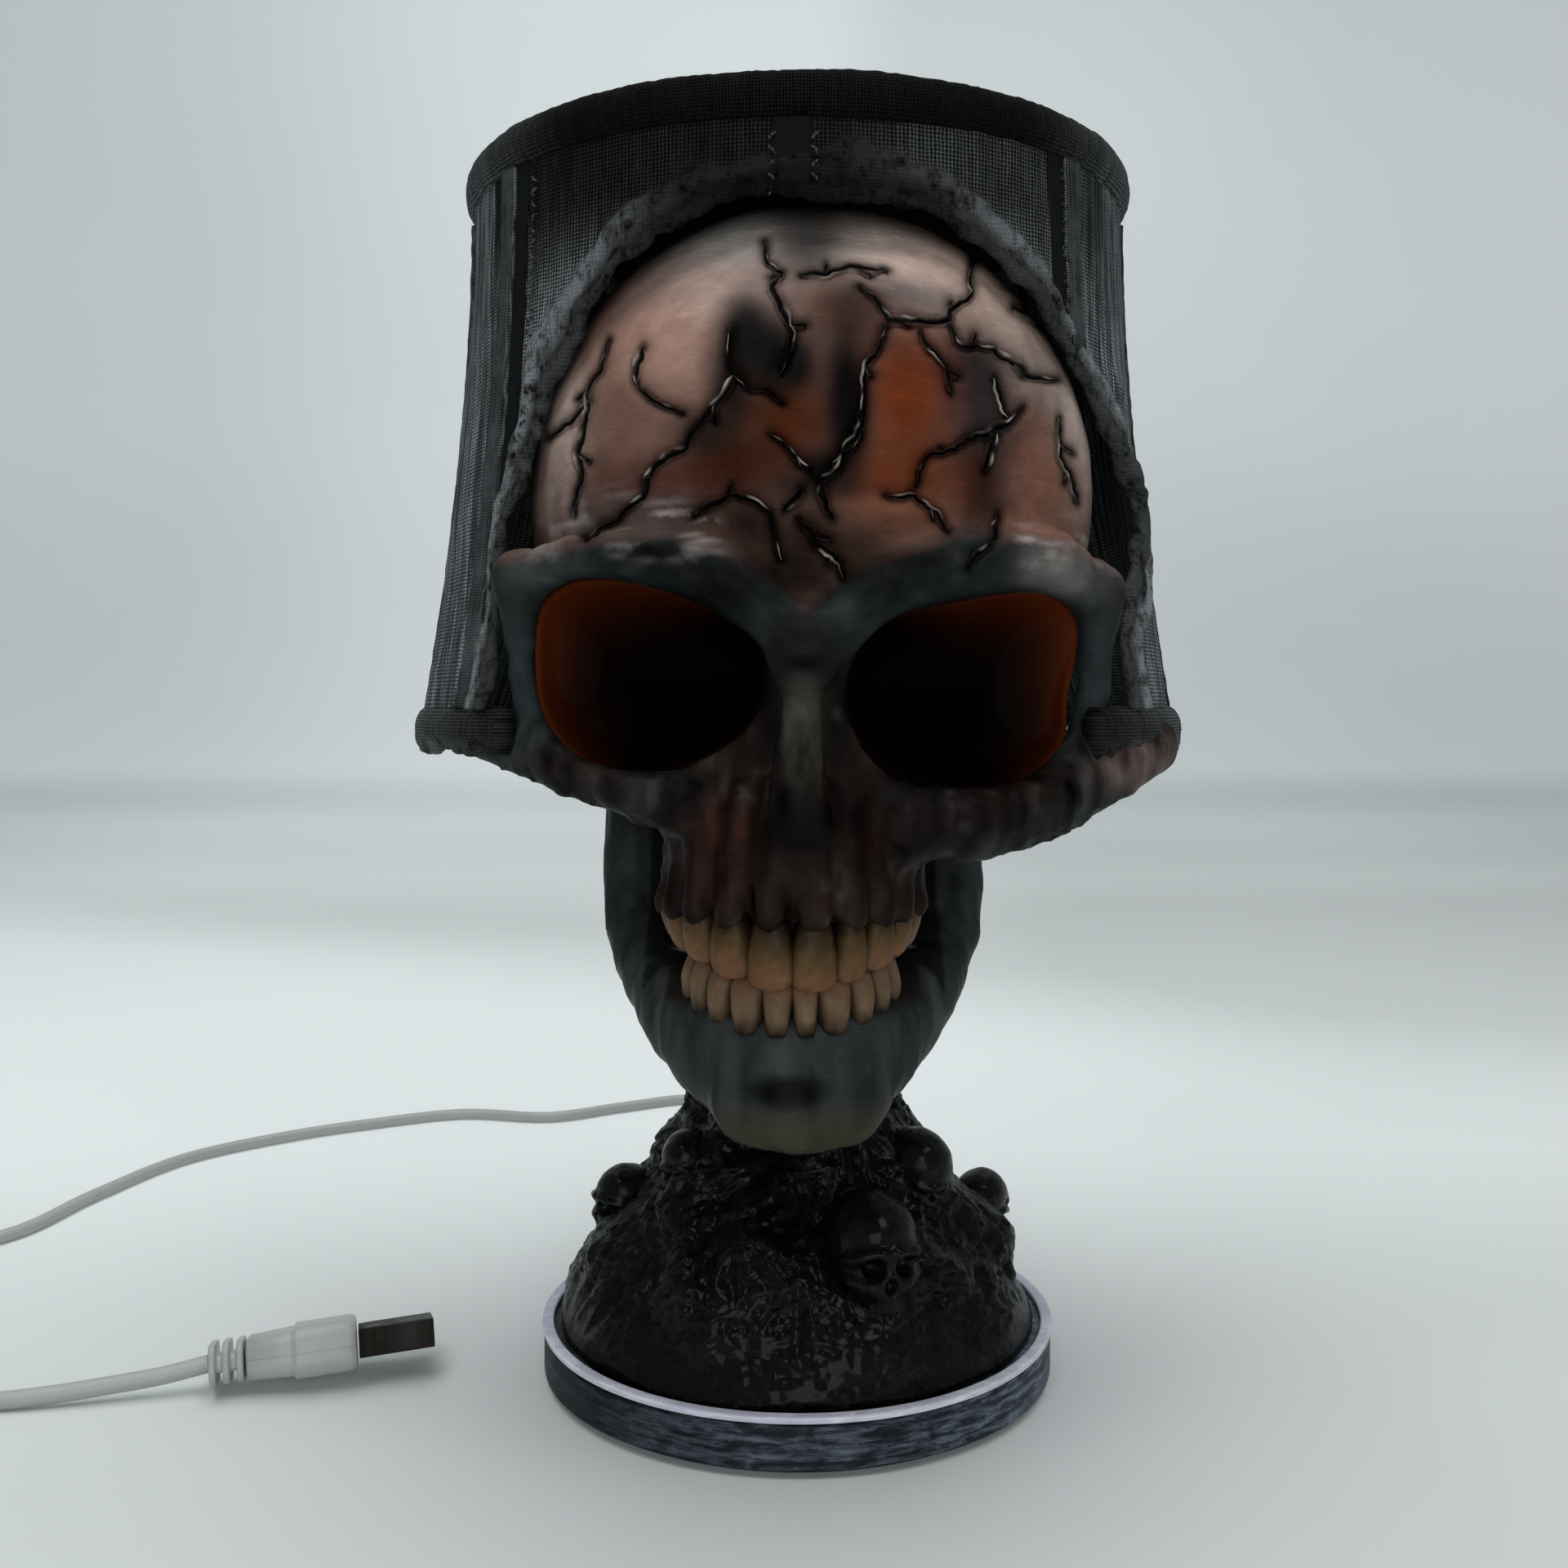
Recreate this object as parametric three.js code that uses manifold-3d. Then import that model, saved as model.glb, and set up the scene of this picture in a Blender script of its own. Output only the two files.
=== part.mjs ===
// Skull lamp: a resin skull bursts out of a cloth shade on a rock pedestal.
// Millimetres, +Z up, -Y is the front. The origin is on the lamp's axis, on the surface it stands on.
import * as THREE from "three";
import { mergeVertices } from "three/addons/utils/BufferGeometryUtils.js";
import Module from "manifold-3d";

const wasm = await Module();
wasm.setup();

// Shared fits
const gap = 0.3; // clearance between neighbouring pieces
const cutOverrun = 2; // how far a cutter runs past the face that it cuts
const turn = 2 * Math.PI;
const fineSides = 32; // sides of a large turned piece
const plainSides = 14; // sides of a smaller turned piece
const screwSides = 10;

// Foot and base plate
const footThickness = 1;
const baseRadius = 42.5;
const footInset = 2.5;
const footRadius = baseRadius - footInset;
const baseTopZ = 8.9;
const baseFloorThickness = 1.3;
const baseWellDepth = 0.7;
const baseEdgeWidth = 1.9;
const baseWall = 6.5;
const baseCavityRadius = baseRadius - baseWall;
const trimHeight = 1;
const trimProud = 0.3;
const coverThickness = 1.6;

// Cover screws
const screwCount = 3;
const screwInset = 6;
const screwCircleRadius = baseCavityRadius - screwInset;
const screwHeadRadius = 2.4;
const screwHeadHeight = 0.8;
const screwShankRadius = 1.1;
const screwBossRadius = 3;

// Rock pedestal
const rockHeight = 89;
const rockInset = 2.5;
const rockFootRadius = baseRadius - rockInset;
const rockNeckRadius = 13;
const rockRoughness = 1.7;
const rockRingCount = 13;
const rockSideCount = 30;
const rockBoreRadius = 5.4;

// Threaded tube with its nuts and washers
const tubeRadius = 5;
const tubeBoreRadius = 3.2;
const nutHeight = 2.2;
const nutRadius = 8.6;
const washerThickness = 0.7;
const washerRadius = 9;

// Shade carrier
const hubRadius = 9;
const hubThickness = 1.6;
const armWidth = 3;
const armThickness = 1.6;
const hoopWireRadius = 0.9;
const hoopZ = 107.6;
const hoopStart = 78; // degrees
const hoopEnd = 282;
const hoopSides = 8;
const hoopSteps = 24;
const armAzimuths = [120, 180, 240];

// Light
const holderRadius = 11;
const holderHeight = 9;
const holderWall = 2.4;
const boardThickness = 1.2;
const globeRadius = 13;
const globeWall = 1.1;
const globeNeckRadius = 9.4;
const globeSteps = 6;
const leadRadius = 1.4;
const leadSides = 12;

// Skull
const skullHalfWidth = 43.5;
const skullHalfDepth = 44;
const skullHalfHeight = 45;
const skullShift = 2;
const skullForward = 20;
const skullCentreZ = 143;
const skullWall = 3.5;
const skullBackForward = 6; // how far the skull's cut back lies in front of the axis
const skullBlend = 7;
const skullDetail = 9;
const browRadius = 4;
const orbitRimRadius = 4;
const cheekRadius = 5;
const noseRadius = 3.6;
const wrapStep = 1;
const wrapReach = 90;
const wrapHalvings = 9;
const socketFrontForward = 80;
const socketBackForward = 40;
const eyeRimForward = 52;
const eyeBowlDepth = 6;
const eyeThickness = 1.6;
const neckCutSides = 40;

// Jaw and teeth
const jawHalfWidth = 26;
const jawReach = 38;
const jawTopZ = 108;
const jawDrop = 50;
const jawRearForward = 19;
const jawSides = 10;
const jawSteps = 24;
const chinRadius = 9.5;
const upperToothCount = 12;
const lowerToothCount = 10;
const toothHeight = 12;
const toothWidth = 4.2;
const toothDepth = 3.2;
const archHalfWidth = 17.2;
const archReach = 17.5;
const archRearForward = 43.5;
const archInset = 4.2;
const biteZ = 74.6;
const gumHeight = 3.4;
const gumSteps = 20;
const toothRowShare = 0.92; // how much of the arch the teeth take
const gumRowShare = 0.96;
const toothTaper = 0.22; // how much smaller the last tooth is than the first
const biteOverlap = 1.2;

// Shade
const shadeBottomZ = 111.2;
const shadeTopZ = 190.7;
const shadeTopRadius = 53.8;
const shadeBottomRadius = 61.5;
const shadeFlarePower = 1.75;
const shadeWall = 1.2;
const shadeSideCount = 36;
const topRimHeight = 7;
const topRimProud = 1.4;
const topRimInset = 2.4;
const lidThickness = 1.2;
const bottomRimHeight = 7.3;
const bottomRimProud = 2.1;
const bottomRimInset = 2.2;
const rimSideCount = 32;
const bottomRimStart = 44;
const bottomRimEnd = 316;
const ribThickness = 0.8;
const ribHalfAngle = 2.2;
const ribSteps = 6;
const lipRadius = 1.5;
const lipSides = 4;
const lipSteps = 28;
const wallRows = 5;
const rimSections = 8;

// Switch
const switchAzimuth = 150;
const switchZ = 4.6;
const buttonRadius = 1.9;
const buttonProud = 1.5;
const buttonTravel = 1;
const bezelRadius = 2.7;
const bezelLength = 1.8;
const moduleWidth = 6.4;
const moduleHeight = 3;
const moduleDepth = 5;

// Driver board and its lead
const driverWidth = 16;
const driverDepth = 10;
const driverHeight = 1.4;

// Cord and plug
const cordRadius = 1.4;
const cordSides = 8;
const cordLength = 1000;
const grommetRadius = 2;
const grommetFlangeRadius = 2.7;
const grommetFlangeLength = 1.6;
const coilLoopSteps = 24;
const coilSides = 6;
const coilTurns = 5;
const coilOuterRadius = 20.8;
const coilPitch = 3.5;
const coilClimb = 3.4;
const coilLeft = 182;
const coilBack = 20;
const rearRunSteps = 46;
const frontRunSteps = 16;
const bootLength = 5.3;
const bootRadius = 2.1;
const bootRibWidth = 10.6;
const bootRibHeight = 6.4;
const bootRibCount = 3;
const plugLength = 17.3;
const plugWidth = 14.4;
const plugHeight = 8;
const plugStepLength = 7.3;
const plugStepInset = 0.5;
const plugCornerSteps = 4;
const plugRoll = 16; // degrees, its near edge up
const plugRise = 3;
const plugYaw = 15;
const plugRestZ = 4.5; // height of its axis where the cord enters
const shellLength = 12;
const shellWidth = 12;
const shellHeight = 4.5;
const shellWall = 0.35;
const tongueHeight = 1.6;

// Small skulls set in the rock
const smallSkullRadius = 6.4;
const smallSkullDetailSides = 6;
const smallSkullDetailRings = 4;
const craniumDetail = 1.3; // how much finer its cranium is than its other masses

// Finishes
const finish = (color, roughness, metalness = 0) =>
  new THREE.MeshStandardMaterial({ color, roughness, metalness });
const finishes = {
  rock: finish(0x1b1d1f, 0.25),
  base: finish(0x4a525c, 0.45, 0.3),
  trim: finish(0xb9bec6, 0.35, 0.7),
  foot: finish(0x161616, 0.9),
  cover: finish(0x232323, 0.7),
  steel: finish(0x8a8f96, 0.35, 0.9),
  bone: finish(0xa57d69, 0.45),
  jaw: finish(0x3d4545, 0.35),
  eye: finish(0x5a1408, 0.15),
  tooth: finish(0x9f7c62, 0.4),
  shade: finish(0x3a3d40, 0.9),
  rib: finish(0x191a1c, 0.85),
  lampPlastic: finish(0xe6e2d8, 0.5),
  globe: finish(0xf4e9d0, 0.3),
  circuit: finish(0x1d4a2c, 0.5),
  cord: finish(0xe8e8e6, 0.45),
};

// Makes a closed three.js geometry a solid that can be joined and cut.
function toSolid(geometry) {
  const bare = geometry.clone();
  bare.deleteAttribute("normal");
  bare.deleteAttribute("uv");
  const merged = mergeVertices(bare);
  return new wasm.Manifold(
    new wasm.Mesh({
      numProp: 3,
      vertProperties: merged.attributes.position.array,
      triVerts: new Uint32Array(merged.index.array),
    }),
  );
}

// Gives a solid back as a three.js geometry.
function toGeometry(solid) {
  const made = solid.getMesh();
  const positions = new Float32Array(made.numVert * 3);
  for (let i = 0; i < made.numVert; i++) {
    const start = i * made.numProp;
    positions.set(made.vertProperties.subarray(start, start + 3), i * 3);
  }
  return new THREE.BufferGeometry()
    .setAttribute("position", new THREE.BufferAttribute(positions, 3))
    .setIndex(new THREE.BufferAttribute(made.triVerts, 1));
}

const joined = (solids) => solids.reduce((all, next) => all.add(next));
const largest = (solid) => solid.decompose().sort((a, b) => b.volume() - a.volume())[0];
const radians = (degrees) => (degrees * turn) / 360;
const mix = THREE.MathUtils.lerp;

// A named mesh of a geometry or a solid, added to its group.
function addPiece(group, name, shape, material) {
  const geometry = shape.isBufferGeometry ? shape : toGeometry(shape);
  const mesh = new THREE.Mesh(geometry, material);
  mesh.name = name;
  group.add(mesh);
  return mesh;
}

// A point at an azimuth in degrees (0 is the front, 90 is +X), a radius and a height.
function around(azimuth, radius, z) {
  const angle = radians(azimuth);
  return new THREE.Vector3(radius * Math.sin(angle), -radius * Math.cos(angle), z);
}

// A turned solid about the Z axis from a closed or axis-to-axis profile of [radius, z] pairs.
function turned(profile, sides = fineSides) {
  const points = profile.map(([radius, z]) => new THREE.Vector2(radius, z));
  const geometry = new THREE.LatheGeometry(points, sides);
  geometry.rotateX(turn / 4);
  return toSolid(geometry);
}

// A closed ring profile: inner and outer radius, low and high z.
const ringProfile = (inner, outer, low, high) => [
  [inner, low],
  [outer, low],
  [outer, high],
  [inner, high],
  [inner, low],
];

// A disc profile that starts and ends on the axis.
const discProfile = (radius, low, high) => [
  [0, low],
  [radius, low],
  [radius, high],
  [0, high],
];

// A box from its centre and its three full sides.
function boxAt(centre, sides) {
  const geometry = new THREE.BoxGeometry(...sides);
  geometry.translate(...centre);
  return toSolid(geometry);
}

// A solid from positions and triangles that all face one way, turned to face out.
function outwardSolid(positions, index) {
  const geometry = new THREE.BufferGeometry();
  geometry.setAttribute("position", new THREE.Float32BufferAttribute(positions, 3));
  geometry.setIndex(index);
  const solid = toSolid(geometry);
  if (solid.volume() > 0) return solid;
  const flipped = [];
  for (let i = 0; i < index.length; i += 3) flipped.push(index[i], index[i + 2], index[i + 1]);
  geometry.setIndex(flipped);
  return toSolid(geometry);
}

// A closed skin over rings of points, each ring with as many points, capped at both ends by a fan.
function skinned(rings) {
  const sides = rings[0].length;
  const positions = rings.flat().flatMap((p) => [p.x, p.y, p.z]);
  const capCentres = [rings[0], rings.at(-1)].map((ring) =>
    ring.reduce((sum, p) => sum.add(p), new THREE.Vector3()).divideScalar(sides),
  );
  capCentres.forEach((p) => positions.push(p.x, p.y, p.z));
  const first = rings.length * sides;
  const index = [];
  for (let i = 0; i < sides; i++) {
    const j = (i + 1) % sides;
    for (let k = 0; k + 1 < rings.length; k++) {
      const low = k * sides;
      const high = low + sides;
      index.push(low + i, low + j, high + j, low + i, high + j, high + i);
    }
    const last = (rings.length - 1) * sides;
    index.push(first, j, i, first + 1, last + i, last + j);
  }
  return outwardSolid(positions, index);
}

// A closed skin over rings that close on themselves, as a torus does.
function skinnedLoop(rings) {
  const sides = rings[0].length;
  const positions = rings.flat().flatMap((p) => [p.x, p.y, p.z]);
  const index = [];
  rings.forEach((ring, k) => {
    const low = k * sides;
    const high = ((k + 1) % rings.length) * sides;
    for (let i = 0; i < sides; i++) {
      const j = (i + 1) % sides;
      index.push(low + i, low + j, high + j, low + i, high + j, high + i);
    }
  });
  return outwardSolid(positions, index);
}

// A round or many-sided tube along a curve.
function tubeAlong(curve, radius, sides, steps) {
  const shape = new THREE.Shape();
  for (let i = 0; i < sides; i++) {
    const angle = (turn * (i + 1 / 2)) / sides;
    const point = [radius * Math.cos(angle), radius * Math.sin(angle)];
    if (i === 0) shape.moveTo(...point);
    else shape.lineTo(...point);
  }
  shape.closePath();
  return new THREE.ExtrudeGeometry(shape, { steps, extrudePath: curve, bevelEnabled: false });
}

// Turns a group so that its local +X looks outwards at an azimuth.
function facing(azimuth) {
  const group = new THREE.Group();
  group.rotation.z = radians(azimuth - 90);
  return group;
}

// A cylinder along X from one x to another, round the point (y 0, z).
function rodAlongX(radius, startX, endX, z, sides = plainSides) {
  const geometry = new THREE.CylinderGeometry(radius, radius, endX - startX, sides);
  geometry.rotateZ(turn / 4);
  geometry.translate((startX + endX) / 2, 0, z);
  return toSolid(geometry);
}

// Heights that follow from the sizes above
const baseBottomZ = footThickness + gap;
const coverTopZ = baseBottomZ + coverThickness;
const wellFloorZ = baseTopZ - baseWellDepth;
const cavityTopZ = wellFloorZ - baseFloorThickness;
const rockBottomZ = wellFloorZ + gap;
const rockTopZ = rockBottomZ + rockHeight;
const hubZ = rockTopZ + gap;
const upperWasherZ = hubZ + hubThickness + gap;
const upperNutZ = upperWasherZ + washerThickness + gap;
const holderZ = upperNutZ + nutHeight + gap;
const boardZ = holderZ + holderHeight + gap;
const lowerWasherZ = cavityTopZ - gap - washerThickness;
const lowerNutZ = lowerWasherZ - gap - nutHeight;

// Foot, base plate, trim, cover and screws

function screwPlaces() {
  return Array.from({ length: screwCount }, (_, i) => around((360 * i) / screwCount, screwCircleRadius, 0));
}

function baseBody() {
  const outer = turned([
    [0, cavityTopZ],
    [baseCavityRadius, cavityTopZ],
    [baseCavityRadius, baseBottomZ],
    [baseRadius, baseBottomZ],
    [baseRadius, baseTopZ - trimHeight],
    [baseRadius - baseEdgeWidth, baseTopZ - trimHeight],
    [rockFootRadius + gap, wellFloorZ],
    [0, wellFloorZ],
  ]);
  const bosses = screwPlaces().map((place) =>
    turned(discProfile(screwBossRadius, coverTopZ + gap, cavityTopZ + gap), screwSides).translate(place.x, place.y, 0),
  );
  const bores = screwPlaces().map((place) =>
    turned(
      discProfile(screwShankRadius + gap, coverTopZ - cutOverrun, cavityTopZ),
      screwSides,
    ).translate(place.x, place.y, 0),
  );
  const tubeHole = turned(discProfile(tubeRadius + gap, cavityTopZ - cutOverrun, wellFloorZ + cutOverrun), plainSides);
  return joined([outer, ...bosses]).subtract(joined([...bores, tubeHole]));
}

// The two radial holes in the base's wall, for the button and for the cord's grommet
function radialHole(azimuth, radius, counterRadius, counterDepth) {
  const bore = rodAlongX(radius, baseCavityRadius - cutOverrun, baseRadius + cutOverrun, switchZ);
  const counter = rodAlongX(counterRadius, baseRadius - counterDepth, baseRadius + cutOverrun, switchZ);
  return bore.add(counter).rotate([0, 0, azimuth - 90]);
}

function buildBase(group) {
  const foot = turned(discProfile(footRadius, 0, footThickness));
  addPiece(group, "foot_pad", foot, finishes.foot);
  const holes = joined([
    radialHole(switchAzimuth, buttonRadius + gap, bezelRadius + gap, bezelLength - trimProud),
    radialHole(180, grommetRadius + gap, grommetFlangeRadius + gap, grommetFlangeLength / 2),
  ]);
  addPiece(group, "base_plate", baseBody().subtract(holes), finishes.base);
  const trimLowZ = baseTopZ - trimHeight + gap;
  const trim = turned(
    ringProfile(baseRadius - baseEdgeWidth + gap, baseRadius + trimProud, trimLowZ, trimLowZ + trimHeight),
  );
  addPiece(group, "base_edge_trim", trim, finishes.trim);
  const heads = screwPlaces().map((place) =>
    turned([
      [0, baseBottomZ - cutOverrun],
      [screwHeadRadius + gap, baseBottomZ - cutOverrun],
      [screwHeadRadius + gap, baseBottomZ + screwHeadHeight + gap],
      [screwShankRadius + gap, baseBottomZ + screwHeadHeight + gap],
      [screwShankRadius + gap, coverTopZ + cutOverrun],
      [0, coverTopZ + cutOverrun],
    ], screwSides).translate(place.x, place.y, 0),
  );
  const cover = turned(discProfile(baseCavityRadius - gap, baseBottomZ, coverTopZ)).subtract(joined(heads));
  addPiece(group, "bottom_cover", cover, finishes.cover);
  screwPlaces().forEach((place, i) => {
    const screw = turned([
      [0, baseBottomZ],
      [screwHeadRadius, baseBottomZ],
      [screwHeadRadius, baseBottomZ + screwHeadHeight],
      [screwShankRadius, baseBottomZ + screwHeadHeight],
      [screwShankRadius, cavityTopZ - gap],
      [0, cavityTopZ - gap],
    ], screwSides).translate(place.x, place.y, 0);
    addPiece(group, `cover_screw_${i + 1}`, screw, finishes.steel);
  });
}

// Rock pedestal with the small skulls set in it

// The rock's mean outline: height and radius as shares of its height and its foot's radius
const rockOutlineShares = [
  [0, 1],
  [0.07, 0.93],
  [0.165, 0.83],
  [0.275, 0.62],
  [0.33, 0.55],
  [0.41, 0.43],
  [0.56, 0.37],
  [0.8, 0.34],
];

function rockRadiusAt(share) {
  const last = rockOutlineShares.at(-1);
  if (share >= last[0]) return mix(last[1] * rockFootRadius, rockNeckRadius, (share - last[0]) / (1 - last[0]));
  const k = rockOutlineShares.findIndex(([height]) => height > share);
  const [lowShare, lowRadius] = rockOutlineShares[k - 1];
  const [highShare, highRadius] = rockOutlineShares[k];
  return rockFootRadius * mix(lowRadius, highRadius, (share - lowShare) / (highShare - lowShare));
}

// Crags as a share of the roughness, the same at every run
function crag(azimuth, share) {
  return (
    (Math.sin(azimuth * 4 + share * 13) +
      Math.sin(azimuth * 7 - share * 19 + 1) +
      Math.sin(azimuth * 9 + share * 29 + 2)) /
    2
  );
}

function rockBody() {
  const rings = [];
  for (let k = 0; k <= rockRingCount; k++) {
    const share = (k / rockRingCount) ** 1.3;
    const mean = rockRadiusAt(share);
    const fade = Math.min(1, k / 3, (rockRingCount - k) / 3);
    rings.push(
      Array.from({ length: rockSideCount }, (_, i) => {
        const azimuth = (360 * i) / rockSideCount;
        const radius = mean + fade * rockRoughness * crag(radians(azimuth), share);
        return around(azimuth, radius, rockBottomZ + share * rockHeight);
      }),
    );
  }
  const bore = turned(discProfile(rockBoreRadius, rockBottomZ - cutOverrun, rockTopZ + cutOverrun), plainSides);
  return skinned(rings).subtract(bore);
}

// Small skulls: name, azimuth, height and outward place as shares of the rock, size, turn and tilt in degrees
const smallSkulls = [
  { name: "left", azimuth: 268, heightShare: 0.2, outShare: 1.06, sizeShare: 0.82, turn: 300, tilt: 0 },
  { name: "front_right", azimuth: 25, heightShare: 0.21, outShare: 0.98, sizeShare: 1.03, turn: 18, tilt: 0 },
  { name: "upper_right", azimuth: 57, heightShare: 0.33, outShare: 1.03, sizeShare: 0.98, turn: 62, tilt: 32 },
  { name: "rear_right", azimuth: 103, heightShare: 0.2, outShare: 1.14, sizeShare: 0.86, turn: 150, tilt: 0 },
  { name: "upper_left", azimuth: 305, heightShare: 0.34, outShare: 1.04, sizeShare: 0.78, turn: 330, tilt: 15 },
  { name: "rear", azimuth: 200, heightShare: 0.24, outShare: 1.05, sizeShare: 0.95, turn: 195, tilt: 5 },
];

// One small skull about its own centre, looking along -Y; grow widens it by a clearance.
function smallSkull(radius, grow) {
  const ball = (radii, at, detail = 1) => {
    const sides = Math.round(smallSkullDetailSides * detail);
    const geometry = new THREE.SphereGeometry(1, sides, Math.round(smallSkullDetailRings * detail));
    geometry.scale(...radii.map((share) => share * radius + grow));
    geometry.translate(...at.map((share) => share * radius));
    return toSolid(geometry);
  };
  const headSolid = joined([
    ball([0.82, 1, 0.86], [0, 0, 0.25], craniumDetail),
    ball([0.6, 0.55, 0.6], [0, -0.42, -0.4]),
    ball([0.42, 0.4, 0.42], [0, -0.42, -0.95]),
  ]);
  if (grow > 0) return headSolid;
  const hollows = [
    ball([0.24, 0.3, 0.25], [-0.33, -0.95, -0.05]),
    ball([0.24, 0.3, 0.25], [0.33, -0.95, -0.05]),
    ball([0.12, 0.25, 0.18], [0, -1, -0.42]),
  ];
  return headSolid.subtract(joined(hollows));
}

function placedSmallSkull(spec, grow) {
  const radius = smallSkullRadius * spec.sizeShare;
  const seatRadius = rockRadiusAt(spec.heightShare) * spec.outShare;
  const place = around(spec.azimuth, seatRadius, rockBottomZ + spec.heightShare * rockHeight);
  return smallSkull(radius, grow)
    .rotate([spec.tilt, 0, 0])
    .rotate([0, 0, spec.turn])
    .translate(place.x, place.y, place.z);
}

function buildRock(group) {
  const pockets = joined(smallSkulls.map((spec) => placedSmallSkull(spec, gap)));
  addPiece(group, "rock_pedestal", rockBody().subtract(pockets), finishes.rock);
  for (const spec of smallSkulls)
    addPiece(group, `rock_skull_${spec.name}`, placedSmallSkull(spec, 0), finishes.rock);
}

// Threaded tube, nuts and washers

function nutSolid(low) {
  const nut = turned(discProfile(nutRadius, low, low + nutHeight), 6);
  return nut.subtract(turned(discProfile(tubeRadius + gap, low - cutOverrun, low + nutHeight + cutOverrun), plainSides));
}

function washerSolid(low) {
  return turned(ringProfile(tubeRadius + gap, washerRadius, low, low + washerThickness), plainSides);
}

function buildTube(group) {
  const tubeTopZ = holderZ + holderHeight - holderWall - gap;
  const tube = turned(ringProfile(tubeBoreRadius, tubeRadius, lowerNutZ, tubeTopZ), plainSides);
  addPiece(group, "threaded_tube", tube, finishes.steel);
  addPiece(group, "base_nut", nutSolid(lowerNutZ), finishes.steel);
  addPiece(group, "base_washer", washerSolid(lowerWasherZ), finishes.steel);
  addPiece(group, "neck_washer", washerSolid(upperWasherZ), finishes.steel);
  addPiece(group, "neck_nut", nutSolid(upperNutZ), finishes.steel);
}

// A straight bar between two points, its width level and its thickness upright
function barBetween(start, end, width, thickness) {
  const along = end.clone().sub(start).normalize();
  const side = new THREE.Vector3(-along.y, along.x, 0).setLength(width / 2);
  const up = new THREE.Vector3(0, 0, thickness / 2);
  const ringAt = (p) => [
    p.clone().sub(side).sub(up),
    p.clone().add(side).sub(up),
    p.clone().add(side).add(up),
    p.clone().sub(side).add(up),
  ];
  return skinned([ringAt(start), ringAt(end)]);
}

// Shade carrier: a hub on the tube, arms and a hoop inside the shade's foot
function buildCarrier(group) {
  const hoopRadius = shadeBottomRadius - bottomRimInset - gap - hoopWireRadius;
  const hub = turned(ringProfile(tubeRadius + gap, hubRadius, hubZ, hubZ + hubThickness), plainSides);
  const armMiddleZ = hubZ + hubThickness / 2;
  const armStart = hubRadius - armThickness / 2;
  const arms = armAzimuths.map((azimuth) =>
    barBetween(
      around(azimuth, armStart, armMiddleZ),
      around(azimuth, hoopRadius, hoopZ),
      armWidth,
      armThickness,
    ),
  );
  const rings = [];
  for (let k = 0; k <= hoopSteps; k++) {
    const azimuth = mix(hoopStart, hoopEnd, k / hoopSteps);
    rings.push(
      Array.from({ length: hoopSides }, (_, i) => {
        const angle = (turn * i) / hoopSides;
        return around(azimuth, hoopRadius + hoopWireRadius * Math.cos(angle), hoopZ + hoopWireRadius * Math.sin(angle));
      }),
    );
  }
  const bore = turned(discProfile(tubeRadius + gap, hubZ - cutOverrun, hubZ + hubThickness + cutOverrun), plainSides);
  addPiece(group, "shade_carrier", joined([hub, ...arms]).add(skinned(rings)).subtract(bore), finishes.steel);
}

// Lamp holder, light board, globe and lead
function buildLight(group) {
  const holderTopZ = holderZ + holderHeight;
  const holder = turned([
    [tubeRadius + gap, holderZ],
    [holderRadius, holderZ],
    [holderRadius, holderTopZ],
    [tubeBoreRadius, holderTopZ],
    [tubeBoreRadius, holderTopZ - holderWall],
    [tubeRadius + gap, holderTopZ - holderWall],
    [tubeRadius + gap, holderZ],
  ], plainSides);
  addPiece(group, "lamp_holder", holder, finishes.lampPlastic);
  addPiece(
    group,
    "light_board",
    turned(discProfile(globeNeckRadius - globeWall - gap, boardZ, boardZ + boardThickness), plainSides),
    finishes.circuit,
  );
  const centreZ = boardZ + Math.sqrt(globeRadius ** 2 - globeNeckRadius ** 2);
  const arc = (radius, fromNeck) => {
    const lowAngle = -Math.acos(Math.min(1, globeNeckRadius / globeRadius));
    const points = [];
    for (let k = 0; k <= globeSteps; k++) {
      const angle = mix(fromNeck ? lowAngle : turn / 4, fromNeck ? turn / 4 : lowAngle, k / globeSteps);
      points.push([Math.max(0, radius * Math.cos(angle)), centreZ + radius * Math.sin(angle)]);
    }
    return points;
  };
  const outerArc = arc(globeRadius, true);
  const innerArc = arc(globeRadius - globeWall, false);
  outerArc.at(-1)[0] = 0;
  innerArc[0][0] = 0;
  const foot = [
    [innerArc.at(-1)[0], boardZ],
    [outerArc[0][0], boardZ],
  ];
  addPiece(group, "light_globe", turned([...innerArc, ...foot, ...outerArc], plainSides), finishes.globe);
  const lead = turned(discProfile(leadRadius, lowerNutZ, boardZ - gap), leadSides);
  addPiece(group, "lamp_lead", lead, finishes.cord);
}

// Skull

const skullCentre = new THREE.Vector3(skullShift, -skullForward, skullCentreZ);
const skullHalfSizes = new THREE.Vector3(skullHalfWidth, skullHalfDepth, skullHalfHeight);

// A place on the skull from shares of its half sizes, counted from its centre
const onSkull = (shares) => new THREE.Vector3(...shares).multiply(skullHalfSizes).add(skullCentre);

// Rounded masses: centre and half sizes as shares of the skull's
const massShares = [
  { at: [0, 0, 0], sizes: [1, 1, 1] },
  { at: [-0.05, -0.41, -0.69], sizes: [0.83, 0.455, 0.489] },
  { at: [-0.05, -0.57, -1.11], sizes: [0.44, 0.42, 0.333] },
];

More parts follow.
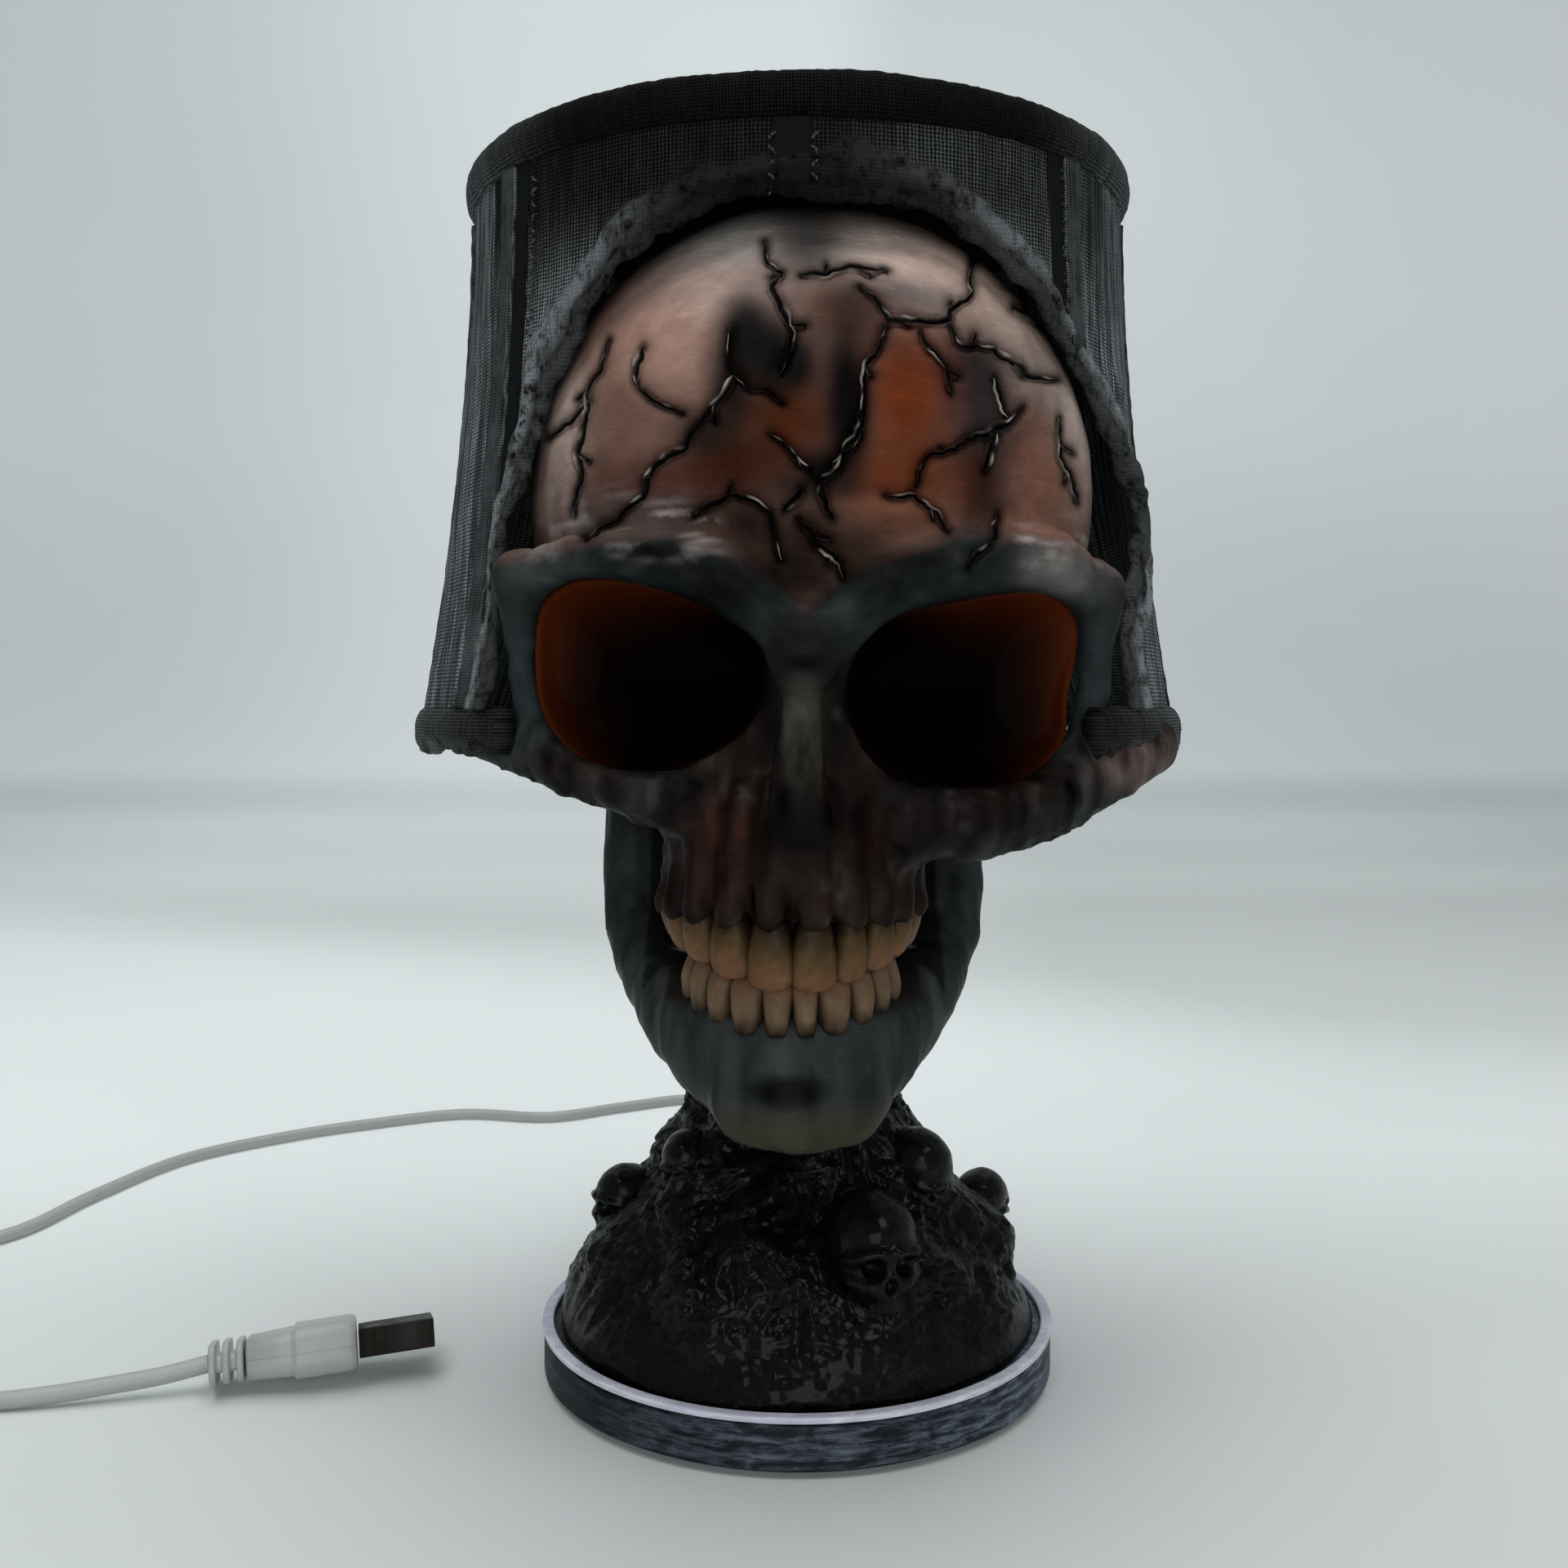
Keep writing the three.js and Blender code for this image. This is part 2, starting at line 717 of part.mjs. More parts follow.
// Ridges of bone: chains of places as shares of the skull's half sizes, with a radius each
const ridges = [
  {
    radius: browRadius,
    pathShares: [
      [-0.954, -0.568, -0.313], [-0.759, -0.784, -0.278], [-0.483, -0.92, -0.282], [-0.276, -0.977, -0.342],
      [-0.161, -0.989, -0.456], [-0.046, -0.989, -0.556],
    ],
  },
  {
    radius: browRadius,
    pathShares: [
      [0.926, -0.5, -0.347], [0.736, -0.75, -0.267], [0.437, -0.92, -0.302], [0.218, -0.977, -0.38],
      [0.092, -0.989, -0.484], [-0.046, -0.989, -0.556],
    ],
  },
  {
    radius: orbitRimRadius,
    pathShares: [[-0.954, -0.568, -0.313], [-0.95, -0.455, -0.69], [-0.805, -0.545, -0.96]],
  },
  {
    radius: orbitRimRadius,
    pathShares: [[0.926, -0.5, -0.347], [0.93, -0.455, -0.69], [0.736, -0.545, -0.95]],
  },
  {
    radius: cheekRadius,
    pathShares: [[-1.1, -0.32, -0.84], [-0.805, -0.545, -0.96], [-0.39, -0.77, -1.1]],
  },
  {
    radius: cheekRadius,
    pathShares: [[1.08, -0.27, -0.82], [0.736, -0.545, -0.95], [0.3, -0.77, -1.1]],
  },
  { radius: noseRadius, pathShares: [[-0.046, -0.989, -0.556], [-0.04, -0.91, -0.96]] },
];

const masses = massShares.map(({ at, sizes }) => ({
  centre: onSkull(at),
  sizes: new THREE.Vector3(...sizes).multiply(skullHalfSizes),
}));
const bones = ridges.flatMap(({ radius, pathShares }) =>
  pathShares.slice(1).map((end, i) => ({ radius, start: onSkull(pathShares[i]), end: onSkull(end) })),
);

function blended(a, b, reach) {
  const h = Math.max(reach - Math.abs(a - b), 0) / reach;
  return Math.min(a, b) - (h * h * reach) / 4;
}

// Signed depth of a point in the skull: below zero is inside
function skullField(point) {
  let field = Infinity;
  for (const { centre, sizes } of masses) {
    const scaled = point.clone().sub(centre).divide(sizes).length();
    const depth = (scaled - 1) * Math.min(sizes.x, sizes.y, sizes.z);
    field = field === Infinity ? depth : blended(field, depth, skullBlend);
  }
  for (const { radius, start, end } of bones) {
    const along = end.clone().sub(start);
    const share = THREE.MathUtils.clamp(point.clone().sub(start).dot(along) / along.lengthSq(), 0, 1);
    const depth = point.distanceTo(start.clone().addScaledVector(along, share)) - radius;
    field = blended(field, depth, skullBlend / 2);
  }
  return field;
}

// Wraps a ball's surface onto the skull's outermost surface, widened by grow.
function wrappedSkull(grow) {
  const centre = onSkull([0, -0.15, -0.4]);
  const ball = new THREE.IcosahedronGeometry(1, skullDetail);
  ball.deleteAttribute("normal");
  ball.deleteAttribute("uv");
  const geometry = mergeVertices(ball);
  const position = geometry.attributes.position;
  const direction = new THREE.Vector3();
  const place = (reach) => centre.clone().addScaledVector(direction, reach);
  for (let i = 0; i < position.count; i++) {
    direction.fromBufferAttribute(position, i).normalize();
    let outside = wrapReach;
    while (outside > wrapStep && skullField(place(outside)) > grow) outside -= wrapStep;
    let inside = outside;
    outside += wrapStep;
    for (let k = 0; k < wrapHalvings; k++) {
      const middle = (inside + outside) / 2;
      if (skullField(place(middle)) > grow) outside = middle;
      else inside = middle;
    }
    const found = place(outside);
    position.setXYZ(i, found.x, found.y, found.z);
  }
  return toSolid(geometry);
}

// Eye sockets: outlines in the face's plane, as shares of the skull's half width and height
const socketShares = {
  left: [
    [-0.89, -0.4], [-0.78, -0.33], [-0.55, -0.34], [-0.37, -0.4], [-0.23, -0.48], [-0.16, -0.56],
    [-0.16, -0.68], [-0.21, -0.77], [-0.32, -0.84], [-0.45, -0.89], [-0.6, -0.91], [-0.73, -0.88],
    [-0.83, -0.8], [-0.88, -0.7], [-0.89, -0.55],
  ],
  right: [
    [0.1, -0.63], [0.13, -0.54], [0.24, -0.45], [0.46, -0.4], [0.66, -0.36], [0.79, -0.38], [0.86, -0.45],
    [0.86, -0.54], [0.83, -0.67], [0.8, -0.81], [0.72, -0.88], [0.56, -0.92], [0.38, -0.92], [0.23, -0.88],
    [0.14, -0.81], [0.1, -0.72],
  ],
};

// A socket's outline as points [x, z], drawn in by an inset towards its middle
function socketOutline(side, inset) {
  const points = socketShares[side].map(([x, z]) => onSkull([x, 0, z]));
  const middle = points.reduce((sum, p) => sum.add(p), new THREE.Vector3()).divideScalar(points.length);
  return points.map((p) => {
    const inward = middle.clone().sub(p);
    return p.addScaledVector(inward.normalize(), inset);
  });
}

function socketCutter(side) {
  const ringAt = (y) => socketOutline(side, 0).map((p) => new THREE.Vector3(p.x, y, p.z));
  return skinned([ringAt(-socketFrontForward), ringAt(-socketBackForward)]);
}

// A thin bowl that closes a socket
function eyeMembrane(side) {
  const outline = socketOutline(side, gap * 2);
  const middle = outline.reduce((sum, p) => sum.clone().add(p), new THREE.Vector3()).divideScalar(outline.length);
  const ringAt = (share, offset) =>
    outline.map((p) => {
      const y = -eyeRimForward + eyeBowlDepth * (1 - share ** 2) + offset;
      return new THREE.Vector3(mix(middle.x, p.x, share), y, mix(middle.z, p.z, share));
    });
  const ringShares = [0.08, 0.4, 0.7, 0.9, 1];
  const front = ringShares.map((share) => ringAt(share, 0));
  const back = ringShares.map((share) => ringAt(share, eyeThickness)).reverse();
  return skinned([...front, ...back]);
}

function buildSkull(group, skullOuter) {
  const inner = new THREE.SphereGeometry(1, fineSides / 2, plainSides);
  inner.scale(skullHalfWidth - skullWall, skullHalfDepth - skullWall, skullHalfHeight - skullWall);
  inner.translate(skullCentre.x, skullCentre.y, skullCentre.z);
  const back = boxAt(
    [skullShift, skullHalfDepth - skullBackForward, skullCentreZ],
    [skullHalfWidth * 4, skullHalfDepth * 2, skullHalfHeight * 4],
  );
  const seat = turned(
    discProfile(washerRadius + gap, hubZ - cutOverrun, upperNutZ + nutHeight + cutOverrun),
    plainSides,
  );
  const holderRoom = turned(discProfile(holderRadius + gap, holderZ - gap, holderZ + holderHeight), plainSides);
  const neckCut = turned(discProfile(rockNeckRadius + rockRoughness, rockTopZ - rockHeight / 2, rockTopZ + gap), neckCutSides);
  const hollows = joined([toSolid(inner), back, seat, holderRoom, neckCut, socketCutter("left"), socketCutter("right")]);
  addPiece(group, "skull_shell", largest(skullOuter.subtract(hollows)), finishes.bone);
  addPiece(group, "eye_membrane_left", eyeMembrane("left"), finishes.eye);
  addPiece(group, "eye_membrane_right", eyeMembrane("right"), finishes.eye);
}

// Jaw: a bowed bar from ear to ear

// Stations of the half jaw, ear to chin: side, forward and down as shares of the jaw's half width,
// reach and drop, then the half thickness and half height as shares of the chin's radius
const jawStationShares = [
  { at: [0.96, 0, 0.02], half: [0.3, 0.55] },
  { at: [1, 0, 0.16], half: [0.36, 0.68] },
  { at: [1, 0.02, 0.34], half: [0.4, 0.8] },
  { at: [0.99, 0.07, 0.54], half: [0.42, 0.85] },
  { at: [0.93, 0.2, 0.7], half: [0.45, 0.85] },
  { at: [0.76, 0.44, 0.8], half: [0.48, 0.8] },
  { at: [0.56, 0.68, 0.88], half: [0.5, 0.8] },
  { at: [0.34, 0.86, 0.94], half: [0.52, 0.85] },
  { at: [0.12, 0.95, 0.97], half: [0.55, 0.9] },
];

function jawSolid() {
  const half = jawStationShares.map(({ at: [side, forward, down], half: [thick, high] }) => ({
    centre: new THREE.Vector3(side * jawHalfWidth, -jawRearForward - forward * jawReach, jawTopZ - down * jawDrop),
    thick: thick * chinRadius,
    high: high * chinRadius,
  }));
  const mirrored = half.map((s) => ({ ...s, centre: s.centre.clone().multiply(new THREE.Vector3(-1, 1, 1)) })).reverse();
  const stations = [...half, ...mirrored];
  const curve = new THREE.CatmullRomCurve3(stations.map((s) => s.centre));
  const rings = [];
  const inside = new THREE.Vector3(0, -jawRearForward, 0);
  for (let k = 0; k <= jawSteps; k++) {
    const along = k / jawSteps;
    const place = curve.getPoint(along);
    const tangent = curve.getTangent(along);
    const spot = along * (stations.length - 1);
    const low = Math.min(Math.floor(spot), stations.length - 2);
    const thick = mix(stations[low].thick, stations[low + 1].thick, spot - low);
    const high = mix(stations[low].high, stations[low + 1].high, spot - low);
    const outward = place.clone().sub(inside).setZ(0);
    outward.addScaledVector(tangent, -outward.dot(tangent)).normalize();
    const across = new THREE.Vector3().crossVectors(tangent, outward);
    rings.push(
      Array.from({ length: jawSides }, (_, i) => {
        const angle = (turn * i) / jawSides;
        return place
          .clone()
          .addScaledVector(outward, thick * Math.cos(angle))
          .addScaledVector(across, high * Math.sin(angle));
      }),
    );
  }
  const chin = new THREE.SphereGeometry(chinRadius, 14, 9);
  chin.scale(1.4, 0.62, 0.85);
  chin.translate(0, -jawRearForward - jawReach * 0.93, jawTopZ - jawDrop * 0.96);
  return skinned(rings).add(toSolid(chin));
}

// A place on a dental arch: share -1 is the left end, 0 the front, 1 the right end
function onArch(share, inset, z) {
  const angle = (share * turn) / 4;
  return new THREE.Vector3(
    (archHalfWidth - inset) * Math.sin(angle),
    -archRearForward - (archReach - inset) * Math.cos(angle),
    z,
  );
}

// A row of teeth on a bar of gum; up is 1 for the upper row and -1 for the lower row.
function teethSolid(count, inset, tipZ, up) {
  const crowns = Array.from({ length: count }, (_, i) => {
    const share = toothRowShare * ((2 * (i + 1 / 2)) / count - 1);
    const size = 1 - toothTaper * Math.abs(share);
    const crown = new THREE.SphereGeometry(1, 6, 4);
    crown.scale((toothWidth / 2) * size, toothDepth / 2, (toothHeight / 2) * size);
    crown.rotateZ((share * turn) / 4);
    const place = onArch(share, inset, tipZ + (up * toothHeight * size) / 2);
    crown.translate(place.x, place.y, place.z);
    return toSolid(crown);
  });
  const gumZ = tipZ + up * (toothHeight - gumHeight);
  const rings = [];
  for (let k = 0; k <= gumSteps; k++) {
    const share = mix(-gumRowShare, gumRowShare, k / gumSteps);
    const outer = onArch(share, inset - toothDepth / 4, 0);
    const inner = onArch(share, inset + toothDepth / 2, 0);
    const levels = [gumZ - gumHeight / 2, gumZ + gumHeight / 2];
    rings.push([
      new THREE.Vector3(outer.x, outer.y, levels[0]),
      new THREE.Vector3(outer.x, outer.y, levels[1]),
      new THREE.Vector3(inner.x, inner.y, levels[1]),
      new THREE.Vector3(inner.x, inner.y, levels[0]),
    ]);
  }
  return joined([skinned(rings), ...crowns]);
}

function buildJaw(group, skullGrown) {
  const jaw = largest(jawSolid().subtract(skullGrown));
  addPiece(group, "jaw", jaw, finishes.jaw);
  const upper = teethSolid(upperToothCount, 0, biteZ - biteOverlap, 1);
  addPiece(group, "upper_teeth", largest(upper.subtract(skullGrown)), finishes.tooth);
  const lowerRow = teethSolid(lowerToothCount, archInset, biteZ + biteOverlap / 2, -1);
  const jawRoom = joined(
    [
      [gap, 0, 0], [-gap, 0, 0], [0, gap, 0], [0, -gap, 0], [0, 0, gap], [0, 0, -gap],
    ].map((shift) => jaw.translate(...shift)),
  );
  addPiece(group, "lower_teeth", largest(lowerRow.subtract(jawRoom)), finishes.tooth);
}

// Shade

// The shade's outer radius at a height: it flares towards its foot
function shadeRadiusAt(z) {
  const share = (shadeTopZ - z) / (shadeTopZ - shadeBottomZ);
  return mix(shadeTopRadius, shadeBottomRadius, Math.max(0, share) ** shadeFlarePower);
}

// The torn opening: azimuth in degrees, and height as a share of the shade's height from its foot
const openingShares = [
  [-44.5, -0.2], [-45.5, 0.24], [-44.5, 0.4], [-42.5, 0.49], [-38, 0.625], [-33, 0.69], [-22, 0.79], [-16, 0.826],
  [-8, 0.857], [0, 0.866], [8, 0.866], [17, 0.85], [24, 0.815], [30, 0.777], [37.5, 0.72], [43.5, 0.645],
  [49, 0.582], [56, 0.504], [63, 0.42], [66, 0.358], [63, 0.274], [56, 0.235], [51, 0.12], [50, -0.2],
];
const openingHeight = (share) => mix(shadeBottomZ, shadeTopZ, share);

function openingCutter() {
  const innerRadius = shadeTopRadius / 2;
  const outerRadius = shadeBottomRadius * 2;
  const ringAt = (radius) => openingShares.map(([azimuth, share]) => around(azimuth, radius, openingHeight(share)));
  const outline = openingShares.map(([azimuth, share]) => new THREE.Vector2(azimuth, 360 * share));
  const faces = THREE.ShapeUtils.triangulateShape(outline, []);
  const count = outline.length;
  const positions = [...ringAt(innerRadius), ...ringAt(outerRadius)].flatMap((p) => [p.x, p.y, p.z]);
  const index = [];
  for (const [a, b, c] of faces) index.push(a, b, c, c + count, b + count, a + count);
  for (let i = 0; i < count; i++) {
    const j = (i + 1) % count;
    index.push(i, j, i + count, j, j + count, i + count);
  }
  return outwardSolid(positions, index);
}

function shadeWallSolid() {
  const outer = [];
  const inner = [];
  for (let k = 0; k <= wallRows; k++) {
    const z = mix(shadeBottomZ, shadeTopZ, k / wallRows);
    outer.push([shadeRadiusAt(z), z]);
    inner.unshift([shadeRadiusAt(z) - shadeWall, z]);
  }
  return turned([...outer, ...inner, outer[0]], shadeSideCount);
}

// The curled lip round the opening
function lipSolid() {
  const points = openingShares
    .slice(1, -1)
    .map(([azimuth, share]) =>
      around(azimuth, shadeRadiusAt(openingHeight(share)) + lipRadius / 2, openingHeight(share)),
    );
  return toSolid(tubeAlong(new THREE.CatmullRomCurve3(points), lipRadius, lipSides, lipSteps));
}

// A strip up the shade's outside between two shares of its height
function ribSolid(azimuth, lowShare, highShare) {
  const rings = [];
  for (let k = 0; k <= ribSteps; k++) {
    const z = openingHeight(mix(lowShare, highShare, k / ribSteps));
    const low = shadeRadiusAt(z) + gap;
    const high = low + ribThickness;
    rings.push([
      around(azimuth - ribHalfAngle, low, z),
      around(azimuth + ribHalfAngle, low, z),
      around(azimuth + ribHalfAngle, high, z),
      around(azimuth - ribHalfAngle, high, z),
    ]);
  }
  return skinned(rings);
}

// Ribs: name, azimuth, low and high ends as shares of the shade's height
const ribs = [
  { name: "front", azimuth: -1, lowShare: 0.89, highShare: 0.995 },
  { name: "front_right", azimuth: 45, lowShare: 0.69, highShare: 0.995 },
  { name: "right", azimuth: 90, lowShare: 0.005, highShare: 0.995 },
  { name: "rear_right", azimuth: 135, lowShare: 0.005, highShare: 0.995 },
  { name: "rear", azimuth: 180, lowShare: 0.005, highShare: 0.995 },
  { name: "rear_left", azimuth: 225, lowShare: 0.005, highShare: 0.995 },
  { name: "left", azimuth: 270, lowShare: 0.005, highShare: 0.995 },
  { name: "front_left", azimuth: 308, lowShare: 0.005, highShare: 0.995 },
];

function bottomRimSolid() {
  const inner = shadeBottomRadius - bottomRimInset;
  const outer = shadeBottomRadius + bottomRimProud;
  const high = shadeBottomZ - gap;
  const low = high - bottomRimHeight;
  const round = bottomRimProud;
  const section = [
    [inner, high],
    [outer - round / 3, high],
    [outer, high - round / 2],
    [outer, low + round],
    [outer - round / 3, low + round / 3],
    [outer - round, low],
    [inner + round / 3, low],
    [inner, low + round / 2],
  ];
  const rings = [];
  for (let k = 0; k <= rimSideCount; k++) {
    const azimuth = mix(bottomRimStart, bottomRimEnd, k / rimSideCount);
    rings.push(section.map(([radius, z]) => around(azimuth, radius, z)));
  }
  return skinned(rings);
}

function topRimSolid() {
  const low = shadeTopZ + gap;
  const middle = low + topRimHeight / 2;
  const inner = shadeTopRadius - topRimInset;
  const outer = shadeTopRadius + topRimProud;
  const centre = (inner + outer) / 2;
  const section = Array.from({ length: rimSections }, (_, i) => {
    const angle = (turn * i) / rimSections;
    return [centre + ((outer - inner) / 2) * Math.cos(angle), middle + (topRimHeight / 2) * Math.sin(angle)];
  });
  const rings = Array.from({ length: rimSideCount }, (_, k) =>
    section.map(([radius, z]) => around((360 * k) / rimSideCount, radius, z)),
  );
  return skinnedLoop(rings);
}

// The black cloth that closes the shade inside its top rim
function lidSolid() {
  const middle = shadeTopZ + gap + topRimHeight / 2;
  const radius = shadeTopRadius - topRimInset - gap;
  return turned(discProfile(radius, middle - lidThickness / 2, middle + lidThickness / 2), rimSideCount);
}

function buildShade(group, skullGrown) {
  const wall = shadeWallSolid().subtract(openingCutter()).add(lipSolid());
  const rimRoom = boxAt(
    [0, 0, shadeBottomZ - gap / 2 - bottomRimHeight / 2],
    [shadeBottomRadius * 4, shadeBottomRadius * 4, bottomRimHeight + gap],
  );
  const shade = largest(wall.subtract(skullGrown).subtract(rimRoom));
  addPiece(group, "shade_cloth", shade, finishes.shade);
  addPiece(group, "shade_top_rim", largest(topRimSolid().subtract(skullGrown)), finishes.shade);
  addPiece(group, "shade_bottom_rim", largest(bottomRimSolid().subtract(skullGrown)), finishes.shade);
  addPiece(group, "shade_lid", lidSolid().subtract(skullGrown), finishes.shade);
  const lipRoom = joined(
    [0, 1, 2, 3].map((k) => {
      const shift = around(90 * k, gap, 0);
      return lipSolid().translate(shift.x, shift.y, 0);
    }),
  );
  for (const rib of ribs) {
    const strip = ribSolid(rib.azimuth, rib.lowShare, rib.highShare);
    addPiece(group, `shade_rib_${rib.name}`, largest(strip.subtract(lipRoom).subtract(skullGrown)), finishes.rib);
  }
}

// Switch: a push button through the base's wall, with the switch behind it
function buildSwitch(group) {
  const spot = facing(switchAzimuth);
  group.add(spot);
  const buttonInner = baseCavityRadius + buttonTravel;
  const bezelInner = baseRadius + trimProud - bezelLength + gap;
  const button = rodAlongX(buttonRadius, buttonInner, baseRadius + buttonProud, switchZ);
  addPiece(spot, "switch_button", button, finishes.lampPlastic);
  const bezelBore = rodAlongX(buttonRadius + gap, bezelInner - cutOverrun, baseRadius + cutOverrun * 2, switchZ);
  const bezel = rodAlongX(bezelRadius, bezelInner, bezelInner + bezelLength, switchZ).subtract(bezelBore);
  addPiece(spot, "switch_bezel", bezel, finishes.steel);
  const moduleOuter = buttonInner - buttonTravel - gap;
  const module = boxAt(
    [moduleOuter - moduleDepth / 2, 0, cavityTopZ - gap - moduleHeight / 2],
    [moduleDepth, moduleWidth, moduleHeight],
  );
  addPiece(spot, "switch_module", module, finishes.cover);
}

// Driver board and the lead from the grommet
function buildDriver(group) {
  const boardY = (baseCavityRadius + washerRadius) / 2;
  const boardTopZ = cavityTopZ - gap;
  const board = boxAt([0, boardY, boardTopZ - driverHeight / 2], [driverWidth, driverDepth, driverHeight]);
  addPiece(group, "driver_board", board, finishes.circuit);
  const flangeEnd = baseRadius + grommetFlangeLength / 2;
  const grommetInner = baseCavityRadius - gap;
  const spot = facing(180);
  group.add(spot);
  const body = rodAlongX(grommetRadius, grommetInner, flangeEnd, switchZ);
  const flange = rodAlongX(
    grommetFlangeRadius,
    flangeEnd - grommetFlangeLength + gap,
    flangeEnd,
    switchZ,
  );
  addPiece(spot, "cord_grommet", body.add(flange), finishes.cover);
  const lead = rodAlongX(leadRadius, boardY + driverDepth / 2 + gap, grommetInner - gap, switchZ, leadSides);
  addPiece(spot, "supply_lead", lead, finishes.cord);
}

// Cord: out of the base's back, round behind the lamp, a coil out of view, and back in to the plug.
// The points are the route's own, and stay as chosen.
const cordRestZ = cordRadius;
const cordExit = new THREE.Vector3(0, baseRadius + grommetFlangeLength / 2 + gap, switchZ);
const rearRoute = [
  [0, 49, 4.6],
  [0, 62, 3],
  [0, 82, 1.4],
  [2, 110, 1.4],
  [3, 136, 1.4],
  [-2, 157, 1.4],
  [-13, 169, 1.4],
  [-29.3, 170.5, 1.4],
  [-46.8, 161.6, 1.4],
  [-64.8, 151.5, 1.4],
  [-88.3, 154.7, 1.4],
  [-111.8, 144, 1.4],
  [-128.1, 133.1, 1.4],
  [-146.9, 113.5, 1.4],
  [-156.8, 84.3, 1.4],
  [-164.1, 56.7, 1.4],
];
const frontRoute = [
  [-167, -6, 2.6],
  [-152, -14.2, 1.5],
  [-139, -19.4, 1.4],
  [-126.4, -19.8, 1.5],
  [-117.3, -18.3, 2],
  [-109.6, -16.5, 2.6],
  [-102.3, -14.7, 3.3],
];
const plugStart = new THREE.Vector3(-95.1, -12.8, plugRestZ);

// The coil: in along the lower layer, up a layer where the spiral turns back, out along the upper layer
const coilStartAngle = 130; // degrees
const coilEndAngle = 262;
function coilPoints() {
  const swept = 360 * coilTurns + (coilEndAngle - coilStartAngle);
  const half = swept / 2;
  const quarter = 90; // degrees of climb on each side of the middle
  const steps = Math.round((swept / 360) * coilLoopSteps);
  const points = [];
  for (let k = 0; k <= steps; k++) {
    const degrees = (swept * k) / steps;
    const inward = degrees < half ? degrees : swept - degrees;
    const radius = coilOuterRadius - (coilPitch * inward) / 360;
    const climb = THREE.MathUtils.smoothstep(degrees, half - quarter, half + quarter);
    const angle = radians(coilStartAngle + degrees);
    points.push(
      new THREE.Vector3(
        radius * Math.cos(angle) - coilLeft,
        radius * Math.sin(angle) + coilBack,
        cordRestZ + coilClimb * climb,
      ),
    );
  }
  return points;
}

// The least gap between the coil's turns, measured on its points
function coilSelfGap(points) {
  let least = Infinity;
  for (let i = 0; i < points.length; i++)
    for (let j = i + coilLoopSteps / 2; j < points.length; j++)
      least = Math.min(least, points[i].distanceTo(points[j]) - 2 * cordRadius);
  return least;
}

const polylineLength = (points) => points.slice(1).reduce((sum, p, i) => sum + p.distanceTo(points[i]), 0);

// A tube skin over rings set square to a chain of points
function cordSkin(points, sides) {
  const rings = points.map((p, k) => {
    const before = points[Math.max(0, k - 1)];
    const after = points[Math.min(points.length - 1, k + 1)];
    const tangent = after.clone().sub(before).normalize();
    const side = new THREE.Vector3(-tangent.y, tangent.x, 0).normalize();
    const up = new THREE.Vector3().crossVectors(tangent, side);
    return Array.from({ length: sides }, (_, i) => {
      const angle = (turn * (i + 1 / 2)) / sides;
      return p
        .clone()
        .addScaledVector(side, cordRadius * Math.cos(angle))
        .addScaledVector(up, cordRadius * Math.sin(angle));
    });
  });
  return skinned(rings);
}

const toPoints = (list) => list.map((p) => new THREE.Vector3(...p));
const upwards = new THREE.Vector3(0, 0, 1);

function buildCord(group) {
  const coil = coilPoints();
  const leadIn = coil[0].clone().sub(coil[1]).setZ(0).normalize();
  const leadOut = coil.at(-1).clone().sub(coil.at(-2)).setZ(0).normalize();
  const straight = 2 * cordRadius;
  const coilStart = coil[0].clone().addScaledVector(leadIn, straight);
  const coilEnd = coil.at(-1).clone().addScaledVector(leadOut, straight);
  const wound = [coilStart, ...coil, coilEnd];
  const rearEnd = coilStart.clone().addScaledVector(leadIn, gap);
  const frontStart = coilEnd.clone().addScaledVector(leadOut, gap);
  const rearCurve = new THREE.CatmullRomCurve3([
    cordExit,
    ...toPoints(rearRoute),
    rearEnd.clone().addScaledVector(leadIn, straight),
    rearEnd,
  ]);
  const frontCurve = new THREE.CatmullRomCurve3([
    frontStart,
    frontStart.clone().addScaledVector(leadOut, straight),
    ...toPoints(frontRoute),
    plugStart.clone().add(new THREE.Vector3(-gap, 0, 0).applyAxisAngle(upwards, radians(plugYaw))),
  ]);
  addPiece(group, "cord_rear_run", cordSkin(rearCurve.getSpacedPoints(rearRunSteps), cordSides), finishes.cord);
  addPiece(group, "cord_coil", cordSkin(wound, coilSides), finishes.cord);
  addPiece(group, "cord_front_run", cordSkin(frontCurve.getSpacedPoints(frontRunSteps), cordSides), finishes.cord);
  const lengths = [rearCurve.getLength(), polylineLength(wound), frontCurve.getLength()];
  const total = lengths.reduce((sum, part) => sum + part, 0);
  console.log("coil gap", coilSelfGap(wound).toFixed(2), "lengths", lengths.map(Math.round).join(" "));
  console.log("cord length", total.toFixed(0), "of", cordLength);
}

// A rounded oblong ring square to X, as wide and high as given
function oblongRing(x, width, height) {
  const corner = height / 3;
  const ring = [];
  for (const [side, level, start] of [[1, 1, 0], [-1, 1, 1], [-1, -1, 2], [1, -1, 3]])
    for (let k = 0; k < plugCornerSteps; k++) {
      const angle = (turn / 4) * (start + k / (plugCornerSteps - 1));
      ring.push(
        new THREE.Vector3(
          x,
          side * (width / 2 - corner) + corner * Math.cos(angle),
          level * (height / 2 - corner) + corner * Math.sin(angle),
        ),
      );
    }
  return ring;
}

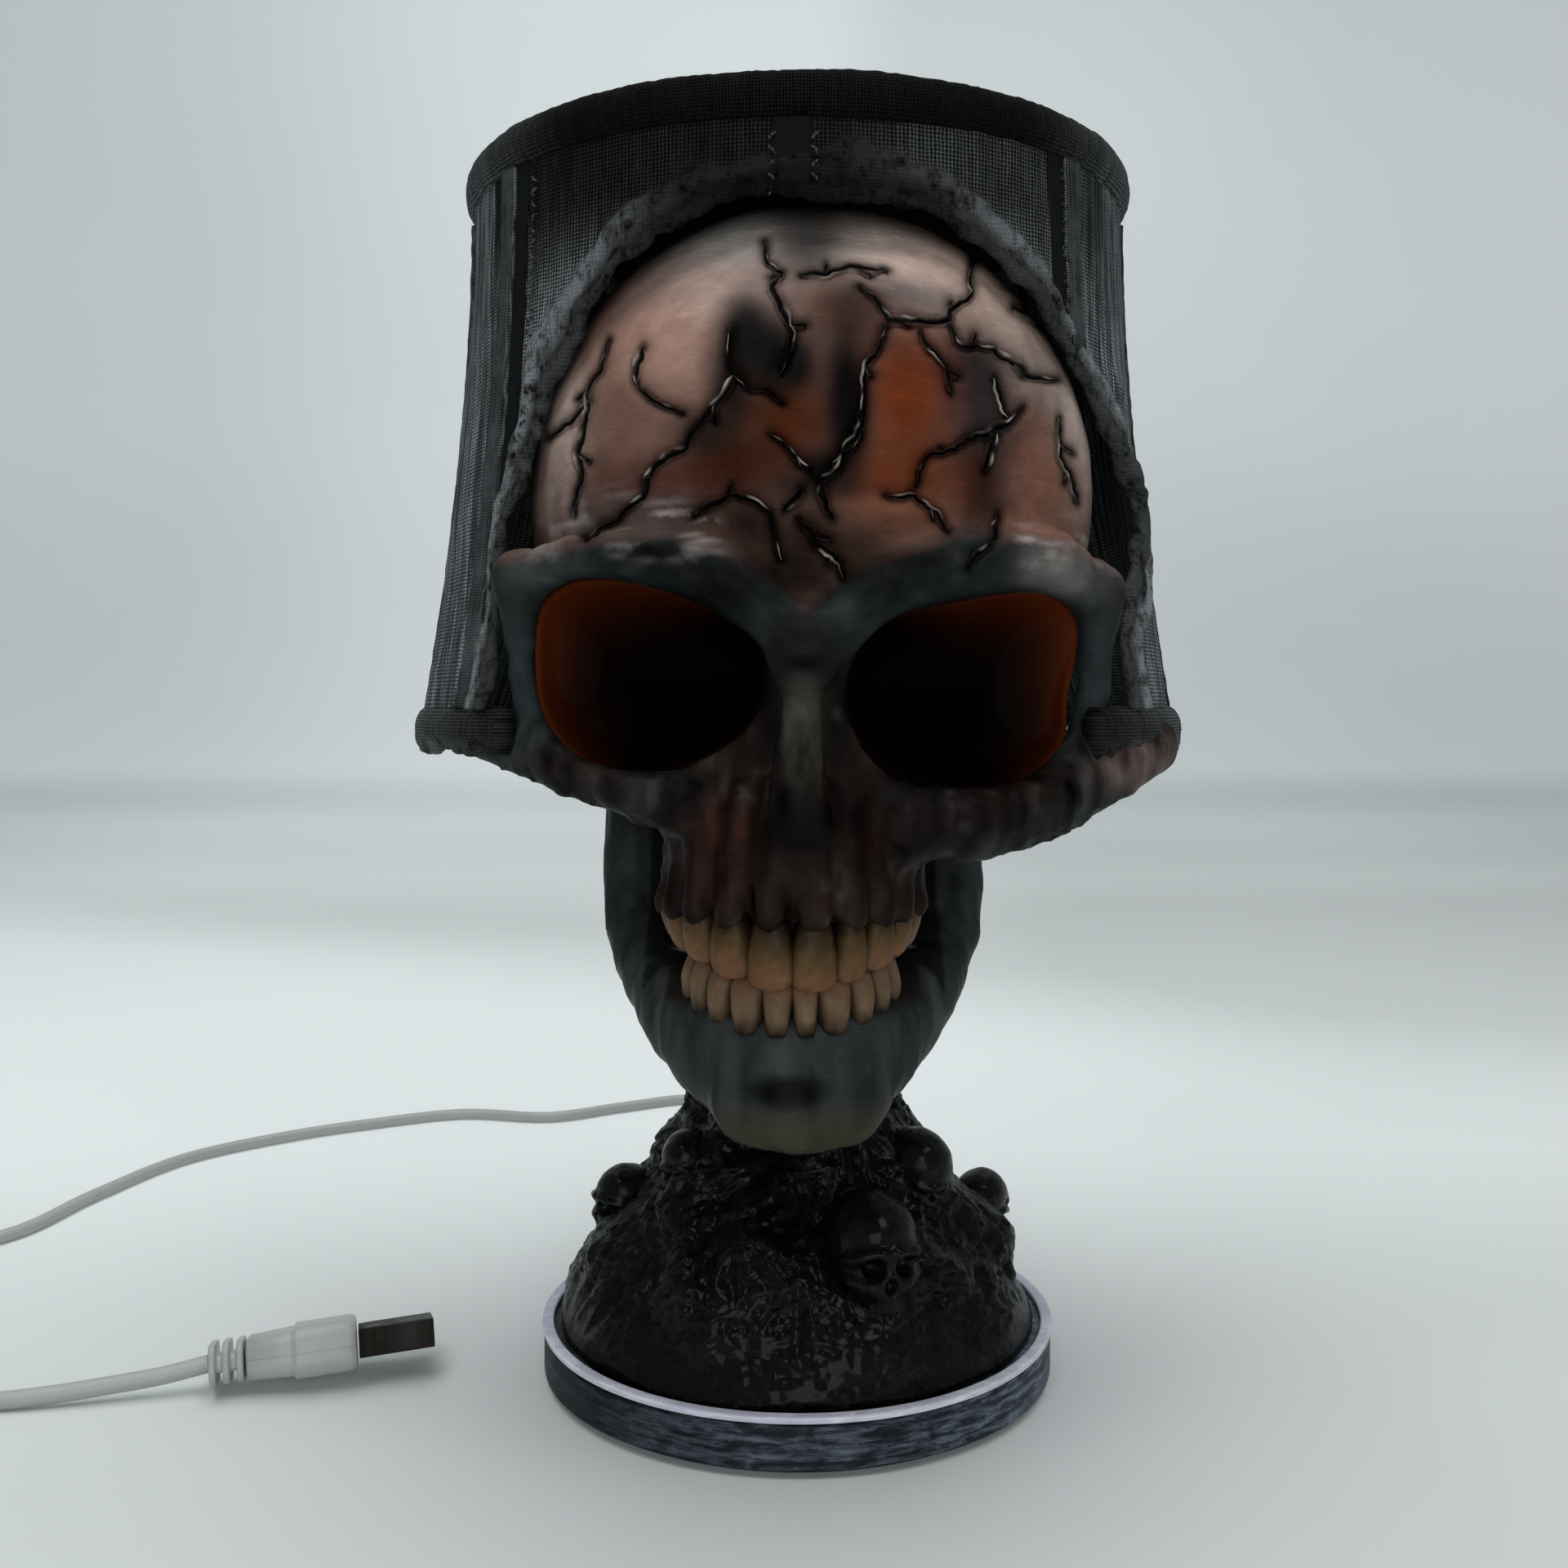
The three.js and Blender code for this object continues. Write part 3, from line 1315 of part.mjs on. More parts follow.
function buildPlug(group) {
  const plug = new THREE.Group();
  plug.position.copy(plugStart);
  plug.rotation.set(-radians(plugRoll), -radians(plugRise), radians(plugYaw), "ZXY");
  group.add(plug);
  const ribLength = bootLength / (2 * bootRibCount - 1);
  const bootPieces = [rodAlongX(bootRadius, 0, bootLength, 0, leadSides)];
  for (let i = 0; i < bootRibCount; i++) {
    const ends = [2 * i * ribLength, (2 * i + 1) * ribLength];
    bootPieces.push(skinned(ends.map((x) => oblongRing(x, bootRibWidth, bootRibHeight))));
  }
  addPiece(plug, "plug_boot", joined(bootPieces), finishes.cord);
  const bodyX = bootLength + gap;
  const stepX = bodyX + plugStepLength;
  const body = skinned([
    oblongRing(bodyX, bootRibWidth, bootRibHeight),
    oblongRing(stepX, plugWidth - 2 * plugStepInset, plugHeight - 2 * plugStepInset),
    oblongRing(stepX + plugStepInset, plugWidth, plugHeight),
    oblongRing(bodyX + plugLength, plugWidth, plugHeight),
  ]);
  addPiece(plug, "plug_body", body, finishes.cord);
  const shellX = bodyX + plugLength + gap;
  const shellOuter = boxAt([shellX + shellLength / 2, 0, 0], [shellLength, shellWidth, shellHeight]);
  const shellRoom = boxAt(
    [shellX + shellLength / 2 + cutOverrun / 2, 0, 0],
    [shellLength + cutOverrun - shellWall * 2, shellWidth - 2 * shellWall, shellHeight - 2 * shellWall],
  );
  addPiece(plug, "plug_metal_shell", shellOuter.subtract(shellRoom), finishes.steel);
  const tongueStart = shellX + 2 * shellWall + gap;
  const tongueLength = shellLength - 4 * shellWall;
  const tongueTopZ = shellHeight / 2 - shellWall - gap;
  const tongue = boxAt(
    [tongueStart + tongueLength / 2, 0, tongueTopZ - tongueHeight / 2],
    [tongueLength, shellWidth - 2 * shellWall - 2 * gap, tongueHeight],
  );
  addPiece(plug, "plug_tongue", tongue, finishes.cover);
}

const lamp = new THREE.Group();
lamp.name = "skull_lamp";
const skullGrown = wrappedSkull(gap);
buildBase(lamp);
buildRock(lamp);
buildTube(lamp);
buildCarrier(lamp);
buildLight(lamp);
buildSkull(lamp, wrappedSkull(0));
buildJaw(lamp, skullGrown);
buildShade(lamp, skullGrown);
buildSwitch(lamp);
buildDriver(lamp);
buildCord(lamp);
buildPlug(lamp);

export default lamp;
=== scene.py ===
"""Skull lamp: a cracked resin skull bursts through a torn cloth shade above a rock pedestal."""
import logging
import math
from collections.abc import Callable, Iterable, Sequence
from dataclasses import dataclass, field
from enum import Enum

import bpy
import numpy as np
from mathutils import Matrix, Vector


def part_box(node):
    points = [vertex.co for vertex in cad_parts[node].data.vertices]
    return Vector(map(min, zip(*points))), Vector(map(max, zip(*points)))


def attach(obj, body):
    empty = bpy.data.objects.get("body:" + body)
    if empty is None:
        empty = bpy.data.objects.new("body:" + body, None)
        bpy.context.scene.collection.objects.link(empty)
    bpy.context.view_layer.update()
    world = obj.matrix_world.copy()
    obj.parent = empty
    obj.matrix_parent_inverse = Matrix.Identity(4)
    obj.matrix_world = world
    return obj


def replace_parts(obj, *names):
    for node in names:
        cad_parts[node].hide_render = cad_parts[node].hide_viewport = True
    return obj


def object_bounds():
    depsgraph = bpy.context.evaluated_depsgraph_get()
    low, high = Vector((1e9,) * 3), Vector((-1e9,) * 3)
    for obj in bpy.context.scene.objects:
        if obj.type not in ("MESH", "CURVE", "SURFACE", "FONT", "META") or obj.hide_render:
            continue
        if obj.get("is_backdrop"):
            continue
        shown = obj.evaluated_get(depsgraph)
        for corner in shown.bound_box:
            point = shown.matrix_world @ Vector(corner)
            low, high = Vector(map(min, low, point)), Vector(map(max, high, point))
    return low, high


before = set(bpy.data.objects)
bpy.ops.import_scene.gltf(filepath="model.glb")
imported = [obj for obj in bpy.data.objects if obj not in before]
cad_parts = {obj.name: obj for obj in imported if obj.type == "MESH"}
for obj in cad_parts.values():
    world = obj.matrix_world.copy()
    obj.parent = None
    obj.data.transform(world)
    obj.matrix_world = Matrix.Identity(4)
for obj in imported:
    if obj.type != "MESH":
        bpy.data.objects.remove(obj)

CAD_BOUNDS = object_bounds()
LOG = logging.getLogger("skull_lamp")
MM = 0.001  # sizes below are in millimetres, and meshes are written in metres
BODY = "lamp_body"
BUTTON_BODY = "push_button"
PICTURE_SIDE = 1920
FULL_TURN = 2 * math.pi

Place = tuple[float, float, float]
Pixel = tuple[float, float]
Colour = tuple[float, float, float]
Array = np.ndarray
Piece = bpy.types.Object
Socket = bpy.types.NodeSocket
Material = bpy.types.Material


class Coarseness(Enum):
    """How fine a sculpted form is cut, as the side of its cell in millimetres."""

    SKULL = 0.75
    JAW = 0.7
    SMALL_SKULL = 0.3


def linear(red: int, green: int, blue: int) -> Colour:
    """Give a screen colour of 0 to 255 as the linear colour that a shader takes."""
    shares = [value / 255 for value in (red, green, blue)]
    return tuple(s / 12.92 if s <= 0.04045 else ((s + 0.055) / 1.055) ** 2.4 for s in shares)


def cad_box(node: str) -> tuple[Array, Array]:
    """Give the lowest and highest corner of a CAD node in millimetres."""
    low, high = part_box(node)
    return np.array(low) / MM, np.array(high) / MM


def around(azimuth: Array | float, radius: Array | float, z: Array | float) -> Array:
    """Give points at azimuths in degrees (0 is the front, 90 is +X), radii and heights.

    Args:
        azimuth: degrees round the lamp's axis.
        radius: distance from the axis.
        z: height.

    Returns:
        An array whose last axis is x, y, z.
    """
    azimuth, radius, z = np.broadcast_arrays(azimuth, radius, z)
    angle = np.radians(azimuth)
    return np.stack([radius * np.sin(angle), -radius * np.cos(angle), z], axis=-1).astype(float)


def spin(axis: int, angle: float) -> Array:
    """Give the matrix that turns points about one axis: 0 is X, 1 is Y and 2 is Z."""
    after, last = (axis + 1) % 3, (axis + 2) % 3
    made = np.eye(3)
    made[after, after] = made[last, last] = math.cos(angle)
    made[after, last], made[last, after] = -math.sin(angle), math.sin(angle)
    return made


def unit(vectors: Array) -> Array:
    """Give vectors a length of one."""
    return vectors / (np.linalg.norm(vectors, axis=-1, keepdims=True) + 1e-9)


# Noise on points


def lattice(cells: Array, seed: int) -> Array:
    """Give each lattice point its own fixed value from -1 to 1."""
    whole = cells.astype(np.int64)
    mixed = (
        whole[..., 0] * 374761393 + whole[..., 1] * 668265263 + whole[..., 2] * 1274126177 + seed * 2246822519
    )
    mixed = (mixed ^ (mixed >> 13)) & 0xFFFFFFFF
    mixed = (mixed * 1103515245 + 12345) & 0xFFFFFFFF
    mixed = ((mixed ^ (mixed >> 15)) * 2654435761) & 0xFFFFFFFF
    return (mixed & 0xFFFFFF) / 0x7FFFFF - 1


def grain(points: Array, size: float | Sequence[float], seed: int = 0) -> Array:
    """Give smooth noise from -1 to 1 at points, with lumps of the given size.

    Args:
        points: an array whose last axis is x, y, z.
        size: lump size, one length or one for each axis.
        seed: picks one of many patterns.

    Returns:
        One value for each point.
    """
    scaled = points / np.asarray(size, dtype=float)
    base = np.floor(scaled)
    part = scaled - base
    part = part * part * (3 - 2 * part)
    total = np.zeros(points.shape[:-1])
    for corner in range(8):
        step = np.array([corner & 1, (corner >> 1) & 1, (corner >> 2) & 1])
        weight = np.prod(np.where(step, part, 1 - part), axis=-1)
        total += weight * lattice(base + step, seed)
    return total


def rough_grain(points: Array, size: float, octaves: int, seed: int = 0, ridged: bool = False) -> Array:
    """Add up finer and finer noise; ridged noise has sharp crests.

    Args:
        points: an array whose last axis is x, y, z.
        size: size of the largest lumps.
        octaves: how many layers.
        seed: picks one of many patterns.
        ridged: whether to fold the noise into crests.

    Returns:
        One value for each point, about -1 to 1.
    """
    total, weight, reach = 0.0, 1.0, 0.0
    for octave in range(octaves):
        layer = grain(points, size / 2**octave, seed + octave)
        total = total + weight * (1 - 2 * np.abs(layer) if ridged else layer)
        reach += weight
        weight *= 0.55
    return total / reach


def smooth_step(value: Array, low: float, high: float) -> Array:
    """Rise smoothly from 0 to 1 between two values."""
    share = np.clip((value - low) / (high - low), 0, 1)
    return share * share * (3 - 2 * share)


# Sculpting with distance fields


def rounded_mass(points: Array, centre: Place, sizes: Place) -> Array:
    """Give the signed distance to an ellipsoid."""
    scaled = (points - np.array(centre)) / np.array(sizes)
    near = np.linalg.norm(scaled, axis=-1) + 1e-9
    slope = np.linalg.norm(scaled / np.array(sizes), axis=-1) + 1e-9
    return near * (near - 1) / slope


def bone_chain(points: Array, beads: Sequence[tuple[float, float, float, float]]) -> Array:
    """Give the signed distance to a chain of beads (x, y, z, radius) joined by tapering bars."""
    found = np.full(points.shape[:-1], np.inf)
    for first, second in zip(beads[:-1], beads[1:]):
        start, end = np.array(first[:3]), np.array(second[:3])
        along = end - start
        share = np.clip(((points - start) @ along) / (along @ along), 0, 1)
        radius = first[3] + share * (second[3] - first[3])
        distance = np.linalg.norm(points - start - share[..., None] * along, axis=-1) - radius
        found = np.minimum(found, distance)
    return found


def joined(first: Array, second: Array, reach: float) -> Array:
    """Join two fields with a fillet of about the given reach."""
    bend = np.maximum(reach - np.abs(first - second), 0) / reach
    return np.minimum(first, second) - bend * bend * reach / 4


def carved(solid: Array, cutter: Array, reach: float) -> Array:
    """Cut one field out of another, with rounded edges of about the given reach."""
    return -joined(-solid, cutter, reach)


def outline_distance(x: Array, z: Array, outline: Array) -> Array:
    """Give the signed distance in a plane to a closed outline: below zero is inside."""
    least = np.full(x.shape, np.inf)
    inside = np.zeros(x.shape, dtype=bool)
    for (ax, az), (bx, bz) in zip(outline, np.roll(outline, -1, axis=0)):
        ex, ez = bx - ax, bz - az
        share = np.clip(((x - ax) * ex + (z - az) * ez) / (ex * ex + ez * ez), 0, 1)
        least = np.minimum(least, np.hypot(x - ax - share * ex, z - az - share * ez))
        crosses = (az > z) != (bz > z)
        inside ^= crosses & (x < ex * (z - az) / (ez if ez else 1e-9) + ax)
    return np.where(inside, -least, least)


def sculpt(field_at: Callable[[Array], Array], low: Place, high: Place, cell: float) -> tuple[Array, Array]:
    """Turn a distance field into a closed mesh of quads.

    Args:
        field_at: gives the field at points.
        low: lowest corner of the space to look in.
        high: highest corner.
        cell: side of one cell.

    Returns:
        Points and quads.
    """
    axes = [np.arange(a, b + cell, cell) for a, b in zip(low, high)]
    counts = [len(axis) for axis in axes]
    values = np.empty(counts, dtype=np.float32)
    plane_y, plane_z = np.meshgrid(axes[1], axes[2], indexing="ij")
    for i, x in enumerate(axes[0]):
        plane = np.stack([np.full_like(plane_y, x), plane_y, plane_z], axis=-1)
        values[i] = field_at(plane)
    values[values == 0] = 1e-6
    cells = [n - 1 for n in counts]
    sums = np.zeros([*cells, 3], dtype=np.float32)
    hits = np.zeros(cells, dtype=np.int16)
    crossings = []
    for axis in range(3):
        first = values.take(range(counts[axis] - 1), axis)
        second = values.take(range(1, counts[axis]), axis)
        crossed = (first < 0) != (second < 0)
        share = np.where(crossed, first / np.where(crossed, first - second, 1), 0)
        crossings.append((crossed, first < 0))
        others = [a for a in range(3) if a != axis]
        for shift in ((0, 0), (0, 1), (1, 0), (1, 1)):
            window = [slice(None)] * 3
            offset = [0, 0, 0]
            for other, step in zip(others, shift):
                window[other] = slice(step, cells[other] + step)
                offset[other] = step
            seen = crossed[tuple(window)]
            hits += seen
            for other, step in zip(others, shift):
                sums[..., other] += seen * np.float32(step)
            sums[..., axis] += share[tuple(window)] * seen
    used = hits > 0
    index = np.full(cells, -1, dtype=np.int64)
    index[used] = np.arange(used.sum())
    where = np.argwhere(used)
    spots = where + sums[used] / hits[used][:, None]
    points = np.array(low) + spots * cell
    quads = []
    for axis, (crossed, starts_inside) in enumerate(crossings):
        a, b = (axis + 1) % 3, (axis + 2) % 3
        at = np.argwhere(crossed)
        at = at[(at[:, a] > 0) & (at[:, b] > 0) & (at[:, a] < counts[a] - 1) & (at[:, b] < counts[b] - 1)]
        corners = []
        for step_a, step_b in ((1, 1), (0, 1), (0, 0), (1, 0)):
            spot = at.copy()
            spot[:, a] -= step_a
            spot[:, b] -= step_b
            corners.append(index[tuple(spot.T)])
        quad = np.stack(corners, axis=1)
        flip = ~starts_inside[tuple(at.T)]
        quad[flip] = quad[flip][:, ::-1]
        quads.append(quad)
    return points, np.concatenate(quads)


# Mesh helpers


def grid_faces(rows: int, columns: int, close_rows: bool = False, close_columns: bool = False) -> Array:
    """Give the quads of a grid of points laid row by row."""
    row = np.arange(rows if close_rows else rows - 1)
    column = np.arange(columns if close_columns else columns - 1)
    low, left = np.meshgrid(row, column, indexing="ij")
    high, right = (low + 1) % rows, (left + 1) % columns
    return np.stack(
        [low * columns + left, low * columns + right, high * columns + right, high * columns + left], axis=-1
    ).reshape(-1, 4)


@dataclass
class Shell:
    """Points and faces of one piece while it is being made, in millimetres."""

    points: list[Array] = field(default_factory=list)
    faces: list[list[int]] = field(default_factory=list)
    paints: list[Array] = field(default_factory=list)
    count: int = 0

    def add(self, points: Array, faces: Iterable[Sequence[int]], paint: Array | None = None) -> None:
        """Add points and faces, and a colour for each point if the piece is painted."""
        points = np.asarray(points, dtype=float).reshape(-1, 3)
        self.points.append(points)
        self.faces.extend([[int(i) + self.count for i in face] for face in faces])
        if paint is not None:
            self.paints.append(np.broadcast_to(paint, points.shape))
        self.count += len(points)

    def add_rings(self, rings: Array, paint: Array | None = None) -> None:
        """Add a skin over rings of points, capped at both ends."""
        rows, columns = rings.shape[:2]
        faces = [list(face) for face in grid_faces(rows, columns, close_columns=True)]
        faces.append(list(range(columns))[::-1])
        faces.append([(rows - 1) * columns + i for i in range(columns)])
        self.add(rings, faces, None if paint is None else paint.reshape(-1, 3))

    def build(self, name: str, finish: "Finish", smooth: bool = True) -> Piece:
        """Make the Blender object, dress it and let it ride on the lamp."""
        points = np.concatenate(self.points)
        made = mesh_object(name, points, self.faces, finish, smooth=smooth)
        if self.paints:
            paint_points(made, np.concatenate(self.paints))
        return made


def mesh_object(
    name: str, points: Array, faces: Iterable[Sequence[int]], finish: "Finish", smooth: bool = True,
    body: str = BODY
) -> Piece:
    """Make one mesh object of a finish that rides on a body.

    Args:
        name: the piece's name.
        points: its points in millimetres.
        faces: its faces.
        finish: what it is dressed in.
        smooth: whether its faces shade smoothly.
        body: the body that it rides on.

    Returns:
        The new object.
    """
    mesh = bpy.data.meshes.new(name)
    mesh.from_pydata(
        (np.asarray(points).reshape(-1, 3) * MM).tolist(), [], [list(map(int, face)) for face in faces]
    )
    mesh.validate()
    mesh.polygons.foreach_set("use_smooth", [smooth] * len(mesh.polygons))
    mesh.materials.append(finish.material())
    made = bpy.data.objects.new(name, mesh)
    bpy.context.collection.objects.link(made)
    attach(made, body)
    LOG.info("%s: %d points, %d faces", name, len(mesh.vertices), len(mesh.polygons))
    return made


def dress_kept(node: str, finish: "Finish") -> None:
    """Give a CAD piece that stays as it is a material."""
    piece = bpy.data.objects[node]
    piece.data.materials.clear()
    piece.data.materials.append(finish.material())


def paint_points(target: Piece, colours: Array) -> None:
    """Store a colour for each point of a mesh."""
    layer = target.data.color_attributes.new(name="paint", type="FLOAT_COLOR", domain="POINT")
    rgba = np.ones((len(target.data.vertices), 4), dtype=np.float32)
    rgba[:, :3] = colours
    layer.data.foreach_set("color", rgba.ravel())


def lay_cloth(target: Piece, across: Array, up: Array) -> None:
    """Store for each point how far it lies across and up the cloth, in millimetres."""
    layer = target.data.uv_layers.new(name="cloth")
    loops = np.empty(len(target.data.loops), dtype=np.int32)
    target.data.loops.foreach_get("vertex_index", loops)
    layer.data.foreach_set("uv", np.stack([across[loops], up[loops]], axis=1).astype(np.float32).ravel())


def apply_modifiers(target: Piece) -> None:
    """Replace a piece's mesh by what its modifiers make of it."""
    graph = bpy.context.evaluated_depsgraph_get()
    made = bpy.data.meshes.new_from_object(target.evaluated_get(graph))
    target.modifiers.clear()
    old = target.data
    target.data = made
    bpy.data.meshes.remove(old)


def turned(name: str, profile: Sequence[Pixel], finish: "Finish", sides: int = 96, body: str = BODY) -> Piece:
    """Make a turned piece from a closed profile of radius and height, in millimetres.

    Args:
        name: the piece's name.
        profile: pairs of radius and height that close on themselves.
        finish: what it is dressed in.
        sides: how many steps round.
        body: the body that it rides on.

    Returns:
        The new object.
    """
    shape = np.array(profile, dtype=float)
    azimuths = np.arange(sides) * 360 / sides
    rings = around(azimuths[:, None], shape[None, :, 0], shape[None, :, 1])
    faces = grid_faces(sides, len(shape), close_rows=True, close_columns=True)
    made = mesh_object(name, rings, faces, finish, body=body)
    merge_close(made)
    return made


def merge_close(target: Piece, distance: float = 0.001) -> None:
    """Merge points that lie on each other, as on a turned piece's axis."""
    weld = target.modifiers.new("weld", "WELD")
    weld.merge_threshold = distance * MM
    apply_modifiers(target)


def round_profile(points: Sequence[Pixel], radius: float, steps: int = 4) -> list[Pixel]:
    """Round the corners of a closed profile with arcs of about the given radius."""
    corners = np.array(points, dtype=float)
    rounded = []
    for before, corner, after in zip(np.roll(corners, 1, 0), corners, np.roll(corners, -1, 0)):
        reach_in, reach_out = np.linalg.norm(before - corner), np.linalg.norm(after - corner)
        cut = min(radius, reach_in / 2.2, reach_out / 2.2)
        if corner[0] < 1e-6 or cut < 1e-6:
            rounded.append(tuple(corner))
            continue
        start = corner + (before - corner) / reach_in * cut
        end = corner + (after - corner) / reach_out * cut
        for k in range(steps + 1):
            t = k / steps
            rounded.append(tuple((1 - t) ** 2 * start + 2 * t * (1 - t) * corner + t**2 * end))
    return rounded


def smooth_line(points: Sequence[Sequence[float]], steps: int, closed: bool = False) -> Array:
    """Run a smooth curve through points, with a number of steps for each stretch."""
    knots = np.array(points, dtype=float)
    if closed:
        knots = np.concatenate([knots[-1:], knots, knots[:2]])
    else:
        knots = np.concatenate([2 * knots[:1] - knots[1:2], knots, 2 * knots[-1:] - knots[-2:-1]])
    made = []
    for p0, p1, p2, p3 in zip(knots, knots[1:], knots[2:], knots[3:]):
        spans = [max(np.linalg.norm(b - a) ** 0.5, 1e-4) for a, b in ((p0, p1), (p1, p2), (p2, p3))]
        before, here, after = spans
        m1 = (p1 - p0) / before - (p2 - p0) / (before + here) + (p2 - p1) / here
        m2 = (p2 - p1) / here - (p3 - p1) / (here + after) + (p3 - p2) / after
        m1, m2 = m1 * here, m2 * here
        for k in range(steps):
            t = k / steps
            made.append(
                (2 * t**3 - 3 * t**2 + 1) * p1 + (t**3 - 2 * t**2 + t) * m1
                + (-2 * t**3 + 3 * t**2) * p2 + (t**3 - t**2) * m2
            )
    if not closed:
        made.append(knots[-2])
    return np.array(made)


def evenly(line: Array, spacing: float) -> Array:
    """Space points evenly along a line."""
    steps = np.linalg.norm(np.diff(line, axis=0), axis=1)
    along = np.concatenate([[0], np.cumsum(steps)])
    count = max(2, round(along[-1] / spacing) + 1)
    wanted = np.linspace(0, along[-1], count)
    return np.stack([np.interp(wanted, along, line[:, k]) for k in range(line.shape[1])], axis=1)


def frames_along(line: Array, up: Place = (0, 0, 1)) -> tuple[Array, Array]:
    """Give a sideways and an upward direction square to a line at each of its points."""
    tangent = unit(np.gradient(line, axis=0))
    side = unit(np.cross(tangent, np.array(up, dtype=float)))
    return side, np.cross(side, tangent)


def swept_rings(line: Array, radii: Array | float, sides: int = 12, up: Place = (0, 0, 1)) -> Array:
    """Give round rings along a line, of one radius or a radius for each point."""
    side, over = frames_along(line, up)
    angle = np.arange(sides) * FULL_TURN / sides
    spread = np.broadcast_to(radii, len(line))[:, None, None]
    return line[:, None] + spread * (
        np.cos(angle)[None, :, None] * side[:, None] + np.sin(angle)[None, :, None] * over[:, None]
    )


# Node materials


class Board:
    """A node material under construction, with short calls for the nodes that the finishes use."""

    def __init__(self, name: str) -> None:
        """Start an empty node material with one shader."""
        self.made = bpy.data.materials.new(name)
        self.made.use_nodes = True
        self.tree = self.made.node_tree
        self.tree.nodes.clear()
        self.shader = self.node("ShaderNodeBsdfPrincipled")
        output = self.node("ShaderNodeOutputMaterial")
        self.link(self.shader.outputs["BSDF"], output.inputs["Surface"])

    def node(self, kind: str, **settings: object) -> bpy.types.Node:
        """Add a node and set its properties."""
        made = self.tree.nodes.new(kind)
        for key, value in settings.items():
            setattr(made, key, value)
        return made

    def fed(self, kind: str, vector: Socket, inputs: dict[str, object], **settings: object) -> bpy.types.Node:
        """Add a node that takes a coordinate, and set its inputs."""
        made = self.node(kind, **settings)
        self.link(vector, made.inputs["Vector"])
        for name, value in inputs.items():
            made.inputs[name].default_value = value
        return made

    def link(self, source: Socket, target: Socket) -> None:
        """Join an output to an input."""
        self.tree.links.new(source, target)

    def feed(self, socket: Socket, value: object) -> None:
        """Set an input to a value, or link it to an output."""
        if isinstance(value, Socket):
            self.link(value, socket)
        elif isinstance(value, tuple) and len(value) == 3 and socket.type == "RGBA":
            socket.default_value = (*value, 1)
        else:
            socket.default_value = value

    def place(self) -> Socket:
        """Give the point on the object, in metres."""
        return self.node("ShaderNodeTexCoord").outputs["Object"]

    def cloth(self) -> Socket:
        """Give the point on the cloth, in millimetres."""
        return self.node("ShaderNodeUVMap", uv_map="cloth").outputs["UV"]

    def painted_side_light(self, vector: Socket) -> Socket:
        """Give a grey that paints shade on the lamp's left and light on its right, darker on the left than on
        the right.
        """
        apart = self.node("ShaderNodeSeparateXYZ")
        self.link(vector, apart.inputs[0])
        grey = self.node("ShaderNodeCombineColor")
        level = self.sum(
            "ADD", self.between(apart.outputs[0], -0.036, -0.004, 0.25, 0.75),
            self.between(apart.outputs[0], 0.012, 0.034, 0, 0.75)
        )
        for socket in grey.inputs:
            self.link(level, socket)
        return grey.outputs[0]

    def paint(self) -> Socket:
        """Give the colour stored on the mesh."""
        return self.node("ShaderNodeVertexColor", layer_name="paint").outputs["Color"]

    def stretched(self, vector: Socket, scale: Place, turn: Place = (0, 0, 0)) -> Socket:
        """Scale and turn a coordinate."""
        return self.fed("ShaderNodeMapping", vector, {"Scale": scale, "Rotation": turn}).outputs["Vector"]

    def noise(
        self, vector: Socket, scale: float, detail: float = 4, roughness: float = 0.6, distortion: float = 0
    ) -> Socket:
        """Give cloudy noise from 0 to 1."""
        inputs = {"Scale": scale, "Detail": detail, "Roughness": roughness, "Distortion": distortion}
        return self.fed("ShaderNodeTexNoise", vector, inputs).outputs["Fac"]

    def cells(self, vector: Socket, scale: float) -> Socket:
        """Give the distance to cell centres."""
        return self.fed("ShaderNodeTexVoronoi", vector, {"Scale": scale}, feature="F1").outputs["Distance"]

    def wave(
        self, vector: Socket, scale: float, direction: str, distortion: float = 0, detail: float = 0
    ) -> Socket:
        """Give stripes from 0 to 1 along an axis."""
        inputs = {"Scale": scale, "Distortion": distortion, "Detail": detail, "Detail Scale": 1.5}
        stripes = {"wave_type": "BANDS", "bands_direction": direction, "wave_profile": "SIN"}
        return self.fed("ShaderNodeTexWave", vector, inputs, **stripes).outputs["Fac"]

    def sum(self, operation: str, first: object, second: object = 0.0) -> Socket:
        """Work out a number from one or two others."""
        made = self.node("ShaderNodeMath", operation=operation)
        self.feed(made.inputs[0], first)
        self.feed(made.inputs[1], second)
        return made.outputs[0]

    def between(
        self, value: Socket, low: float, high: float, to_low: float = 0, to_high: float = 1
    ) -> Socket:
        """Map a range of a value smoothly onto another, clamped."""
        made = self.node("ShaderNodeMapRange", interpolation_type="SMOOTHSTEP")
        self.link(value, made.inputs["Value"])
        for name, number in (("From Min", low), ("From Max", high), ("To Min", to_low), ("To Max", to_high)):
            made.inputs[name].default_value = number
        return made.outputs["Result"]

    def mixed(self, share: object, first: object, second: object, blend: str = "MIX") -> Socket:
        """Mix two colours."""
        made = self.node("ShaderNodeMix", data_type="RGBA", blend_type=blend)
        self.feed(made.inputs["Factor"], share)
        self.feed(made.inputs[6], first)
        self.feed(made.inputs[7], second)
        return made.outputs[2]

    def raised(
        self, height: Socket, distance: float, strength: float = 1, under: Socket | None = None
    ) -> Socket:
        """Turn a height into a bumped normal; the distance is in millimetres."""
        made = self.node("ShaderNodeBump")
        made.inputs["Strength"].default_value = strength
        made.inputs["Distance"].default_value = distance * MM
        self.link(height, made.inputs["Height"])
        if under is not None:
            self.link(under, made.inputs["Normal"])
        return made.outputs["Normal"]

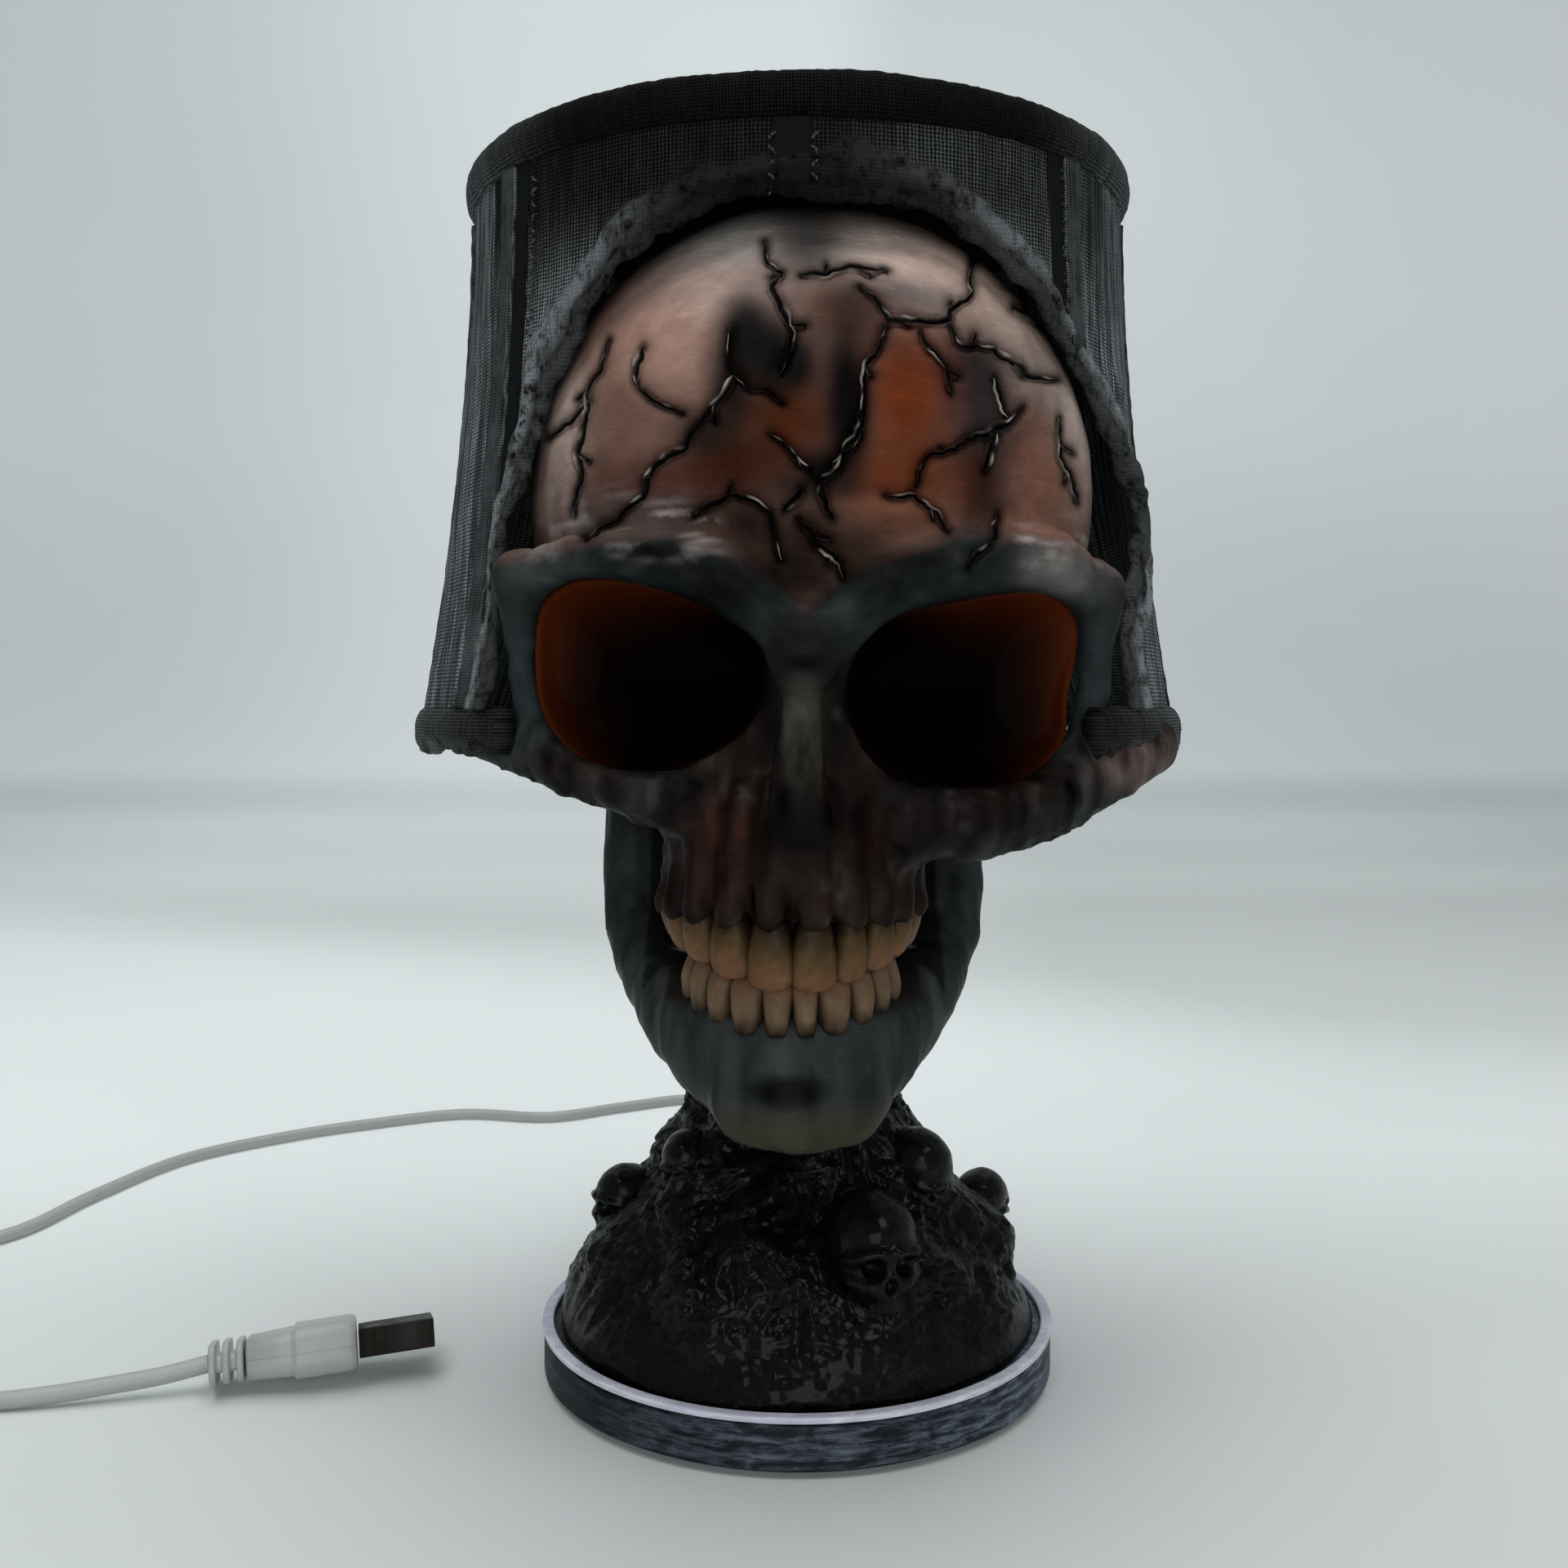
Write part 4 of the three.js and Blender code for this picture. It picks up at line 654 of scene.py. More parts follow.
    def finish(self, **sockets: object) -> Material:
        """Feed the shader's sockets, named with underscores for spaces, and give the material."""
        for name, value in sockets.items():
            self.feed(self.shader.inputs[name.replace("_", " ")], value)
        return self.made


@dataclass(frozen=True)
class Finish:
    """One finish: a name, a slot name and the shader's plain values."""

    name: str
    slot: str
    colour: Colour = (0.5, 0.5, 0.5)
    roughness: float = 0.5
    metallic: float = 0.0

    def material(self) -> Material:
        """Give the finish's material, made once."""
        known = bpy.data.materials.get(self.name)
        return known or self.compose(Board(self.name))

    def compose(self, board: Board) -> Material:
        """Build the nodes of a plain moulded surface with a fine grain."""
        spot = board.place()
        cloud = board.noise(spot, 260, 5)
        tone = board.mixed(board.between(cloud, 0.3, 0.75), tuple(c * 0.86 for c in self.colour), self.colour)
        rough = board.between(
            board.noise(spot, 700, 3), 0.25, 0.8, self.roughness * 0.8, min(1, self.roughness * 1.2)
        )
        bump = board.raised(board.noise(spot, 2600, 2), 0.03)
        return board.finish(Base_Color=tone, Roughness=rough, Metallic=self.metallic, Normal=bump)


@dataclass(frozen=True)
class PaintedBone(Finish):
    """Satin resin with airbrushed paint from the mesh, brushed fine relief and pits."""

    pits: float = 0.12
    brushed: float = 0.1
    fleck: float = 0.18
    coat: float = 0.25

    def compose(self, board: Board) -> Material:
        """Build the painted bone's nodes."""
        spot = board.place()
        brushed = board.noise(board.stretched(spot, (260, 260, 1500)), 1, 4, 0.65, 0.6)
        pits = board.cells(spot, 900)
        cloud = board.noise(spot, 90, 6, 0.65)
        paint = board.paint()
        bright = board.mixed(1.0, paint, (1.9, 1.9, 1.9), "MULTIPLY")
        pale = board.mixed(board.between(brushed, 0.5, 0.8, 0, self.fleck), paint, bright)
        worn = board.mixed(
            board.between(cloud, 0.35, 0.75, 0, 0.35), pale, board.mixed(0.5, paint, (0.0, 0.0, 0.0))
        )
        rough = board.between(cloud, 0.25, 0.8, self.roughness * 0.75, min(1, self.roughness * 1.3))
        low = board.raised(brushed, self.brushed)
        bump = board.raised(pits, self.pits, 0.6, low)
        return board.finish(
            Base_Color=worn, Roughness=rough, Normal=bump, Specular_IOR_Level=0.02, Coat_Weight=self.coat,
            Coat_Roughness=0.35,
        )


@dataclass(frozen=True)
class Membrane(Finish):
    """Glossy translucent resin that closes an eye socket, with a painted glow of amber at its edge and
    painted shade near black in its depth.
    """

    def compose(self, board: Board) -> Material:
        """Build the membrane's nodes."""
        spot = board.place()
        cloud = board.noise(spot, 120, 4, 0.6, 0.4)
        tone = board.mixed(
            board.between(cloud, 0.3, 0.75, 0, 0.4), board.paint(),
            board.mixed(0.5, board.paint(), (0.0, 0.0, 0.0))
        )
        bump = board.raised(board.noise(spot, 160, 3), 0.1)
        return board.finish(
            Base_Color=tone, Roughness=self.roughness, Normal=bump, Specular_IOR_Level=0.01,
        )


@dataclass(frozen=True)
class WovenCloth(Finish):
    """Coarse woven cloth stiffened with paint: upright threads, cross threads and slubs."""

    dark: Colour = (0.01, 0.011, 0.013)
    threads_per_mm: float = 1.1
    cross: float = 0.7
    ribbing: float = 0.5

    def compose(self, board: Board) -> Material:
        """Build the cloth's nodes."""
        cloth = board.cloth()
        warp = board.wave(cloth, self.threads_per_mm / 2, "X", 1.6, 2)
        weft = board.wave(cloth, self.threads_per_mm / 2, "Y", 2.2, 2)
        slub = board.noise(board.stretched(cloth, (1.0, 0.09, 1)), 1, 4, 0.7, 0.5)
        streak = board.noise(board.stretched(cloth, (0.55, 0.035, 1)), 1, 3, 0.6, 0.8)
        cloud = board.noise(cloth, 0.12, 4, 0.6)
        weave = board.sum(
            "ADD", board.sum("MULTIPLY", warp, self.ribbing), board.sum("MULTIPLY", weft, self.cross * 0.5)
        )
        height = board.sum("ADD", weave, board.sum("MULTIPLY", slub, 1.1))
        dry = board.between(height, 0.75, 1.7)
        tone = board.mixed(dry, self.dark, self.colour)
        tone = board.mixed(
            board.between(streak, 0.45, 0.75, 0, 0.55), tone, board.mixed(0.5, tone, self.dark)
        )
        tone = board.mixed(board.between(cloud, 0.35, 0.7, 0, 0.3), tone, self.colour)
        bump = board.raised(height, 0.5, 0.9)
        return board.finish(Base_Color=tone, Roughness=self.roughness, Normal=bump, Specular_IOR_Level=0.05)


@dataclass(frozen=True)
class GlossyRock(Finish):
    """Wet black resin rock with fine strands and grit, the strands' crests painted blue-grey as painted
    glints.
    """

    crest_glint: Colour = (0.1, 0.105, 0.11)

    def compose(self, board: Board) -> Material:
        """Build the rock's nodes."""
        spot = board.place()
        strands = board.noise(board.stretched(spot, (460, 460, 230)), 1, 6, 0.7, 2.2)
        grit = board.noise(spot, 1300, 4, 0.65)
        height = board.sum("ADD", strands, board.sum("MULTIPLY", grit, 0.35))
        # Painted highlight: crests of the strand pattern take the pale blue-grey glint colour.
        tone = board.mixed(board.between(height, 0.76, 0.98), self.colour, self.crest_glint)
        rough = board.between(grit, 0.3, 0.7, self.roughness * 0.6, self.roughness * 1.6)
        return board.finish(
            Base_Color=tone, Roughness=rough, Normal=board.raised(height, 0.7, 0.7), Specular_IOR_Level=0.1,
            Coat_Weight=0.14, Coat_Roughness=0.14,
        )


@dataclass(frozen=True)
class BrushedBand(Finish):
    """Painted metal look with level brush streaks and worn patches."""

    streak: Colour = (0.2, 0.22, 0.25)
    grain_scale: Place = (60, 60, 2600)
    takes_painted_side_light: bool = False

    def compose(self, board: Board) -> Material:
        """Build the brushed band's nodes."""
        spot = board.place()
        lines = board.noise(board.stretched(spot, self.grain_scale), 1, 5, 0.7, 0.4)
        patches = board.noise(board.stretched(spot, (180, 180, 520)), 1, 5, 0.7, 1.0)
        both = board.sum("ADD", board.sum("MULTIPLY", lines, 0.6), board.sum("MULTIPLY", patches, 0.5))
        tone = board.mixed(board.between(both, 0.47, 0.72), self.colour, self.streak)
        # Painted light and painted shade: when the band takes them, it is darkened on the lamp's left and
        # brightened on its right.
        tone = board.mixed(1.0, tone, board.painted_side_light(spot), "MULTIPLY") if self.takes_painted_side_light else tone
        rough = board.between(patches, 0.3, 0.7, self.roughness * 0.8, min(1, self.roughness * 1.3))
        return board.finish(
            Base_Color=tone, Roughness=rough, Metallic=self.metallic, Normal=board.raised(both, 0.22, 0.7),
            Specular_IOR_Level=0.15,
        )


@dataclass(frozen=True)
class Sheath(Finish):
    """Smooth white moulding, a little waxy."""

    def compose(self, board: Board) -> Material:
        """Build the white moulding's nodes."""
        spot = board.place()
        cloud = board.noise(spot, 220, 4, 0.6)
        tone = board.mixed(
            board.between(cloud, 0.35, 0.75, 0, 0.5), self.colour, tuple(c * 0.9 for c in self.colour)
        )
        bump = board.raised(board.noise(spot, 1800, 3), 0.02)
        return board.finish(
            Base_Color=tone, Roughness=self.roughness, Normal=bump, Coat_Weight=0.1, Coat_Roughness=0.3
        )


BONE = PaintedBone("painted_bone", "bone", roughness=0.5, brushed=0.2, fleck=0.4, coat=0.03)
JAW_PAINT = PaintedBone("painted_jaw", "jaw", roughness=0.4, pits=0.04, brushed=0.14, fleck=0.3, coat=0.05)
TOOTH = PaintedBone("stained_tooth", "tooth", roughness=0.42, pits=0.04, brushed=0.05, fleck=0.25, coat=0.1)
EYE = Membrane("eye_membrane", "eye", roughness=0.34)
TAPE = WovenCloth("black_tape", "rib", linear(30, 31, 33), 0.8, threads_per_mm=2.0)
ROCK = GlossyRock("black_rock", "rock", linear(2, 2, 3), 0.2, crest_glint=linear(50, 56, 61))
SMALL_BONE = GlossyRock("black_small_skull", "rock", linear(4, 5, 5), 0.24, crest_glint=linear(22, 24, 25))
# The base takes the painted side shade: darker on the lamp's left, brighter on its right.
BASE = BrushedBand(
    "brushed_base", "base", linear(24, 30, 38), 0.5, 0.1, streak=linear(108, 118, 132),
    grain_scale=(100, 100, 1100),
    takes_painted_side_light=True,
)
TRIM = BrushedBand("worn_silver", "trim", linear(196, 198, 214), 0.55, streak=linear(240, 241, 252))
PAD = Finish("foam_pad", "foot", linear(24, 24, 24), 0.95)
COVER = Finish("black_moulding", "cover", linear(30, 30, 31), 0.6)
STEEL = BrushedBand("plated_steel", "steel", linear(150, 152, 156), 0.28, 1.0, streak=linear(196, 198, 202))
SHELL_STEEL = BrushedBand(
    "plug_shell", "steel", linear(30, 28, 25), 0.5, 0.3, streak=linear(46, 43, 38), grain_scale=(900, 60, 60)
)
MOULDING = Finish("off_white_moulding", "lamp_plastic", linear(222, 218, 208), 0.5)
GLOBE = Finish("frosted_globe", "globe", linear(240, 232, 214), 0.42)
BOARD_GREEN = Finish("green_board", "circuit", linear(30, 84, 52), 0.5)
WHITE = Sheath("white_sheath", "cord", linear(164, 168, 166), 0.42)


# Camera, light and floor


@dataclass
class Studio:
    """The camera, a pale floor with a backdrop, and soft lamps."""

    camera_at: Place = (-2.2, -267, 111)
    horizon_pixel: float = 865  # the picture's row at the camera's height
    lens: float = 36
    sensor: float = 36
    floor_half: float = 2600
    wall_y: float = 1500
    bend_radius: float = 500
    wall_height: float = 2600
    air: float = 0.1

    @property
    def pixels_per_slope(self) -> float:
        """Pixels of the picture for a slope of one."""
        return PICTURE_SIDE * self.lens / self.sensor

    def add_camera(self) -> None:
        """Create the level camera, its lens shifted down a little, and make it the scene's."""
        data = bpy.data.cameras.new("camera")
        data.lens = self.lens
        data.sensor_width = self.sensor
        data.clip_start = 0.01
        data.shift_y = (self.horizon_pixel - PICTURE_SIDE / 2) / PICTURE_SIDE
        camera = bpy.data.objects.new("camera", data)
        bpy.context.collection.objects.link(camera)
        camera.location = Vector(self.camera_at) * MM
        camera.rotation_euler = (math.pi / 2, 0, 0)
        bpy.context.scene.camera = camera

    def rays(self, pixels: Array) -> Array:
        """Give the directions from the camera through pixels of the picture."""
        across = (pixels[..., 0] - PICTURE_SIDE / 2) / self.pixels_per_slope
        up = (self.horizon_pixel - pixels[..., 1]) / self.pixels_per_slope
        way = np.stack([across, np.ones_like(across), up], axis=-1)
        return way / np.linalg.norm(way, axis=-1, keepdims=True)

    def pixels_of(self, points: Array) -> Array:
        """Give the pixels at which points in millimetres appear."""
        away = points - np.array(self.camera_at)
        scale = self.pixels_per_slope / away[..., 1]
        return np.stack(
            [PICTURE_SIDE / 2 + scale * away[..., 0], self.horizon_pixel - scale * away[..., 2]], axis=-1
        )

    def backdrop_material(self) -> Material:
        """Make a pale matt paper that looks the same behind the lamp and in its reflections, its glow
        painting light and shade on it by place.
        """
        board = Board("studio_paper")
        spot = board.place()
        cloud = board.noise(spot, 3, 3)
        tone = board.mixed(board.between(cloud, 0.2, 0.8), linear(206, 212, 212), linear(211, 217, 217))
        apart = board.node("ShaderNodeSeparateXYZ")
        board.link(spot, apart.inputs[0])
        across, away, high = apart.outputs
        aside = board.sum("MULTIPLY", across, 0.5)
        leaning, rising = board.sum("ADD", away, aside), board.sum("ADD", high, aside)
        # Painted light and painted shade: each step raises or lowers the paper's glow by place, in bands
        # across the floor and up the backdrop.
        steps = (
            (away, -0.02, 0.14, 0.035, 0.22), (leaning, 0.25, 0.48, 0, -0.16), (away, 0.5, 0.8, 0, 0.109),
            (away, 0.8, 1.3, 0, 0.1),
            (high, 0, 0.04, 0, 0.11), (high, 0.05, 1.1, 0, 0.08), (rising, 0.3, 1.2, 0, 0.1),
            (across, -0.9, -0.35, -0.09, 0),
            (across, 0.02, 0.2, 0, -0.1), (across, 0.3, 0.9, 0, -0.05),
        )
        painted_glow = 0.0
        for axis, low, top, start, end in steps:
            painted_glow = board.sum("ADD", board.between(axis, low, top, start, end), painted_glow)
        painted_glow = board.sum("MAXIMUM", painted_glow, 0.0)
        return board.finish(
            Base_Color=tone, Roughness=0.9, Specular_IOR_Level=0.1, Emission_Color=linear(240, 248, 249),
            Emission_Strength=painted_glow,
        )

    def add_floor(self) -> None:
        """Lay the floor and bend it up into the backdrop."""
        profile = [(-self.floor_half, 0.0)]
        for k in range(13):
            angle = math.pi / 2 * k / 12
            profile.append(
                (self.wall_y + self.bend_radius * math.sin(angle), self.bend_radius * (1 - math.cos(angle)))
            )
        profile.append((self.wall_y + self.bend_radius, self.wall_height))
        points = [(side * self.floor_half, y, z) for y, z in profile for side in (-1, 1)]
        faces = [(2 * k, 2 * k + 1, 2 * k + 3, 2 * k + 2) for k in range(len(profile) - 1)]
        mesh = bpy.data.meshes.new("studio_floor")
        mesh.from_pydata((np.array(points) * MM).tolist(), [], faces)
        mesh.polygons.foreach_set("use_smooth", [True] * len(mesh.polygons))
        mesh.materials.append(self.backdrop_material())
        floor = bpy.data.objects.new("studio_floor", mesh)
        bpy.context.collection.objects.link(floor)
        floor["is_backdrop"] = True

    def add_lamp(self, name: str, at: Place, aim: Place, side: float, power: float) -> None:
        """Hang one soft square lamp that points at a place."""
        data = bpy.data.lights.new(name, "AREA")
        data.size = side * MM
        data.energy = power
        lamp = bpy.data.objects.new(name, data)
        bpy.context.collection.objects.link(lamp)
        lamp.location = Vector(at) * MM
        lamp.rotation_euler = (Vector(aim) - Vector(at)).to_track_quat("-Z", "Y").to_euler()

    def add_light(self) -> None:
        """Light the object softly from above and the front."""
        world = bpy.data.worlds.new("studio_air")
        bpy.context.scene.world = world
        world.use_nodes = True
        background = world.node_tree.nodes["Background"]
        background.inputs["Color"].default_value = (0.93, 0.97, 1.0, 1)
        background.inputs["Strength"].default_value = self.air
        self.add_lamp("ceiling", (0, 120, 1400), (0, 60, 0), 1300, 13)
        self.add_lamp("key_left", (-260, -420, 760), (0, -20, 120), 300, 1.1)
        self.add_lamp("key_right", (330, -380, 700), (0, -20, 120), 260, 0.9)
        self.add_lamp("front", (20, -780, 215), (0, -40, 150), 460, 1.9)

    def build(self) -> None:
        """Set up the whole studio."""
        self.add_camera()
        self.add_floor()
        self.add_light()
        view = bpy.context.scene.view_settings
        view.view_transform = "Standard"


# Cord and plug


@dataclass
class Cord:
    """The white cord: out of the base's back, round the lamp, coiled out of view and back in to its plug."""

    radius: float = 1.4
    exit_z: float = 4.6
    rest_z: float = 1.4
    coil_turns: int = 5
    coil_outer_radius: float = 20.8
    coil_pitch: float = 3.5
    coil_climb: float = 3.4
    coil_centre: Pixel = (-182, 20)
    coil_start: float = 130
    coil_end: float = 262
    loop_steps: int = 24
    gap: float = 0.3
    rear_route: tuple[Place, ...] = (
        (0, 49, 4.6), (0, 62, 3), (0, 82, 1.4), (2, 110, 1.4), (3, 136, 1.4), (-2, 157, 1.4), (-13, 169, 1.4),
        (-29.3, 170.5, 1.4), (-46.8, 161.6, 1.4), (-64.8, 151.5, 1.4), (-88.3, 154.7, 1.4),
        (-111.8, 144, 1.4), (-128.1, 133.1, 1.4), (-146.9, 113.5, 1.4), (-156.8, 84.3, 1.4),
        (-164.1, 56.7, 1.4),
    )
    front_route: tuple[Place, ...] = (
        (-167, -6, 2.6), (-152, -14.2, 1.5), (-139, -19.4, 1.4), (-126.4, -19.8, 1.5), (-117.3, -18.3, 2),
        (-109.6, -16.5, 2.6), (-102.3, -14.7, 3.3),
    )
    plug_start: Place = (-95.1, -12.8, 4.5)
    plug_yaw: float = 15

    def coil_points(self) -> Array:
        """Wind in along the lower layer, climb, and wind out along the upper layer."""
        swept = 360 * self.coil_turns + self.coil_end - self.coil_start
        degrees = np.linspace(0, swept, round(swept / 360 * self.loop_steps) + 1)
        inward = np.minimum(degrees, swept - degrees)
        radius = self.coil_outer_radius - self.coil_pitch * inward / 360
        share = np.clip((degrees - swept / 2 + 90) / 180, 0, 1)
        climb = share * share * (3 - 2 * share)
        angle = np.radians(self.coil_start + degrees)
        return np.stack(
            [
                self.coil_centre[0] + radius * np.cos(angle),
                self.coil_centre[1] + radius * np.sin(angle),
                self.rest_z + self.coil_climb * climb,
            ],
            axis=1,
        )

    def centreline(self) -> Array:
        """Join the rear run, the coil and the front run into one line."""
        coil = self.coil_points()
        straight = 2 * self.radius
        inward, outward = coil[0] - coil[1], coil[-1] - coil[-2]
        for way in (inward, outward):
            way[2] = 0
            way /= np.linalg.norm(way)
        start, end = coil[0] + inward * straight, coil[-1] + outward * straight
        grommet = cad_box("cord_grommet")[1][1]
        leave = np.array([0, grommet + self.gap, self.exit_z])
        rear_end, front_start = start + inward * self.gap, end + outward * self.gap
        rear = smooth_line([leave, *self.rear_route, rear_end + inward * straight, rear_end], 6)
        yaw = math.radians(self.plug_yaw)
        plug = np.array(self.plug_start) - self.gap * np.array([math.cos(yaw), math.sin(yaw), 0])
        front = smooth_line([front_start, front_start + outward * straight, *self.front_route, plug], 6)
        return np.concatenate([rear, coil, front])

    def build(self) -> Piece:
        """Make the cord as one curve."""
        line = self.centreline()
        data = bpy.data.curves.new("cord", "CURVE")
        data.dimensions = "3D"
        data.bevel_depth = self.radius * MM
        data.bevel_resolution = 4
        data.use_fill_caps = True
        spline = data.splines.new("POLY")
        spline.points.add(len(line) - 1)
        rows = np.concatenate([line * MM, np.ones((len(line), 1))], axis=1)
        spline.points.foreach_set("co", rows.ravel())
        spline.use_smooth = True
        data.materials.append(WHITE.material())
        made = bpy.data.objects.new("cord", data)
        bpy.context.collection.objects.link(made)
        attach(made, BODY)
        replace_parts(made, "cord_rear_run", "cord_coil", "cord_front_run")
        length = float(np.linalg.norm(np.diff(line, axis=0), axis=1).sum())
        LOG.info("cord: %.0f mm", length)
        return made


@dataclass
class Plug:
    """The cord's plug: a slotted boot, a moulded grip with a parting line, and a metal shell."""

    start: Place = (-95.1, -12.8, 4.5)
    roll: float = 16
    rise: float = 3
    yaw: float = 15
    boot_length: float = 5.3
    boot_size: Pixel = (10.6, 6.4)
    boot_core: Pixel = (9.4, 2.6)
    rib_count: int = 3
    gap: float = 0.3
    grip_length: float = 17.3
    grip_size: Pixel = (14.4, 8)
    step_at: float = 7.3
    step_inset: float = 0.5
    shell_length: float = 12
    shell_size: Pixel = (12, 4.5)
    shell_wall: float = 0.35
    window: float = 2.2
    window_aside: float = 2.9
    seam: float = 0.09
    ring_sides: int = 56

    def placed(self, points: Array) -> Array:
        """Turn points from the plug's own frame, whose X runs out of the cord, to the lamp's."""
        roll, rise, yaw = math.radians(-self.roll), math.radians(-self.rise), math.radians(self.yaw)
        return points @ (spin(2, yaw) @ spin(0, roll) @ spin(1, rise)).T + np.array(self.start)

    def oblong(self, x: float, width: float, height: float, corner_share: float = 1 / 3) -> Array:
        """Give one rounded oblong ring square to X."""
        corner = height * corner_share
        steps = self.ring_sides // 4
        ring = []
        for side, level, quarter in ((1, 1, 0), (-1, 1, 1), (-1, -1, 2), (1, -1, 3)):
            for k in range(steps):
                angle = math.pi / 2 * (quarter + k / (steps - 1))
                ring.append(
                    (
                        x,
                        side * (width / 2 - corner) + corner * math.cos(angle),
                        level * (height / 2 - corner) + corner * math.sin(angle),
                    )
                )
        return np.array(ring)

    def skin(
        self, name: str, stations: Sequence[tuple[float, float, float]], finish: Finish,
        corner_share: float = 1 / 3
    ) -> Piece:
        """Make a piece from stations along X, each a place, a width and a height."""
        shell = Shell()
        shell.add_rings(self.placed(np.array([self.oblong(*station, corner_share) for station in stations])))
        return shell.build(name, finish)

    def build_boot(self) -> None:
        """Make the strain relief: flat ribs on a narrower core."""
        width, height = self.boot_size
        length = self.boot_length / (2 * self.rib_count - 1)
        soft = 0.12
        stations = []
        for i in range(self.rib_count):
            low, high = 2 * i * length, (2 * i + 1) * length
            stations += [
                (low, *self.boot_core), (low + 0.01, width - 4 * soft, height - 4 * soft),
                (low + soft, width, height),
                (high - soft, width, height), (high - 0.01, width - 4 * soft, height - 4 * soft),
                (high, *self.boot_core),
            ]
        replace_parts(self.skin("plug_boot_moulded", stations, WHITE), "plug_boot")

    def build_grip(self) -> None:
        """Make the grip with its step, and the fine parting line round it."""
        start = self.boot_length + self.gap
        end, step = start + self.grip_length, start + self.step_at
        width, height = self.grip_size
        inset = 2 * self.step_inset
        small, soft = self.boot_size, 0.35
        stations = [
            (start, small[0] - 2, small[1] - 1.6), (start + soft, *small),
            (step - 0.4, width - inset, height - inset),
            (step, width - inset - 0.1, height - inset - 0.1), (step + 0.35, width - 0.15, height - 0.15),
            (step + 0.8, width, height), (end - 1.2, width, height), (end - 0.3, width - 0.4, height - 0.4),
            (end, width - 1.5, height - 1.5),
        ]
        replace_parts(self.skin("plug_grip", stations, WHITE), "plug_body")
        seams = Shell()
        for side in (-1, 1):
            line = np.array([(x, side * w / 2, 0) for x, w, _ in stations[1:-1]])
            seams.add_rings(self.placed(swept_rings(line, self.seam, 6)))
        seams.build("plug_parting_line", WHITE)

    def build_shell(self) -> None:
        """Make the folded metal shell, set dark boxes into it as painted shade in its windows and as its
        seam, and dress the tongue.
        """
        start = self.boot_length + self.grip_length + 2 * self.gap
        end = start + self.shell_length
        width, height = self.shell_size
        wall = 2 * self.shell_wall
        stations = [
            (start, width, height), (end - 0.2, width, height), (end, width - 0.2, height - 0.2),
            (end, width - wall, height - wall), (start + 0.8, width - wall, height - wall),
        ]
        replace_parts(self.skin("plug_shell", stations, SHELL_STEEL, 0.12), "plug_metal_shell")
        # Painted shade: the windows are not cut; dark boxes sunk into the shell stand where they open, and a
        # thin one marks the seam.
        window_shade = Shell()
        half = self.window / 2
        box_faces = [(0, 1, 2, 3), (4, 7, 6, 5), (0, 4, 5, 1), (1, 5, 6, 2), (2, 6, 7, 3), (3, 7, 4, 0)]
        spots = [(start + 0.62 * self.shell_length, side * self.window_aside, half, half) for side in (-1, 1)]
        spots.append((start + self.shell_length / 2, 0, self.shell_length / 2.1, 0.05))
        for x, y, along, across in spots:
            for face in (-1, 1):
                high, deep = face * (height / 2 + 0.02), face * (height / 2 - 0.3)
                corners = [
                    (x - along, y - across), (x + along, y - across), (x + along, y + across),
                    (x - along, y + across)
                ]
                points = [(*c, high) for c in corners] + [(*c, deep) for c in corners]
                window_shade.add(self.placed(np.array(points)), box_faces)
        window_shade.build("plug_shell_window_shade", COVER, smooth=False)
        dress_kept("plug_tongue", WHITE)

    def build(self) -> None:
        """Make the whole plug."""
        self.build_boot()
        self.build_grip()
        self.build_shell()


# Skull

SKULL_CENTRE = np.array([2, -20, 143])
SKULL_SIZES = np.array([43.5, 44, 45])

# Cracks in the skull's paint and relief, as pixels of the picture from one end to the other
CRACKS: dict[str, tuple[Pixel, ...]] = {
    "top": ((936, 294), (939, 316), (958, 335), (946, 351), (957, 377), (971, 406), (955, 457)),
    "long_left": (
        (892, 406), (888, 444), (898, 460), (872, 498), (850, 527), (837, 549), (815, 556), (793, 584),
        (786, 607), (758, 635), (716, 661),
    ),
    "pocket": ((898, 460), (920, 476), (943, 479), (959, 495)),
    "left_short": ((783, 479), (812, 498), (837, 506)),
    "left_long": ((745, 415), (735, 447), (719, 482), (716, 517), (707, 546), (713, 578), (703, 635)),
    "left_branch": ((719, 489), (697, 517), (672, 537)),
    "centre": ((944, 532), (975, 562), (1003, 588), (1016, 581), (1054, 533)),
    "left_upper": ((790, 425), (782, 447), (781, 470)),
    "centre_tail": ((1003, 588), (1010, 616), (1022, 635)),
    "brow_arch": ((847, 632), (895, 603), (920, 610), (943, 626), (949, 655), (955, 686)),
    "brow_link": ((959, 626), (984, 597)),
    "crown": ((979, 339), (1011, 336), (1046, 326), (1065, 329), (1088, 332)),
    "right_upper": (
        (1052, 350), (1072, 368), (1088, 393), (1145, 396), (1164, 390), (1164, 380), (1190, 358),
        (1186, 332), (1190, 317),
    ),
    "band": ((1088, 396), (1078, 425), (1059, 444), (1056, 495), (1049, 533), (1024, 568), (1005, 588)),
    "right_middle": ((1126, 403), (1139, 428), (1158, 450), (1167, 482)),
    "right_long": ((1161, 393), (1170, 419), (1183, 425), (1212, 425), (1241, 444), (1266, 460), (1295, 466)),
    "right_drop": ((1218, 463), (1225, 486), (1234, 511)),
    "right_low": (
        (1253, 498), (1237, 521), (1215, 530), (1183, 537), (1170, 553), (1142, 556), (1126, 578),
        (1123, 597),
    ),
    "right_tail": ((1218, 530), (1212, 559), (1206, 578)),
    "right_edge": ((1298, 511), (1298, 559), (1314, 591), (1320, 616)),
    "right_top": ((1241, 377), (1260, 387), (1276, 399)),
    "brow_right": ((1084, 607), (1119, 608), (1145, 626), (1161, 651)),
    "brow_step": ((1221, 629), (1218, 655), (1202, 677), (1183, 693)),
    "brow_middle": ((976, 635), (1001, 664), (1024, 683), (1030, 709)),
}
